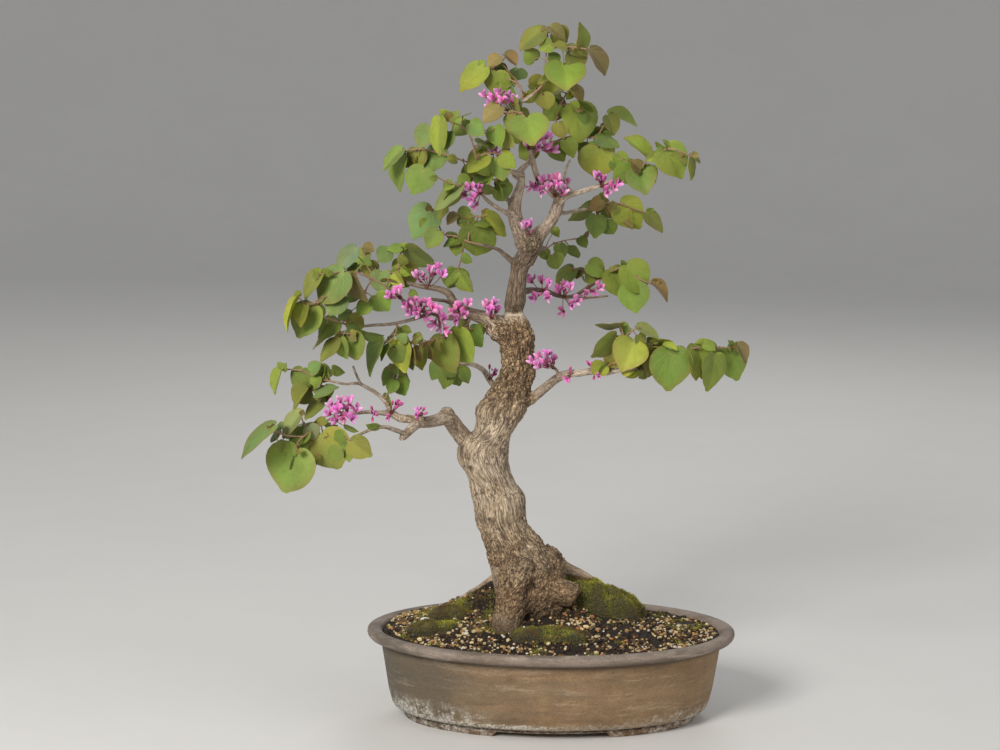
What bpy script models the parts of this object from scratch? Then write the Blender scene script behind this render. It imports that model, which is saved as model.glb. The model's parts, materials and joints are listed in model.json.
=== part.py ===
# Eastern redbud bonsai in an oval pot
# Metres, +Z up, the viewer's side of the tree faces -Y.

import bmesh
import bpy
import math
import random
from mathutils import Matrix, Vector
from mathutils.bvhtree import BVHTree

for old in list(bpy.data.objects):
    bpy.data.objects.remove(old, do_unlink=True)

# Driving dimensions of the pot and soil
RIM_LENGTH = 0.350
RIM_DEPTH = 0.230
POT_HEIGHT = 0.087
FOOT_HEIGHT = 0.0075
FLOOR_TOP = 0.0140
FOOT_GAP_LENGTH = 0.102
FOOT_GAP_HEIGHT = 0.0055
FOOT_GAP_SLOPE = 0.006
DRAIN_RADIUS = 0.009
DRAIN_OFFSET = 0.070
SOIL_EDGE = 0.0835
SOIL_TOP = 0.1085
CLEARANCE = 0.0004
OVAL_STEPS = 32
TRUNK_SIDES = 10
TRUNK_ROUNDNESS = 0.94
TRUNK_FOOT = 0.068

# Driving dimensions of the plant
MOSS_ROOT = 0.012
BLADE_THICKNESS = 0.0007
BLADE_WIDTH_RATIO = 1.1
BLADE_FOLD = 0.10
PETIOLE_RADIUS = 0.0005
KNEE_LENGTH = 0.0016
THINNEST_STEM = 0.0009
FLORET_LENGTH = 0.0105
FLORET_HALF_WIDTH = 0.0021
HUB_RADIUS = 0.0024
HUB_HEIGHT = 0.0018
FOOT_REACH = 0.003
FOOT_STEP = 0.0001
SEAT_GAP = 0.0003
LEAF_GAP = 0.00045
CROWN_SPREAD = 1.75
SEED = 7

# Where the picture was taken from: the lens in pixels, the tilts and the pixel of the rim's centre
LENS_PX = 2400.0
PICTURE_CENTRE_X = 500.0
PICTURE_CENTRE_Y = 375.0
PITCH = math.radians(8.5)
ROLL = math.radians(0.55)
RIM_CENTRE_X = 551.0
RIM_CENTRE_Y = 626.5
AXIS_DISTANCE = 2.289
MM = 0.001
SHARP_ANGLE = math.radians(35)

FORWARD = Vector((0.0, math.cos(PITCH), -math.sin(PITCH)))
UPWARD = Vector((0.0, math.sin(PITCH), math.cos(PITCH)))
RIGHTWARD = Vector((1.0, 0.0, 0.0))


def sight(px, py):
    """Direction of the sight line through a picture point."""
    vx = px - PICTURE_CENTRE_X
    vy = py - PICTURE_CENTRE_Y
    x = vx * math.cos(ROLL) + vy * math.sin(ROLL)
    y = -vx * math.sin(ROLL) + vy * math.cos(ROLL)
    return RIGHTWARD * (x / LENS_PX) - UPWARD * (y / LENS_PX) + FORWARD


EYE = Vector((0.0, 0.0, POT_HEIGHT)) - sight(RIM_CENTRE_X, RIM_CENTRE_Y) * AXIS_DISTANCE


def seen(px, py, depth_mm):
    """The point behind a picture point, depth_mm behind the pot's long axis."""
    ray = sight(px, py)
    return EYE + ray * ((depth_mm * MM - EYE.y) / ray.y)


def crown(depth_mm):
    """Spreads the crown in depth about the trunk."""
    extra = max(0.0, abs(depth_mm) - 8.0) * (CROWN_SPREAD - 1.0)
    return depth_mm + math.copysign(extra, depth_mm)


def px_size(depth_mm):
    """Metres to a picture pixel at a depth."""
    return (AXIS_DISTANCE + depth_mm * MM) / LENS_PX


# Trunk outline in picture pixels: row, left edge, right edge, depth in millimetres
TRUNK = [
    (612, 497, 566, -4), (600, 496, 569, -4), (570, 491, 566, -2), (560, 488.5, 560.5, -2),
    (550, 486, 551, -2), (540, 482, 541, -2), (520, 475.5, 528, -3), (495, 471, 525, -5),
    (483, 469, 516, -5), (472, 464.5, 511.5, -6), (462, 459, 509, -6), (450, 456.5, 509, -6),
    (440, 461, 510, -6), (431, 473, 513.5, -5), (420, 476, 521, -4), (408, 475.5, 527.5, -3),
    (387, 491, 531, -1), (376, 497.5, 536, 0), (364, 501.5, 535, 0), (350, 500.5, 534, 0),
    (338, 498, 535, 0), (326, 500, 531, 0), (315, 503.5, 524, 0), (303, 504, 526, 1),
    (276, 509.5, 527, 3), (262, 511.5, 533, 4), (250, 518, 540, 5),
    (243, 522, 541, 6),
]

# Limbs and twigs: picture x, y, depth in millimetres, diameter in pixels
LIMBS = [
    [(484, 452, -6, 22), (470, 444, -9, 20), (457, 429, -14, 17.5), (447, 418, -22, 16),
     (438, 420, -28, 13), (428, 422, -34, 12), (417, 422.5, -40, 11), (413, 423, -42, 8)],
    [(450, 423, -20, 13), (446.5, 412, -22, 15), (446, 407.5, -22, 9)],
    [(419, 422, -39, 11), (411, 429, -46, 10), (404, 436, -53, 8.5), (401, 439, -56, 5)],
    [(406, 434, -51, 5.4), (395, 430, -60, 5), (385, 427, -65, 4.4), (375, 428, -70, 3.8),
     (365, 432, -75, 3.2), (353, 437, -80, 2.6)],
    [(420, 422, -38, 10), (410, 419, -38, 9), (400, 418, -36, 8.4), (391, 413.5, -34, 8),
     (380, 413, -34, 4.6), (370, 412, -34, 4), (358, 413, -36, 3.5), (345, 415, -38, 3),
     (331, 418, -40, 2.6)],
    [(421, 424, -40, 6), (421, 413, -42, 4.4)],
    [(391, 414, -34, 6), (388, 406, -33, 5), (383, 399, -32, 4.6), (376, 393, -30, 4.4),
     (366, 387, -28, 4), (358, 383.5, -26, 3.2), (346, 384, -24, 2.7), (334, 382, -22, 2.4)],
    [(361, 385, -27, 3), (356, 374, -27, 2.6), (353, 366, -27, 2.3)],
    [(503, 394, 6, 9), (492, 383, 15, 6.5), (484, 371, 32, 6), (474, 365, 48, 5), (461, 363, 62, 4)],
    [(512, 332, 0, 30), (498, 328, -2, 26), (486, 319, -5, 15.5), (473, 314.5, -8, 12.6),
     (461, 310, -10, 10.5)],
    [(465, 312, -10, 10), (454, 302, -4, 9), (449, 294, 2, 8), (442, 290, 8, 6.6), (433, 288, 14, 6),
     (422, 286.5, 20, 5), (411, 284, 26, 4), (405, 281.5, 30, 3.4)],
    [(458, 307, -9, 6), (447, 301.5, -12, 4), (438, 300, -18, 3.6), (431, 299, -22, 3.2)],
    [(468, 314, -9, 9), (455, 318, -16, 5.6), (443, 317, -22, 4.6), (431, 313, -30, 4.2),
     (416, 309, -40, 3.8), (404, 301, -48, 3.4), (396, 294, -54, 3)],
    [(431, 313.5, -30, 4), (410, 320, -38, 3.6), (391, 324, -44, 3.4), (375, 325, -50, 3.2),
     (360, 326, -56, 3), (345, 324, -60, 2.8)],
    [(513, 406, -2, 15), (527, 401.5, -2, 10.5), (536, 395, -6, 8), (546, 387, -10, 7),
     (556, 379, -16, 6.2), (567, 374, -22, 5.4), (580, 373, -28, 5), (592, 371.5, -33, 4.6),
     (605, 373, -37, 4), (618, 370.5, -40, 3.4), (632, 369, -42, 2.8), (643, 370, -43, 2.4)],
    [(591, 371.5, -32, 3.4), (600, 364.5, -36, 3), (608, 361.5, -40, 2.6), (615, 364, -43, 2.4)],
    [(558, 378, -17, 4), (557, 371, -18, 3.2), (553, 367, -19, 2.6)],
    [(515, 295, 6, 11), (526, 291, 14, 7), (535, 290, 20, 5.6), (546, 291, 26, 5), (556, 295, 32, 4.6),
     (566, 297, 36, 4.2), (576, 295, 40, 3.8), (586, 288.5, 44, 3.4), (594, 284, 48, 3)],
    [(570, 296.5, 38, 3.4), (582, 298, 34, 2.8), (597, 297, 30, 2.4), (608, 296, 28, 2)],
    [(521, 268, 3, 10), (512, 261, 6, 6.5), (505, 255, 12, 5), (498, 249.5, 18, 3.8),
     (488, 246.5, 24, 3.4), (478, 244, 30, 3)],
    [(529, 252, 4, 20), (522, 235, 0, 17.5), (515.5, 219, -5, 15), (514.5, 205, -9, 13.5),
     (518, 193, -12, 10.5), (521.5, 181, -15, 8), (521.5, 172.5, -17, 6.4)],
    [(522, 174, -17, 6), (511, 171.5, -22, 4.6), (503, 168, -26, 3.8), (491, 167, -30, 3.2),
     (480, 164, -34, 2.8)],
    [(515, 217, -6, 8), (505, 212, -13, 5), (495, 206, -20, 4.2), (486, 199, -26, 3.6),
     (480.5, 192, -30, 3)],
    [(514, 204, -9, 6), (503, 197, -6, 3.6), (495, 194, -3, 3), (489, 188, 0, 2.6)],
    [(531, 257, 5, 24), (541, 236, 8, 20), (548.5, 221, 9, 16.5), (555, 209, 9, 14.5),
     (560.5, 198, 9, 11)],
    [(561, 201, 9, 9), (553, 193, 6, 8), (546, 187, 4, 7), (539, 180, 2, 6.2), (535, 170, 0, 5.8),
     (532.5, 159, -2, 5.4), (529, 148, -4, 5), (519, 133, -6, 4.7), (509, 121, -8, 4.5),
     (508, 114, -9, 4.4), (513, 108.5, -9, 4.3), (519, 103.5, -10, 4.2), (526, 99, -11, 3.8),
     (533, 94, -12, 3.2)],
    [(559, 202, 9, 9), (566, 196.5, 6, 6.6), (576, 193, 2, 5.8), (586, 190, -3, 5.2),
     (599, 186, -8, 4.6), (612, 181, -13, 4), (624, 176, -18, 3.4), (635, 173.5, -22, 2.7)],
    [(554, 212, 10, 8), (564, 213, 18, 4.4), (575, 211, 27, 3.6), (589, 208, 38, 3), (598, 205, 44, 2.6)],
    [(573, 194, 4, 4), (565, 182, 0, 3), (566, 170, -5, 2.6), (570, 160, -9, 2.2)],
]

# Roots: the same four values, then how many sides
ROOTS = [
    [(530, 560, -6, 56), (522, 586, -16, 48), (512, 606, -30, 37), (504, 619, -42, 25),
     (499, 631, -52, 14)],
    [(536, 572, 2, 44), (550, 587, -2, 30), (563, 592, -6, 25), (574, 596.5, -10, 23),
     (578.5, 598, -12, 15)],
    [(543, 560, 4, 36), (562, 568, 14, 16), (580, 574, 22, 10), (597, 584, 26, 8), (606, 592, 27, 6)],
    [(503, 572, 0, 16), (493, 578, 4, 7), (480, 587, 8, 5.4), (468, 594, 11, 5), (457, 601, 13, 4)],
]

# Leafy shoots: picture x, y, depth in millimetres, diameter in pixels
# Leaves: picture x and y where the stalk meets the blade, x and y of the tip, width across in pixels
SPRAYS = {
    "spray_apex": (
        [[(535, 92.5, -12, 3), (543.7, 82.6, -13, 2.4), (546, 72, -13, 2.2), (545.5, 59, -14, 2),
          (548, 42, -16, 1.8), (547, 31, -16, 1.6)],
         [(546, 52, -15, 1.8), (557, 47.5, -20, 1.7), (572, 47, -24, 1.6), (589, 49.5, -28, 1.6)]],
        [(541, 31, 517.6, 50.7, 17), (551, 28, 566, 42, 11),
         (581, 46.5, 580, 20.5, 12),
         (590, 50.5, 609, 74.5, 13), (564, 64.6, 564, 90.7, 37), (556, 62, 549, 51, 12),
         (534, 60, 525, 49, 16)]),
    "spray_apex_left": (
        [[(522, 97, -7, 2.4), (520, 86, -3, 2.2), (507, 78, 2, 1.9), (497, 72, 6, 1.8), (485, 68, 9, 1.6)]],
        [(518, 69, 517, 81, 22), (497, 73, 498, 96, 26), (499, 57, 488, 67, 11),
         (483, 69, 458.5, 93.5, 20)]),
    "spray_crown_heart": (
        [[(508, 121, -14, 2.1), (506, 115, -19, 2), (512, 112, -22, 1.9), (520, 113, -24, 1.8),
          (527, 118, -25, 1.7)]],
        [(499, 107, 482, 123, 16), (527, 119.3, 531, 146.7, 40)]),
    "spray_high_left": (
        [[(478.5, 162, -36, 2.5), (475, 153, -40, 2.3), (472, 141, -44, 2.1), (464, 128, -50, 1.9),
          (449, 121, -54, 1.7)],
         [(474, 149, -41, 1.9), (486, 141, -40, 1.7), (500, 134, -38, 1.6)],
         [(476, 156, -39, 1.8), (490, 153, -37, 1.7), (502, 154, -36, 1.6)]],
        [(440, 120, 437, 157.5, 15), (449, 133, 446, 150, 12),
         (466, 121, 454, 137, 16), (471, 124, 485, 136, 17),
         (495, 128, 499, 149.5, 17), (504, 137, 515, 147, 13), (486, 156, 465, 171, 17),
         (503, 155, 515, 170, 15)]),
    "spray_high_left_end": (
        [[(478, 165, -32, 2.4), (464, 161, -24, 2.2), (450, 156, -16, 2), (435, 152, -8, 1.9),
          (420, 149, 0, 1.8), (405, 151, 6, 1.6)]],
        [(428, 128, 417, 149, 19), (401, 151, 381, 172, 12), (402, 157, 396.7, 194.5, 16),
         (424, 170, 413, 197, 28), (416.3, 149, 418, 171.5, 17),
         (441, 150, 427.5, 175, 20)]),
    "spray_left_upper": (
        [[(479, 190, -31, 2.2), (472, 187, -33, 2), (460, 185, -38, 1.8), (446, 182, -43, 1.6),
          (439, 178, -46, 1.5)],
         [(478, 189, -31, 1.8), (487, 181, -28, 1.7), (497, 179, -26, 1.6)]],
        [(460, 187, 433, 211, 13)]),
    "spray_crown_right": (
        [[(535, 153.5, 0, 3), (541, 148, 4, 2.8), (550, 144, 9, 2.7), (568, 137, 19, 2.3),
          (580, 135.5, 22, 2), (594, 137, 24, 1.9), (603, 128, 25, 1.7), (609, 117, 27, 1.5)],
         [(549, 144.5, 9, 2.4), (553, 133, 12, 2.3), (557, 118, 16, 2.2), (561, 104, 20, 2),
          (570, 88, 26, 1.8)],
         [(560.5, 106, 19, 1.8), (569, 104, 18, 1.7), (576, 106, 16, 1.6)],
         [(592, 137, 23.5, 1.8), (597, 143, 21, 1.7), (598.7, 149, 19, 1.6)]],
        [(569.5, 88, 583.5, 102, 10), (559, 88, 534, 97, 12), (556, 104, 541, 108, 10),
         (557, 106, 545, 123, 20), (576, 107, 584, 144, 29),
         (608, 117, 615.5, 136, 13), (610, 115.5, 639.5, 126, 11), (597, 139, 621, 147, 11),
         (605, 125, 609, 141, 11), (598.7, 149.6, 593, 180, 37), (580, 137, 567, 146, 10),
         (566, 141, 575, 158.5, 15), (550, 147, 566, 161, 15), (558, 124, 564, 139, 14)]),
    "spray_right_upper": (
        [[(637, 172.5, -23, 2.2), (641, 168, -25, 2.1), (646, 162, -27, 2), (656, 154, -30, 1.9),
          (668, 149, -33, 1.8), (680, 151, -35, 1.7), (691, 156, -37, 1.6)],
         [(641, 168, -25, 1.7), (630, 164, -20, 1.6), (618, 157, -15, 1.5)]],
        [(617, 155, 627.5, 169, 13), (613, 162, 626, 174, 13), (640, 169.6, 646.7, 195.4, 31),
         (640, 169, 630, 161, 12), (646, 156, 623, 137, 12), (655, 155, 646, 162, 12),
         (666, 149, 684.6, 180.4, 30)]),
    "spray_right_middle": (
        [[(600, 204.5, 45, 2.3), (607, 203, 46, 2.1), (621, 204, 48, 1.9), (634, 209, 48, 1.7),
          (646, 213, 48, 1.6)]],
        [(621, 204.5, 642.5, 230, 30), (647, 214, 665, 233, 13), (598, 198, 596, 216, 10),
         (596, 217, 594, 240, 19),
         (606, 222, 613, 235.5, 18), (590, 204, 567, 222, 12),
         (600, 200, 588, 211, 13)]),
    "spray_left_middle": (
        [[(475.5, 243.5, 31, 2.6), (466, 241, 34, 2.4), (455, 236, 38, 2.2), (443, 233.5, 42, 2),
          (438, 222, 44, 1.8), (432, 212, 46, 1.7)],
         [(468, 242, 33, 2), (469, 233, 33, 1.9), (470, 219, 34, 1.8), (484, 216, 32, 1.7)],
         [(464, 241, 35, 2), (462, 256, 38, 1.8), (458, 269, 40, 1.7)]],
        [(431, 211, 411, 241, 29), (437, 232, 425, 249, 18),
         (468, 218, 456, 212, 14), (487, 215, 507.5, 237.5, 16),
         (480, 228, 473, 258, 36),
         (461, 274, 473.5, 293.5, 14), (455, 270, 447, 288, 13)]),
    "spray_left_pad": (
        [[(402.5, 280, 31, 2.8), (398, 272, 33, 2.5), (400, 262, 35, 2.2), (401, 250, 37, 2)],
         [(398, 273, 33, 2.3), (386, 272, 36, 2.1), (375, 270.6, 38, 2), (368.5, 260, 40, 1.8),
          (362.7, 253, 42, 1.7)]],
        [(408, 250, 438, 267.5, 15), (388, 250, 378, 262, 18),
         (400, 280, 390, 292, 11), (381, 273, 379, 295, 23),
         (366, 254, 348, 272, 15),
         (396, 274, 404, 288, 10)]),
    "spray_left_far": (
        [[(394, 292.5, -55, 2.6), (385, 286, -58, 2.4), (372, 279, -62, 2.2), (357, 273, -66, 2),
          (343, 272, -70, 1.9), (320, 274, -75, 1.7)],
         [(345, 272.5, -69, 1.8), (337, 285, -72, 1.7), (324, 298, -75, 1.6), (308, 304, -77, 1.6),
          (299, 298, -78, 1.5)],
         [(372, 280, -62, 1.9), (366, 290, -61, 1.8), (366, 302, -60, 1.7)]],
        [(355, 249, 334.5, 271, 15), (343, 274, 317, 305, 27),
         (320, 274, 302.5, 300, 13), (341, 296, 328, 316, 20), (312, 308, 296, 340, 29),
         (306, 307, 301, 329, 14), (320, 310, 315, 324, 10),
         (352, 276, 366, 305.7, 15), (360, 290, 348, 303, 12), (368, 303, 357, 317, 14)]),
    "spray_left_low": (
        [[(343, 323.5, -61, 2.5), (335, 321, -62, 2.2), (323, 317, -64, 1.8)],
         [(341, 323, -61, 2), (340, 331, -63, 1.8), (350, 334, -66, 1.7)]],
        [(336, 322, 318, 341, 18),
         (336, 342, 318.5, 361.5, 12), (353, 334, 356, 362, 20),
         (341, 340, 346, 361, 13)]),
    "spray_left_hanging": (
        [[(397, 325.5, -43, 2.1), (395, 334, -46, 1.9), (390, 341, -48, 1.8), (381, 341, -50, 1.6)],
         [(395, 333, -46, 1.8), (402, 339, -46, 1.7), (411, 343, -45, 1.6)]],
        [(401, 343, 403, 375.5, 21),
         (401, 341, 406, 333, 10),
         (381, 342, 367.5, 379, 14)]),
    "spray_left_inner": (
        [[(469, 322.5, -11, 2.3), (461, 328, -16, 2.1), (448, 335, -20, 1.9), (432, 340, -26, 1.8),
          (420, 343, -28, 1.6)],
         [(463, 327, -15, 1.8), (467, 328, -14, 1.7), (472, 329, -12, 1.6)]],
        [(427, 344, 432, 362, 11), (424, 350, 422, 371.5, 13),
         (445, 338, 451.5, 376.5, 28), (453, 333, 471.5, 365, 27), (471, 329, 484, 347.5, 18)]),
    "spray_left_back": (
        [[(459, 363, 64, 2.2), (450, 366, 70, 1.9), (442, 364, 76, 1.8)]],
        [(450, 369, 441.5, 390, 17), (463, 369, 470, 384, 12), (442, 364, 430, 380, 14)]),
    "spray_low_left_far": (
        [[(332, 381.5, -22, 2.2), (322, 379.5, -20, 2), (313, 376, -18, 1.8), (302, 371, -14, 1.7),
          (284, 369, -10, 1.6)],
         [(323, 380, -20, 1.8), (320, 388, -21, 1.7), (320, 394, -22, 1.6)]],
        [(303, 370, 297, 394.5, 18),
         (311, 371, 321, 362, 11), (318, 372, 330, 383, 15), (318, 378, 312.5, 391.5, 10),
         (327, 398, 303, 421, 13),
         (317, 394, 340, 387, 10)]),
    "spray_low_left_upright": (
        [[(386, 397.5, -33, 2.1), (389, 390, -32, 1.9), (393, 380, -31, 1.8), (394, 371, -30, 1.6)]],
        [(398, 380, 407, 396, 18), (394, 381, 389, 394, 11), (393, 370, 381, 386, 13)]),
    "spray_low_left": (
        [[(328.5, 419, -41, 2.5), (321, 425, -46, 2.3), (312, 431, -52, 2.1), (303, 437, -58, 1.9),
          (297, 444, -63, 1.8), (297, 450, -66, 1.7)],
         [(304, 436.5, -57, 1.9), (290, 436, -62, 1.8), (279, 433, -66, 1.7), (273, 428.5, -69, 1.6)],
         [(313, 430, -51, 1.9), (306, 427, -52, 1.7), (301, 416, -53, 1.6)],
         [(321, 425, -46, 1.9), (323, 434, -49, 1.7)]],
        [(301, 415, 280, 439, 14), (273, 428, 237, 457, 13),
         (297, 451, 278, 493, 46), (323, 435, 340, 471, 40), (307, 431, 288, 446, 14)]),
    "spray_low_left_front": (
        [[(351, 438, -81, 2.2), (349, 444, -84, 1.9)]],
        [(350, 446, 348, 463, 10), (353, 442, 373, 458, 22)]),
    "spray_right_low_inner": (
        [[(616, 362, -45, 2.2), (621, 354, -48, 2), (625, 344, -50, 1.9), (623.6, 335, -52, 1.8),
          (620, 326, -54, 1.7)],
         [(624, 337, -52, 1.8), (632, 331, -54, 1.7), (639, 327.5, -56, 1.6)]],
        [(615, 337, 591.5, 361, 17), (633.3, 343.5, 620.4, 372.3, 37),
         (639, 327, 662, 340, 10)]),
    "spray_right_low": (
        [[(645, 369.5, -43, 2.4), (653, 364, -45, 2.3), (664, 357, -47, 2.2), (677, 352.5, -48, 2.1),
          (690, 349, -47, 2), (704, 347, -44, 1.9), (718, 348, -40, 1.8), (733, 347.5, -36, 1.6)],
         [(655, 363, -45, 1.8), (652.5, 352, -46, 1.7), (652, 344, -47, 1.6)]],
        [(655, 350, 650, 380, 20), (670, 352, 670, 394.5, 41),
         (668, 356, 671, 380.5, 11), (676, 355, 674, 378, 10),
         (696, 347, 711, 384.5, 28),
         (714, 357, 708.5, 394.5, 21),
         (727, 350, 741.5, 387, 31), (737, 346, 750, 370, 13)]),
    "spray_right_centre": (
        [[(596, 283, 49, 2.5), (601, 279, 50, 2.3), (612, 271, 50, 2), (624, 268, 48, 1.9),
          (634, 276, 46, 1.8), (651, 284, 46, 1.6)],
         [(597, 282, 49, 2), (590, 274, 53, 1.8), (582, 270, 56, 1.7), (573, 269, 58, 1.6)]],
        [(573, 269, 555, 287.5, 14), (589, 265, 606, 276, 16), (612, 272, 627.5, 300, 25),
         (627, 267, 646.5, 293.5, 26), (632, 286, 635.8, 315.5, 32)]),
    "spray_centre_back": (
        [[(545, 248.5, 22, 2), (553, 244, 32, 1.9), (562, 241, 40, 1.8), (582, 238, 54, 1.6)]],
        [(543, 250, 547, 260, 11), (559, 245, 563.5, 260, 11)]),
}

# Flower clusters: the picture point on the wood they grow from, its depth, and the florets' picture points
CLUSTERS = {
    "flowers_low_left": ((346, 415, -38), [
        (331, 405), (340, 401), (350, 401), (328, 414), (337, 411), (347, 409), (357, 409),
        (335, 421), (344, 420), (353, 420)]),
    "flowers_low_left_twig": ((373, 412, -34), [(371, 406), (375, 416), (372, 423)]),
    "flowers_low_left_fork": ((391, 411, -34), [(393, 398), (403, 400), (397, 404), (387, 421)]),
    "flowers_low_left_spur": ((421, 415, -42), [(425, 407), (416, 409), (426, 414), (415, 417)]),
    "flowers_left_pad": ((424, 311, -35), [
        (406, 306), (413, 302), (420, 303), (428, 303), (433, 309), (410, 313), (418, 315), (426, 318)]),
    "flowers_left_limb": ((440, 316, -24), [(433, 325), (438, 311), (444, 320), (440, 329), (446, 331)]),
    "flowers_left_crotch": ((460, 311, -10), [(453, 312), (458, 306), (464, 315), (457, 321), (469, 304)]),
    "flowers_left_axil": ((492, 317, -6), [(486, 305), (494, 303), (489, 312), (497, 310)]),
    "flowers_left_top": ((425, 287, 19), [(416, 275), (423, 276), (431, 270), (438, 267), (443, 275)]),
    "flowers_left_edge": ((401, 299, -50), [(380, 300), (389, 296), (399, 291)]),
    "flowers_left_buds": ((362, 326, -55), [(354, 315), (363, 319)]),
    "flowers_apex": ((510, 111, -9), [
        (484, 95), (492, 98), (490, 105), (498, 93), (501, 101), (508, 96), (514, 100)]),
    "flowers_high_left": ((502, 168, -26), [(491, 151), (498, 155), (509, 167)]),
    "flowers_upper_left": ((482, 194, -29), [(477, 189), (468, 188), (472, 201), (476, 206), (463, 195)]),
    "flowers_leader": ((538, 179, 2), [(530, 188), (537, 187), (541, 192)]),
    "flowers_crown": ((529, 148, -4), [
        (526, 143), (533, 138), (540, 136), (548, 136), (538, 148), (546, 147), (554, 150)]),
    "flowers_fork": ((556, 196, 6), [
        (543, 180), (550, 178), (558, 178), (567, 182), (548, 188), (557, 186), (564, 191)]),
    "flowers_right_upper": ((600, 186, -8), [(596, 176), (603, 179), (606, 193), (614, 188), (619, 183)]),
    "flowers_centre": ((529, 237, 0), [(524, 226), (530, 224)]),
    "flowers_right_back": ((545, 291, 26), [(530, 280), (541, 280), (549, 285), (534, 299), (548, 299)]),
    "flowers_right_branch": ((566, 297, 36), [
        (558, 290), (564, 284), (571, 288), (577, 302), (571, 306), (563, 313)]),
    "flowers_right_end": ((590, 286, 46), [(585, 296), (594, 293), (600, 288)]),
    "flowers_right_low_twig": ((554, 368, -19), [
        (532, 361), (539, 356), (546, 355), (553, 360), (538, 366), (546, 365)]),
    "flowers_right_low": ((594, 372, -33), [(596, 362), (588, 361), (593, 380), (600, 379)]),
    "flowers_right_low_start": ((568, 374, -22), [(570, 366), (567, 381)]),
    "flowers_back": ((488, 377, 24), [(489, 361), (497, 368), (492, 373)]),
}

# Half the outline of a redbud leaf: along the midrib and sideways, from the stalk to the tip
BLADE_LARGE = [(0.0, 0.02), (-0.11, 0.27), (0.22, 0.50), (0.66, 0.31)]
BLADE_SMALL = [(0.0, 0.02), (-0.07, 0.36), (0.46, 0.45)]
BLADE_SHORT = [(0.0, 0.02), (0.24, 0.50)]


def oval(half_length, half_depth, z):
    """One ring of points round the pot."""
    ring = []
    for i in range(OVAL_STEPS):
        angle = 2.0 * math.pi * i / OVAL_STEPS
        ring.append(Vector((half_length * math.cos(angle), half_depth * math.sin(angle), z)))
    return ring


def skin(rings, closed_ends=True):
    """Points and faces of a closed body through equal rings."""
    count = len(rings[0])
    points = [p for ring in rings for p in ring]
    faces = []
    for j in range(len(rings) - 1):
        for i in range(count):
            a = j * count + i
            b = j * count + (i + 1) % count
            faces.append((a, b, b + count, a + count))
    if closed_ends:
        faces.append(tuple(reversed(range(count))))
        top = (len(rings) - 1) * count
        faces.append(tuple(range(top, top + count)))
    return points, faces


def tube(centres, radii, sides, grow=0.0):
    """Points and faces of a tapering round stem along a line of points."""
    rings = []
    heading = (centres[1] - centres[0]).normalized()
    side = heading.orthogonal().normalized()
    for k, centre in enumerate(centres):
        before = centres[max(k - 1, 0)]
        after = centres[min(k + 1, len(centres) - 1)]
        heading = (after - before).normalized()
        side = (side - heading * side.dot(heading)).normalized()
        other = heading.cross(side)
        ring = []
        for i in range(sides):
            angle = 2.0 * math.pi * i / sides
            ring.append(centre + (side * math.cos(angle) + other * math.sin(angle)) * (radii[k] + grow))
        rings.append(ring)
    if grow:
        shift = (centres[0] - centres[1]).normalized() * grow
        rings[0] = [p + shift for p in rings[0]]
        shift = (centres[-1] - centres[-2]).normalized() * grow
        rings[-1] = [p + shift for p in rings[-1]]
    return skin(rings)


def along(line, grow=0.0, sides=6, foot=None):
    """A stem through picture points with depths and diameters, from a foot if one is given."""
    centres = [seen(x, y, depth) for x, y, depth, _ in line]
    radii = [max(0.5 * width * px_size(depth), THINNEST_STEM) for _, _, depth, width in line]
    if foot is not None and (centres[0] - foot).length < FOOT_REACH:
        centres[0] = foot
    elif foot is not None:
        centres.insert(0, foot)
        radii.insert(0, radii[0])
    return tube(centres, radii, sides, grow)


def make_object(name, points, faces, material=None):
    mesh = bpy.data.meshes.new(name)
    mesh.from_pydata([tuple(p) for p in points], [], faces)
    mesh.update()
    body = bpy.data.objects.new(name, mesh)
    bpy.context.scene.collection.objects.link(body)
    if material is not None:
        mesh.materials.append(material)
    fix_outward(body)
    return body


def fix_outward(body):
    mesh = bmesh.new()
    mesh.from_mesh(body.data)
    bmesh.ops.recalc_face_normals(mesh, faces=mesh.faces)
    mesh.to_mesh(body.data)
    mesh.free()


def apply_modifiers(body):
    bpy.ops.object.select_all(action="DESELECT")
    body.select_set(True)
    bpy.context.view_layer.objects.active = body
    for modifier in list(body.modifiers):
        bpy.ops.object.modifier_apply(modifier=modifier.name)


def combine(body, operation, others, solver="EXACT"):
    """Adds the other solids to the body or takes them away, then removes them."""
    group = bpy.data.collections.new(body.name + "_others")
    bpy.context.scene.collection.children.link(group)
    for other in others:
        bpy.context.scene.collection.objects.unlink(other)
        group.objects.link(other)
    modifier = body.modifiers.new("combine", "BOOLEAN")
    modifier.operation = operation
    modifier.operand_type = "COLLECTION"
    modifier.collection = group
    modifier.solver = solver
    apply_modifiers(body)
    for other in list(group.objects):
        bpy.data.objects.remove(other, do_unlink=True)
    bpy.data.collections.remove(group)


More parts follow.
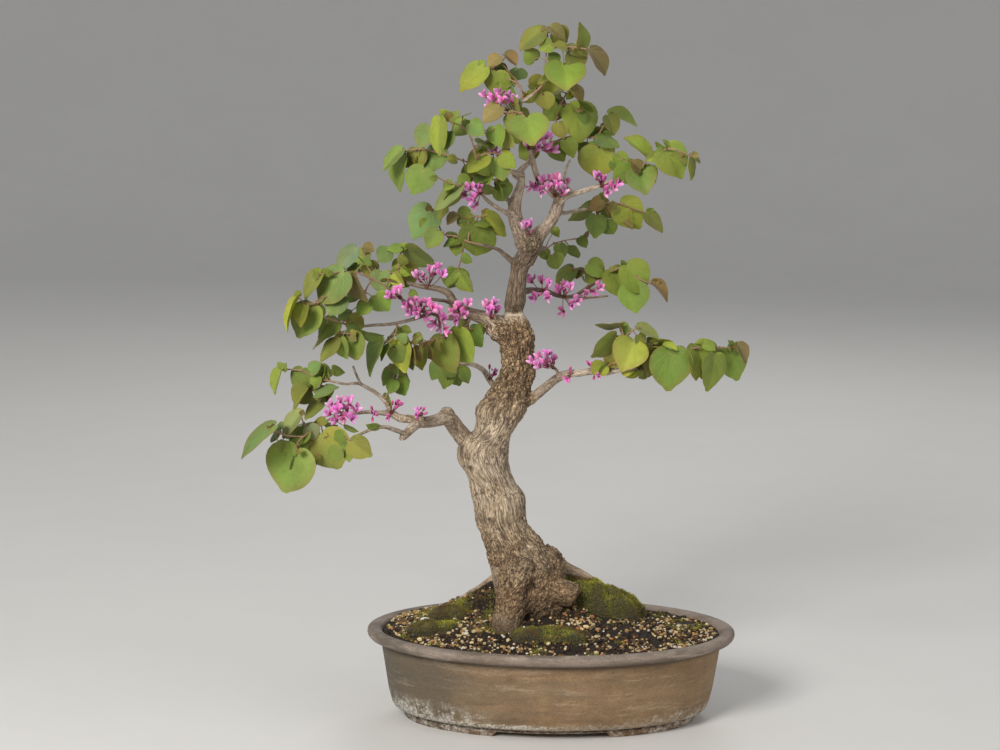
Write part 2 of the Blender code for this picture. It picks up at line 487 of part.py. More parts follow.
def keep_main_body(body):
    """Fills sealed hollows and drops scraps, so that one closed body is left."""
    mesh = bmesh.new()
    mesh.from_mesh(body.data)
    bmesh.ops.triangulate(mesh, faces=mesh.faces)
    islands = []
    waiting = set(mesh.faces)
    while waiting:
        stack = [waiting.pop()]
        island = list(stack)
        while stack:
            face = stack.pop()
            for edge in face.edges:
                for other in edge.link_faces:
                    if other in waiting:
                        waiting.remove(other)
                        stack.append(other)
                        island.append(other)
        islands.append(island)

    def volume(island):
        total = 0.0
        for face in island:
            a, b, c = (v.co for v in face.verts)
            total += a.dot(b.cross(c)) / 6.0
        return total

    islands.sort(key=volume, reverse=True)
    for island in islands[1:]:
        if volume(island) > 1e-9:
            print("loose piece in", body.name, round(volume(island) * 1e9, 2), "mm3")
        bmesh.ops.delete(mesh, geom=island, context="FACES")
    loose = [v for v in mesh.verts if not v.link_faces]
    bmesh.ops.delete(mesh, geom=loose, context="VERTS")
    for face in mesh.faces:
        face.material_index = 0
    mesh.to_mesh(body.data)
    mesh.free()
    own = body.data.materials[0]
    body.data.materials.clear()
    body.data.materials.append(own)


def fuse(name, solids, material, solver="EXACT"):
    """Joins closed solids into one named body."""
    body = make_object(name, *solids[0], material)
    others = [make_object(name + "_part", *solid, material) for solid in solids[1:]]
    if others:
        combine(body, "UNION", others, solver)
    keep_main_body(body)
    return body


def paint(name, colour, roughness):
    material = bpy.data.materials.new(name)
    material.use_nodes = True
    shader = material.node_tree.nodes["Principled BSDF"]
    shader.inputs["Base Color"].default_value = (*colour, 1.0)
    shader.inputs["Roughness"].default_value = roughness
    return material


# Pot: profile as half length along X and height, with the same step in along Y
POT_OUTSIDE = [
    (0.1385, 0.0), (0.1400, 0.0065), (0.1425, 0.0080), (0.1500, 0.0130), (0.1545, 0.0280),
    (0.1622, 0.0745), (0.1650, 0.0758), (0.1725, 0.0780), (0.1750, 0.0825), (0.1735, 0.0862),
    (0.1700, 0.0870),
]
POT_INSIDE = [(0.1650, 0.0870), (0.1615, 0.0848), (0.1560, 0.0700), (0.1500, 0.0300), (0.1400, FLOOR_TOP)]
POT_UNDERSIDE = [(0.1260, FOOT_HEIGHT), (0.1265, 0.0)]
DEPTH_STEP = 0.5 * (RIM_LENGTH - RIM_DEPTH)


def build_pot():
    clay = paint("pot", (0.50, 0.43, 0.35), 0.6)
    rings = []
    for half, z in POT_UNDERSIDE + POT_OUTSIDE + POT_INSIDE:
        rings.append(oval(half, half - DEPTH_STEP, z))
    points, faces = skin(rings)
    pot = make_object("pot", points, faces, clay)
    cutters = []
    for x in (-DRAIN_OFFSET, DRAIN_OFFSET):
        low = Vector((x, 0.0, -0.01))
        high = Vector((x, 0.0, 0.03))
        cutters.append(make_object("drain", *tube([low, high], [DRAIN_RADIUS, DRAIN_RADIUS], 16)))
    half = 0.5 * FOOT_GAP_LENGTH
    wide = half + FOOT_GAP_SLOPE
    lines = [(-wide, -0.001), (wide, -0.001), (half, FOOT_GAP_HEIGHT), (-half, FOOT_GAP_HEIGHT)]
    near = [Vector((x, -0.2, z)) for x, z in lines]
    far = [Vector((x, 0.2, z)) for x, z in lines]
    cutters.append(make_object("foot_gap", *skin([far, near])))
    combine(pot, "DIFFERENCE", cutters)
    keep_main_body(pot)
    return pot


def soil_height(x, y):
    """Height of the soil: a low mound towards the trunk, with a faint roll."""
    r = math.sqrt(((x + 0.015) / 0.150) ** 2 + ((y - 0.004) / 0.100) ** 2)
    rise = max(0.0, 1.0 - r * r) ** 1.1 if r < 1.0 else 0.0
    roll = 0.0009 * math.sin(61.0 * x + 1.0) * math.cos(83.0 * y)
    return SOIL_EDGE + (SOIL_TOP - SOIL_EDGE) * rise + roll


def soil_solid(lift=0.0):
    """The soil without its hole; lift raises its top."""
    rings = []
    for half, z in ((0.1392, FLOOR_TOP + CLEARANCE), (0.1494, 0.0300), (0.1554, 0.0700)):
        rings.append(oval(half, half - DEPTH_STEP, z))
    for share in (1.0, 0.80, 0.60, 0.40, 0.20):
        ring = oval(0.1597 * share, (0.1597 - DEPTH_STEP) * share, 0.0)
        for p in ring:
            p.z = soil_height(p.x, p.y) + lift
        rings.append(ring)
    points, faces = skin(rings)
    split = []
    for face in faces:
        split.extend((face[0], face[k], face[k + 1]) for k in range(1, len(face) - 1))
    return points, split


def trunk_solid(grow=0.0):
    rings = []
    draw = random.Random(SEED)
    for row, left, right, depth in TRUNK:
        a = seen(left, row, depth)
        b = seen(right, row, depth)
        middle = (a + b) * 0.5
        half = 0.5 * (b.x - a.x) + grow
        lumps = [draw.uniform(-0.05, 0.05) for _ in range(2)]
        ring = []
        for i in range(TRUNK_SIDES):
            angle = 2.0 * math.pi * i / TRUNK_SIDES
            lump = lumps[0] * math.sin(2 * angle) + lumps[1] * math.cos(3 * angle)
            x = half * math.cos(angle)
            y = half * TRUNK_ROUNDNESS * math.sin(angle) * (1.0 + abs(math.sin(angle)) * lump)
            ring.append(Vector((middle.x + x, middle.y + y, middle.z)))
        rings.append(ring)
    foot = [Vector((p.x, p.y, TRUNK_FOOT - grow)) for p in rings[0]]
    return skin([foot] + rings)


def sides_for(line):
    widest = max(point[3] for point in line[1:])
    if widest > 15:
        return 8
    if widest > 8:
        return 6
    if widest > 5:
        return 5
    return 4 if widest > 3.9 else 3


def build_wood():
    bark = paint("bark", (0.36, 0.27, 0.19), 0.85)
    solids = [trunk_solid()]
    for line in ROOTS:
        solids.append(along(line, sides=8))
    for line in LIMBS:
        solids.append(along(line, sides=sides_for(line)))
    return fuse("trunk", solids, bark)


def root_mould():
    """A slightly larger trunk foot and roots, to clear their place in soil and moss."""
    mould = make_object("mould", *trunk_solid(CLEARANCE))
    others = [make_object("mould_root", *along(line, grow=CLEARANCE, sides=8)) for line in ROOTS]
    combine(mould, "UNION", others)
    return mould


def build_soil():
    earth = paint("soil", (0.07, 0.05, 0.035), 0.95)
    soil = make_object("soil", *soil_solid(), earth)
    combine(soil, "DIFFERENCE", [root_mould()])
    keep_main_body(soil)
    return soil


# Moss cushions: picture point of the middle, depth, half length, half depth and height in millimetres
MOSS = {
    "moss_mound": [((603, 606, 6), 37, 27, 17)],
    "moss_left": [((452, 612, -8), 19, 14, 5)],
    "moss_front": [((552, 640, -62), 36, 13, 5)],
    "moss_front_left": [((435, 629, -34), 22, 15, 4.5)],
}


def build_moss():
    green = paint("moss", (0.20, 0.26, 0.04), 0.95)
    bodies = []
    for name, cushions in MOSS.items():
        solids = []
        for (px, py, depth), half_length, half_depth, height in cushions:
            middle = seen(px, py, depth)
            base = soil_height(middle.x, middle.y)
            rings = []
            for level in range(3):
                angle = 0.5 * math.pi * level / 2.6
                ring = []
                for i in range(12):
                    turn = 2.0 * math.pi * i / 12
                    wobble = 1.0 + 0.06 * math.sin(3 * turn + len(name)) + 0.04 * math.sin(5 * turn)
                    x = middle.x + half_length * MM * math.cos(angle) * wobble * math.cos(turn)
                    y = middle.y + half_depth * MM * math.cos(angle) * wobble * math.sin(turn)
                    ring.append(Vector((x, y, base + height * MM * math.sin(angle))))
                rings.append(ring)
            bottom = [Vector((p.x, p.y, base - MOSS_ROOT)) for p in rings[0]]
            solids.append(skin([bottom] + rings))
        cushion = fuse(name, solids, green)
        combine(cushion, "DIFFERENCE", [make_object("earth", *soil_solid(CLEARANCE))])
        combine(cushion, "DIFFERENCE", [root_mould()])
        keep_main_body(cushion)
        bodies.append(cushion)
    return bodies


def blade_frame(base, tip, width, outward):
    """Axes of a blade from its stalk point, tip and the width it shows."""
    line = tip - base
    shown = line.length
    toward = (EYE - base).normalized()
    whole = width / BLADE_WIDTH_RATIO
    if whole > shown * 1.02:
        lean = math.sqrt(whole * whole - shown * shown)
        line = line + toward * lean * (1.0 if outward.y < 0.35 else -1.0)
        turn = 0.0
    else:
        turn = math.acos(max(0.12, min(1.0, width / (BLADE_WIDTH_RATIO * shown))))
    along_rib = line.normalized()
    face = (toward - along_rib * toward.dot(along_rib)).normalized()
    across = along_rib.cross(face)
    if across.dot(outward) * face.dot(toward) < 0.0:
        turn = -turn
    face = (Matrix.Rotation(turn, 3, along_rib) @ face).normalized()
    across = along_rib.cross(face)
    return line.length, along_rib, across, face


def blade(base, frame, shape, stalk, grow=0.0):
    """A heart-shaped blade and its stalk as one thin closed plate, folded along the midrib."""
    length, rib, across, face = frame
    half_thickness = 0.5 * BLADE_THICKNESS + grow
    spread = length * BLADE_WIDTH_RATIO
    right = []
    left = []
    for u, v in shape:
        v = max(v, PETIOLE_RADIUS / spread)
        rise = BLADE_FOLD * v * spread
        right.append(base + rib * (u * length) + across * (v * spread + grow) + face * rise)
        left.append(base + rib * (u * length) - across * (v * spread + grow) + face * rise)
    tip = base + rib * (length + grow)
    run = (stalk - base).normalized()
    turn = (-rib).rotation_difference(run)
    side = (turn @ across) * (PETIOLE_RADIUS * 0.85 + grow)
    stalk_face = turn @ face
    outline = [stalk - side, stalk + side]
    if run.dot(rib) > -0.05:
        bend = base - rib * KNEE_LENGTH
        bent = (-rib).rotation_difference((run - rib).normalized())
        knee = (bent @ across) * (PETIOLE_RADIUS * 0.85 + grow)
        outline += [bend + knee] + right + [tip] + list(reversed(left)) + [bend - knee]
        faces_toward = [stalk_face, stalk_face, bent @ face] + [face] * (len(right) * 2 + 1) + [bent @ face]
    else:
        outline += right + [tip] + list(reversed(left))
        faces_toward = [stalk_face, stalk_face] + [face] * (len(right) * 2 + 1)
    count = len(outline)
    points = []
    for sign in (1.0, -1.0):
        for p, toward in zip(outline, faces_toward):
            points.append(p + toward * (sign * half_thickness))
    faces = []
    tip_at = (count + 1) // 2
    notch = tip_at - len(shape)
    top = []
    for k in range(notch):
        left_at = (count - k) % count
        top.append((left_at, k + 1, k + 2))
        top.append((left_at, k + 2, count - 1 - k))
    top = top[:2 * (notch - 1)]
    left_notch = count + 1 - notch
    for k in range(notch + 1, tip_at):
        top.append((notch, k, k + 1))
        top.append((left_notch, count - k, count + 1 - k))
    top.append((left_notch, notch, tip_at))
    for f in top:
        faces.append(f)
        faces.append(tuple(count + i for i in reversed(f)))
    for k in range(count):
        n = (k + 1) % count
        faces.append((k, count + k, count + n, n))
    return points, faces


def stalk_foot(lines, base_x, base_y, tip_x, tip_y):
    """The point of a spray's shoots that a stalk comes from: near in the picture, and behind the blade."""
    rib = Vector((tip_x - base_x, tip_y - base_y)).normalized()
    best = None
    for line in lines:
        for (x0, y0, d0, _), (x1, y1, d1, _) in zip(line, line[1:]):
            for step in range(7):
                share = (step + 0.5) / 7.0
                x = x0 + (x1 - x0) * share
                y = y0 + (y1 - y0) * share
                reach = Vector((x - base_x, y - base_y))
                score = reach.length + 3.5 * max(0.0, reach.dot(rib))
                if best is None or score < best[0]:
                    best = (score, x, y, d0 + (d1 - d0) * share)
    return best[1:]


def tree_of(solid):
    return BVHTree.FromPolygons([tuple(p) for p in solid[0]], solid[1])


def inside_tree(tree, point):
    """True when a point lies inside a closed body: a line out of it leaves an odd number of times."""
    toward = (EYE - point).normalized()
    crossings = 0
    start = point
    while True:
        spot = tree.ray_cast(start, toward)[0]
        if spot is None:
            return crossings % 2 == 1
        crossings += 1
        start = spot + toward * 0.00001


SHIFTS = [0, -5, 5, -10, 10, -15, 15, -20, 20, -26, 26, -32, 32, -40, 40, -48, 48]


def seat(first, wood_tree, shape):
    """The solid whose foot stands just clear of the wood nearest to its first point."""
    spot, normal, _, distance = wood_tree.find_nearest(first)
    if inside_tree(wood_tree, first) or distance < FOOT_STEP:
        away = normal
    else:
        away = (first - spot).normalized()
    for step in range(40):
        foot = spot + away * (CLEARANCE + step * FOOT_STEP)
        if not wood_tree.overlap(tree_of(shape(foot, SEAT_GAP))):
            return shape(foot, 0.0)
    print("foot still meets the wood", first)
    return shape(first, 0.0)


def lay_out_leaves(wood_tree):
    """Finds how far back each leaf hangs so that no spray touches another."""
    placed = []
    shoots = {}
    for name, (lines, _) in SPRAYS.items():
        shoots[name] = []
        for k, line in enumerate(lines):
            if k == 0:
                solid = seat(seen(*line[0][:3]), wood_tree, lambda foot, grow: along(line, grow, 4, foot))
            else:
                solid = along(line, sides=4)
            shoots[name].append(solid)
            placed.append((name, tree_of(solid)))
    leaves = {}
    for name, (lines, rows) in SPRAYS.items():
        leaves[name] = []
        own = []
        for order, (bx, by, tx, ty, width) in enumerate(rows):
            sx, sy, sd = stalk_foot(lines, bx, by, tx, ty)
            best = None
            for shift in SHIFTS:
                lag = -1.0 if (order % 2) else 1.0
                depth = sd + shift + lag * (3.0 + 2.0 * (order % 3))
                base = seen(bx, by, depth)
                tip = seen(tx, ty, depth - 3.0)
                stalk = seen(sx, sy, sd) + Vector((0.00011, 0.00007, -0.00009)) * (order % 5 - 2)
                outward = Vector((base.x + 0.03, sd * MM * 3.0, 0.02)).normalized()
                frame = blade_frame(base, tip, width * px_size(depth), outward)
                if width > 24:
                    shape = BLADE_LARGE
                else:
                    shape = BLADE_SMALL if width > 11 else BLADE_SHORT
                tree = tree_of(blade(base, frame, shape, stalk, LEAF_GAP))
                others = [seen_tree for other, seen_tree in placed if other != name]
                hits = 10 * sum(1 for seen_tree in others if tree.overlap(seen_tree))
                hits += 10 * bool(tree.overlap(wood_tree))
                hits += sum(1 for seen_tree in own if tree.overlap(seen_tree))
                if best is None or hits < best[0]:
                    best = (hits, base, stalk, frame, shape)
                if hits == 0:
                    break
            hits, base, stalk, frame, shape = best
            if hits >= 10:
                print("leaf still meets something:", name, order, hits)
                continue
            solid = blade(base, frame, shape, stalk)
            own.append(tree_of(solid))
            placed.append((name, own[-1]))
            leaves[name].append((base, stalk, frame, shape, solid))
    return shoots, leaves, placed


def build_sprays(wood_tree):
    leaf = paint("leaf", (0.16, 0.25, 0.05), 0.5)
    shoots, leaves, placed = lay_out_leaves(wood_tree)
    bodies = []
    for name in SPRAYS:
        solids = list(shoots[name])
        for leaf_row in leaves[name]:
            solids.append(leaf_row[4])
        bodies.append(fuse(name, solids, leaf, "MANIFOLD"))
    return bodies, placed


# Side view of a floret: forward and upward in floret lengths, from the calyx round the keel and banner
FLORET_OUTLINE = [
    (-0.34, -0.10), (0.10, -0.26), (0.50, -0.16), (0.22, 0.10), (0.30, 0.48), (-0.12, 0.46),
]


def floret(hub, point, side, grow=0.0):
    """One pea-shaped floret with its pedicel, swollen in the middle."""
    out = (point - hub).normalized()
    across = out.cross(side).normalized()
    up = across.cross(out).normalized()
    rim = [hub + out * (0.45 * HUB_RADIUS)]
    for u, v in FLORET_OUTLINE:
        spot = point + (out * u + up * v) * FLORET_LENGTH
        rim.append(spot + (spot - point).normalized() * grow)
    thick = across * (FLORET_HALF_WIDTH + grow)
    points = rim + [point + thick, point - thick]
    count = len(rim)
    faces = []
    for k in range(count):
        n = (k + 1) % count
        faces.append((k, n, count))
        faces.append((n, k, count + 1))
    return points, faces


def build_clusters(wood_tree, placed):
    pink = paint("flower", (0.60, 0.16, 0.36), 0.5)
    bodies = []
    for name, ((ax, ay, depth), spots) in CLUSTERS.items():
        anchor = seen(ax, ay, depth)
        toward = (EYE - anchor).normalized()
        hub = anchor
        for _ in range(120):
            near = wood_tree.find_nearest(hub)[3]
            if near > HUB_RADIUS + CLEARANCE and not inside_tree(wood_tree, hub):
                break
            hub = hub + toward * 2.0 * FOOT_STEP
        top = hub + toward * HUB_HEIGHT
        radii = [HUB_RADIUS * 0.5, HUB_RADIUS, HUB_RADIUS * 0.8]
        solids = [seat(hub, wood_tree, lambda foot, grow: tube([foot, hub, top], radii, 4, grow))]
        hub_depth = hub.y / MM
        own = []
        for order, (fx, fy) in enumerate(spots):
            done = False
            for step in range(48):
                forward = (-6.0, 2.0, -11.0, 7.0, -16.0, 12.0)[(order + step) % 6] - 1.5 * (step % 24 // 6)
                point = seen(fx, fy, hub_depth + forward)
                if (point - hub).length < 0.005:
                    point = hub + (point - hub).normalized() * 0.005
                side = Vector((0.0, 0.0, 1.0))
                test = floret(hub, point, side, 0.0004)
                clear = True
                tree = tree_of(test)
                if step < 24 and any(tree.overlap(seen_tree) for seen_tree in own):
                    clear = False
                if tree.overlap(wood_tree):
                    clear = False
                if any(other != name and tree.overlap(seen_tree) for other, seen_tree in placed):
                    clear = False
                if clear:
                    done = True
                    break
            if not done:
                print("floret left out:", name, order)
                continue
            solids.append(floret(hub, point, side))
            own.append(tree_of(solids[-1]))
        for solid in solids:
            placed.append((name, tree_of(solid)))
        bodies.append(fuse(name, solids, pink, "MANIFOLD"))
    return bodies


def deepened(line):
    """A stem's picture points with their depths in the spread crown."""
    return [(x, y, crown(depth), width) for x, y, depth, width in line]


def spread_crown():
    """Moves limbs, shoots and flower stalks to their depths in the spread crown."""
    for k, line in enumerate(LIMBS):
        LIMBS[k] = deepened(line)
    for name, (lines, rows) in SPRAYS.items():
        SPRAYS[name] = ([deepened(line) for line in lines], rows)
    for name, ((x, y, depth), spots) in CLUSTERS.items():
        CLUSTERS[name] = ((x, y, crown(depth)), spots)


def build_all():
    spread_crown()
    pot = build_pot()
    soil = build_soil()
    moss = build_moss()
    wood = build_wood()
    corners = [v.co for v in wood.data.vertices]
    wood_tree = tree_of((corners, [tuple(face.vertices) for face in wood.data.polygons]))
    sprays, placed = build_sprays(wood_tree)
    clusters = build_clusters(wood_tree, placed)
    bodies = [pot, soil, wood] + moss + sprays + clusters
    low = Vector((1e9, 1e9, 1e9))
    high = Vector((-1e9, -1e9, -1e9))
    for body in bodies:
        for v in body.data.vertices:
            for axis in range(3):
                low[axis] = min(low[axis], v.co[axis])
                high[axis] = max(high[axis], v.co[axis])
    centre = Vector(((low.x + high.x) / 2, (low.y + high.y) / 2, low.z))
    total = 0
    for body in bodies:
        body.data.transform(Matrix.Translation(-centre))
        total += sum(len(p.vertices) - 2 for p in body.data.polygons)
    for body in [pot, soil, wood] + moss:
        body.data.shade_smooth()
        body.data.set_sharp_from_angle(angle=SHARP_ANGLE)
    print("triangles", total, "nodes", len(bodies), "low", low, "high", high)


build_all()
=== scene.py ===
# %% [markdown]
# # A flowering redbud bonsai, dressed around its solids
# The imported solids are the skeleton: a pot, a bed of soil, moss, one grown trunk with its limbs,
# twenty-four leafy sprays and twenty-six bunches of flowers.
# This lesson puts a finer piece over each of them, in the same place and at the same size.

# %% Loading the solids
import json
import math
import random

import bpy
import numpy as np
from mathutils import Matrix, Vector, noise
from mathutils.bvhtree import BVHTree
from mathutils.kdtree import KDTree

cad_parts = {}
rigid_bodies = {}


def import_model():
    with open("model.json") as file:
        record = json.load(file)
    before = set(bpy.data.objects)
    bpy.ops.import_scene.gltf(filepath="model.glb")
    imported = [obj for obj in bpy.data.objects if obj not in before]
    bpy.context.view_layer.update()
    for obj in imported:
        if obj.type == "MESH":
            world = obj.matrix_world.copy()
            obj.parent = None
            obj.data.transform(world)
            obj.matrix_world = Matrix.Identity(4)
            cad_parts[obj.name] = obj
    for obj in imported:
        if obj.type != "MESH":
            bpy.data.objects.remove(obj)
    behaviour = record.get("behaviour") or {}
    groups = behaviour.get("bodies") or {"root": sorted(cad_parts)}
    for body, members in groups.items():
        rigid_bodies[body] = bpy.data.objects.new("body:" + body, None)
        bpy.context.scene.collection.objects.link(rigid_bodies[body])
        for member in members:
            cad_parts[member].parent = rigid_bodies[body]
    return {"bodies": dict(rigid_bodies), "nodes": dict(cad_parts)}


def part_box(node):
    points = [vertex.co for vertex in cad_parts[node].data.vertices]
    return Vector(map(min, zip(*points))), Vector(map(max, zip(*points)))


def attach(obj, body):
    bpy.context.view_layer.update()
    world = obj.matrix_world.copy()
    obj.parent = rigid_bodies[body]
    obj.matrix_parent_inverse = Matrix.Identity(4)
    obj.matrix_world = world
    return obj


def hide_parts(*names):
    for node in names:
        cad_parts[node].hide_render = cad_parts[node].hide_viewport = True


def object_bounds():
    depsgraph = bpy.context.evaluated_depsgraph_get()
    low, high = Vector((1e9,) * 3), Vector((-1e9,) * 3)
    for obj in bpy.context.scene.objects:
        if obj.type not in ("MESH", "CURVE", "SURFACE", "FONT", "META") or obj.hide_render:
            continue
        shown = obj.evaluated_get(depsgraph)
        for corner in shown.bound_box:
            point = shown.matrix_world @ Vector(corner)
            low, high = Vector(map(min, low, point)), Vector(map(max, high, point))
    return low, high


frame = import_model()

bpy.context.view_layer.update()
cad_box = [list(corner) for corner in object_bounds()]
print("solids:", len(frame["nodes"]), "box:", cad_box)

# %% [markdown]
# ## Small habits
# Blender's operators act on whatever is selected, so every step starts from a clean selection.
# A finished piece keeps its place in its mesh, and its object rests at the origin.

# %% Selecting, settling and joining
SEED = 7
MM = 0.001


def select_only(*pieces):
    """Selects these objects alone; the first is the active one."""
    bpy.ops.object.select_all(action="DESELECT")
    for piece in pieces:
        piece.select_set(True)
    bpy.context.view_layer.objects.active = pieces[0]


def settle(piece):
    """Puts an object's place, turn and size into its mesh."""
    select_only(piece)
    bpy.ops.object.transform_apply(location=True, rotation=True, scale=True)
    return piece


def join(name, pieces):
    """Joins several meshes into one named piece."""
    select_only(*pieces)
    bpy.ops.object.join()
    piece = bpy.context.object
    piece.name = name
    piece.data.name = name
    return piece


def modify(piece, kind, **settings):
    """Adds one modifier and applies it."""
    modifier = piece.modifiers.new(kind.title(), kind)
    for key, value in settings.items():
        setattr(modifier, key, value)
    select_only(piece)
    bpy.ops.object.modifier_apply(modifier=modifier.name)
    return piece


def corners(piece):
    """A mesh's points as rows of numbers."""
    spots = np.empty(len(piece.data.vertices) * 3)
    piece.data.vertices.foreach_get("co", spots)
    return spots.reshape(-1, 3)


def reshape(piece, spots):
    """Moves a mesh's points."""
    piece.data.vertices.foreach_set("co", np.asarray(spots).ravel())
    piece.data.update()


def mark(piece, name, values):
    """Stores a number, a direction or a colour for each point of a mesh."""
    values = np.asarray(values, dtype=np.float32)
    kind, key = {1: ("FLOAT", "value"), 3: ("FLOAT_VECTOR", "vector"), 4: ("FLOAT_COLOR", "color")}[
        1 if values.ndim == 1 else values.shape[1]]
    layer = piece.data.attributes.get(name) or piece.data.attributes.new(name, kind, "POINT")
    layer.data.foreach_set(key, values.ravel())


def light(colour):
    """A colour as the eye names it, turned into the linear light Blender mixes."""
    return tuple(channel ** 2.2 for channel in colour[:3]) + (1.0,)


def drop_node(piece, body_slot, *nodes):
    """Hangs a finished piece on the body and lets it stand for its solids."""
    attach(piece, "root")
    if nodes:
        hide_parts(*nodes)


# %% [markdown]
# ## Where the camera stood
# The tree was laid out from one picture: a row and a column of it, with a depth behind the pot's
# long axis, give a point in space. The same four numbers place the camera here.

# %% Sight lines
POT_LOW, POT_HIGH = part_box("pot")
POT_CENTRE = (POT_LOW + POT_HIGH) * 0.5
POT_CENTRE.z = 0.0
RIM_LENGTH = 0.350
RIM_DEPTH = 0.230
POT_HEIGHT = 0.087
LENS_PX = 2400.0
PICTURE_WIDTH = 1000.0
PICTURE_HEIGHT = 750.0
PITCH = math.radians(8.5)
ROLL = math.radians(0.55)
RIM_CENTRE_X = 551.0
RIM_CENTRE_Y = 626.5
AXIS_DISTANCE = 2.289
FORWARD = Vector((0.0, math.cos(PITCH), -math.sin(PITCH)))
UPWARD = Vector((0.0, math.sin(PITCH), math.cos(PITCH)))
RIGHTWARD = Vector((1.0, 0.0, 0.0))


def sight(px, py):
    """Direction of the sight line through a picture point."""
    vx = px - PICTURE_WIDTH / 2.0
    vy = py - PICTURE_HEIGHT / 2.0
    x = vx * math.cos(ROLL) + vy * math.sin(ROLL)
    y = -vx * math.sin(ROLL) + vy * math.cos(ROLL)
    return RIGHTWARD * (x / LENS_PX) - UPWARD * (y / LENS_PX) + FORWARD


EYE = POT_CENTRE + Vector((0.0, 0.0, POT_HEIGHT)) - sight(RIM_CENTRE_X, RIM_CENTRE_Y) * AXIS_DISTANCE


def seen(px, py, depth_mm):
    """The point behind a picture point, depth_mm behind the pot's long axis."""
    ray = sight(px, py)
    return EYE + ray * ((POT_CENTRE.y + depth_mm * MM - EYE.y) / ray.y)


def px_size(depth_mm):
    """Metres to a picture pixel at a depth."""
    return (AXIS_DISTANCE + depth_mm * MM) / LENS_PX


print("eye:", EYE)

# %% [markdown]
# ## The tree's lines
# These are the lines that the solids were drawn from. The trunk is a row of left and right edges;
# every limb, root and shoot is a line with a depth and a thickness.

# %% Trunk, limbs and roots
# Trunk outline in picture pixels: row, left edge, right edge, depth in millimetres
TRUNK = [
    (612, 497, 566, -4), (600, 496, 569, -4), (570, 491, 566, -2), (560, 488.5, 560.5, -2),
    (550, 486, 551, -2), (540, 482, 541, -2), (520, 475.5, 528, -3), (495, 471, 525, -5),
    (483, 469, 516, -5), (472, 464.5, 511.5, -6), (462, 459, 509, -6), (450, 456.5, 509, -6),
    (440, 461, 510, -6), (431, 473, 513.5, -5), (420, 476, 521, -4), (408, 475.5, 527.5, -3),
    (387, 491, 531, -1), (376, 497.5, 536, 0), (364, 501.5, 535, 0), (350, 500.5, 534, 0),
    (338, 498, 535, 0), (326, 500, 531, 0), (315, 503.5, 524, 0), (303, 504, 526, 1),
    (276, 509.5, 527, 3), (262, 511.5, 533, 4), (250, 518, 540, 5),
    (243, 522, 541, 6),
]

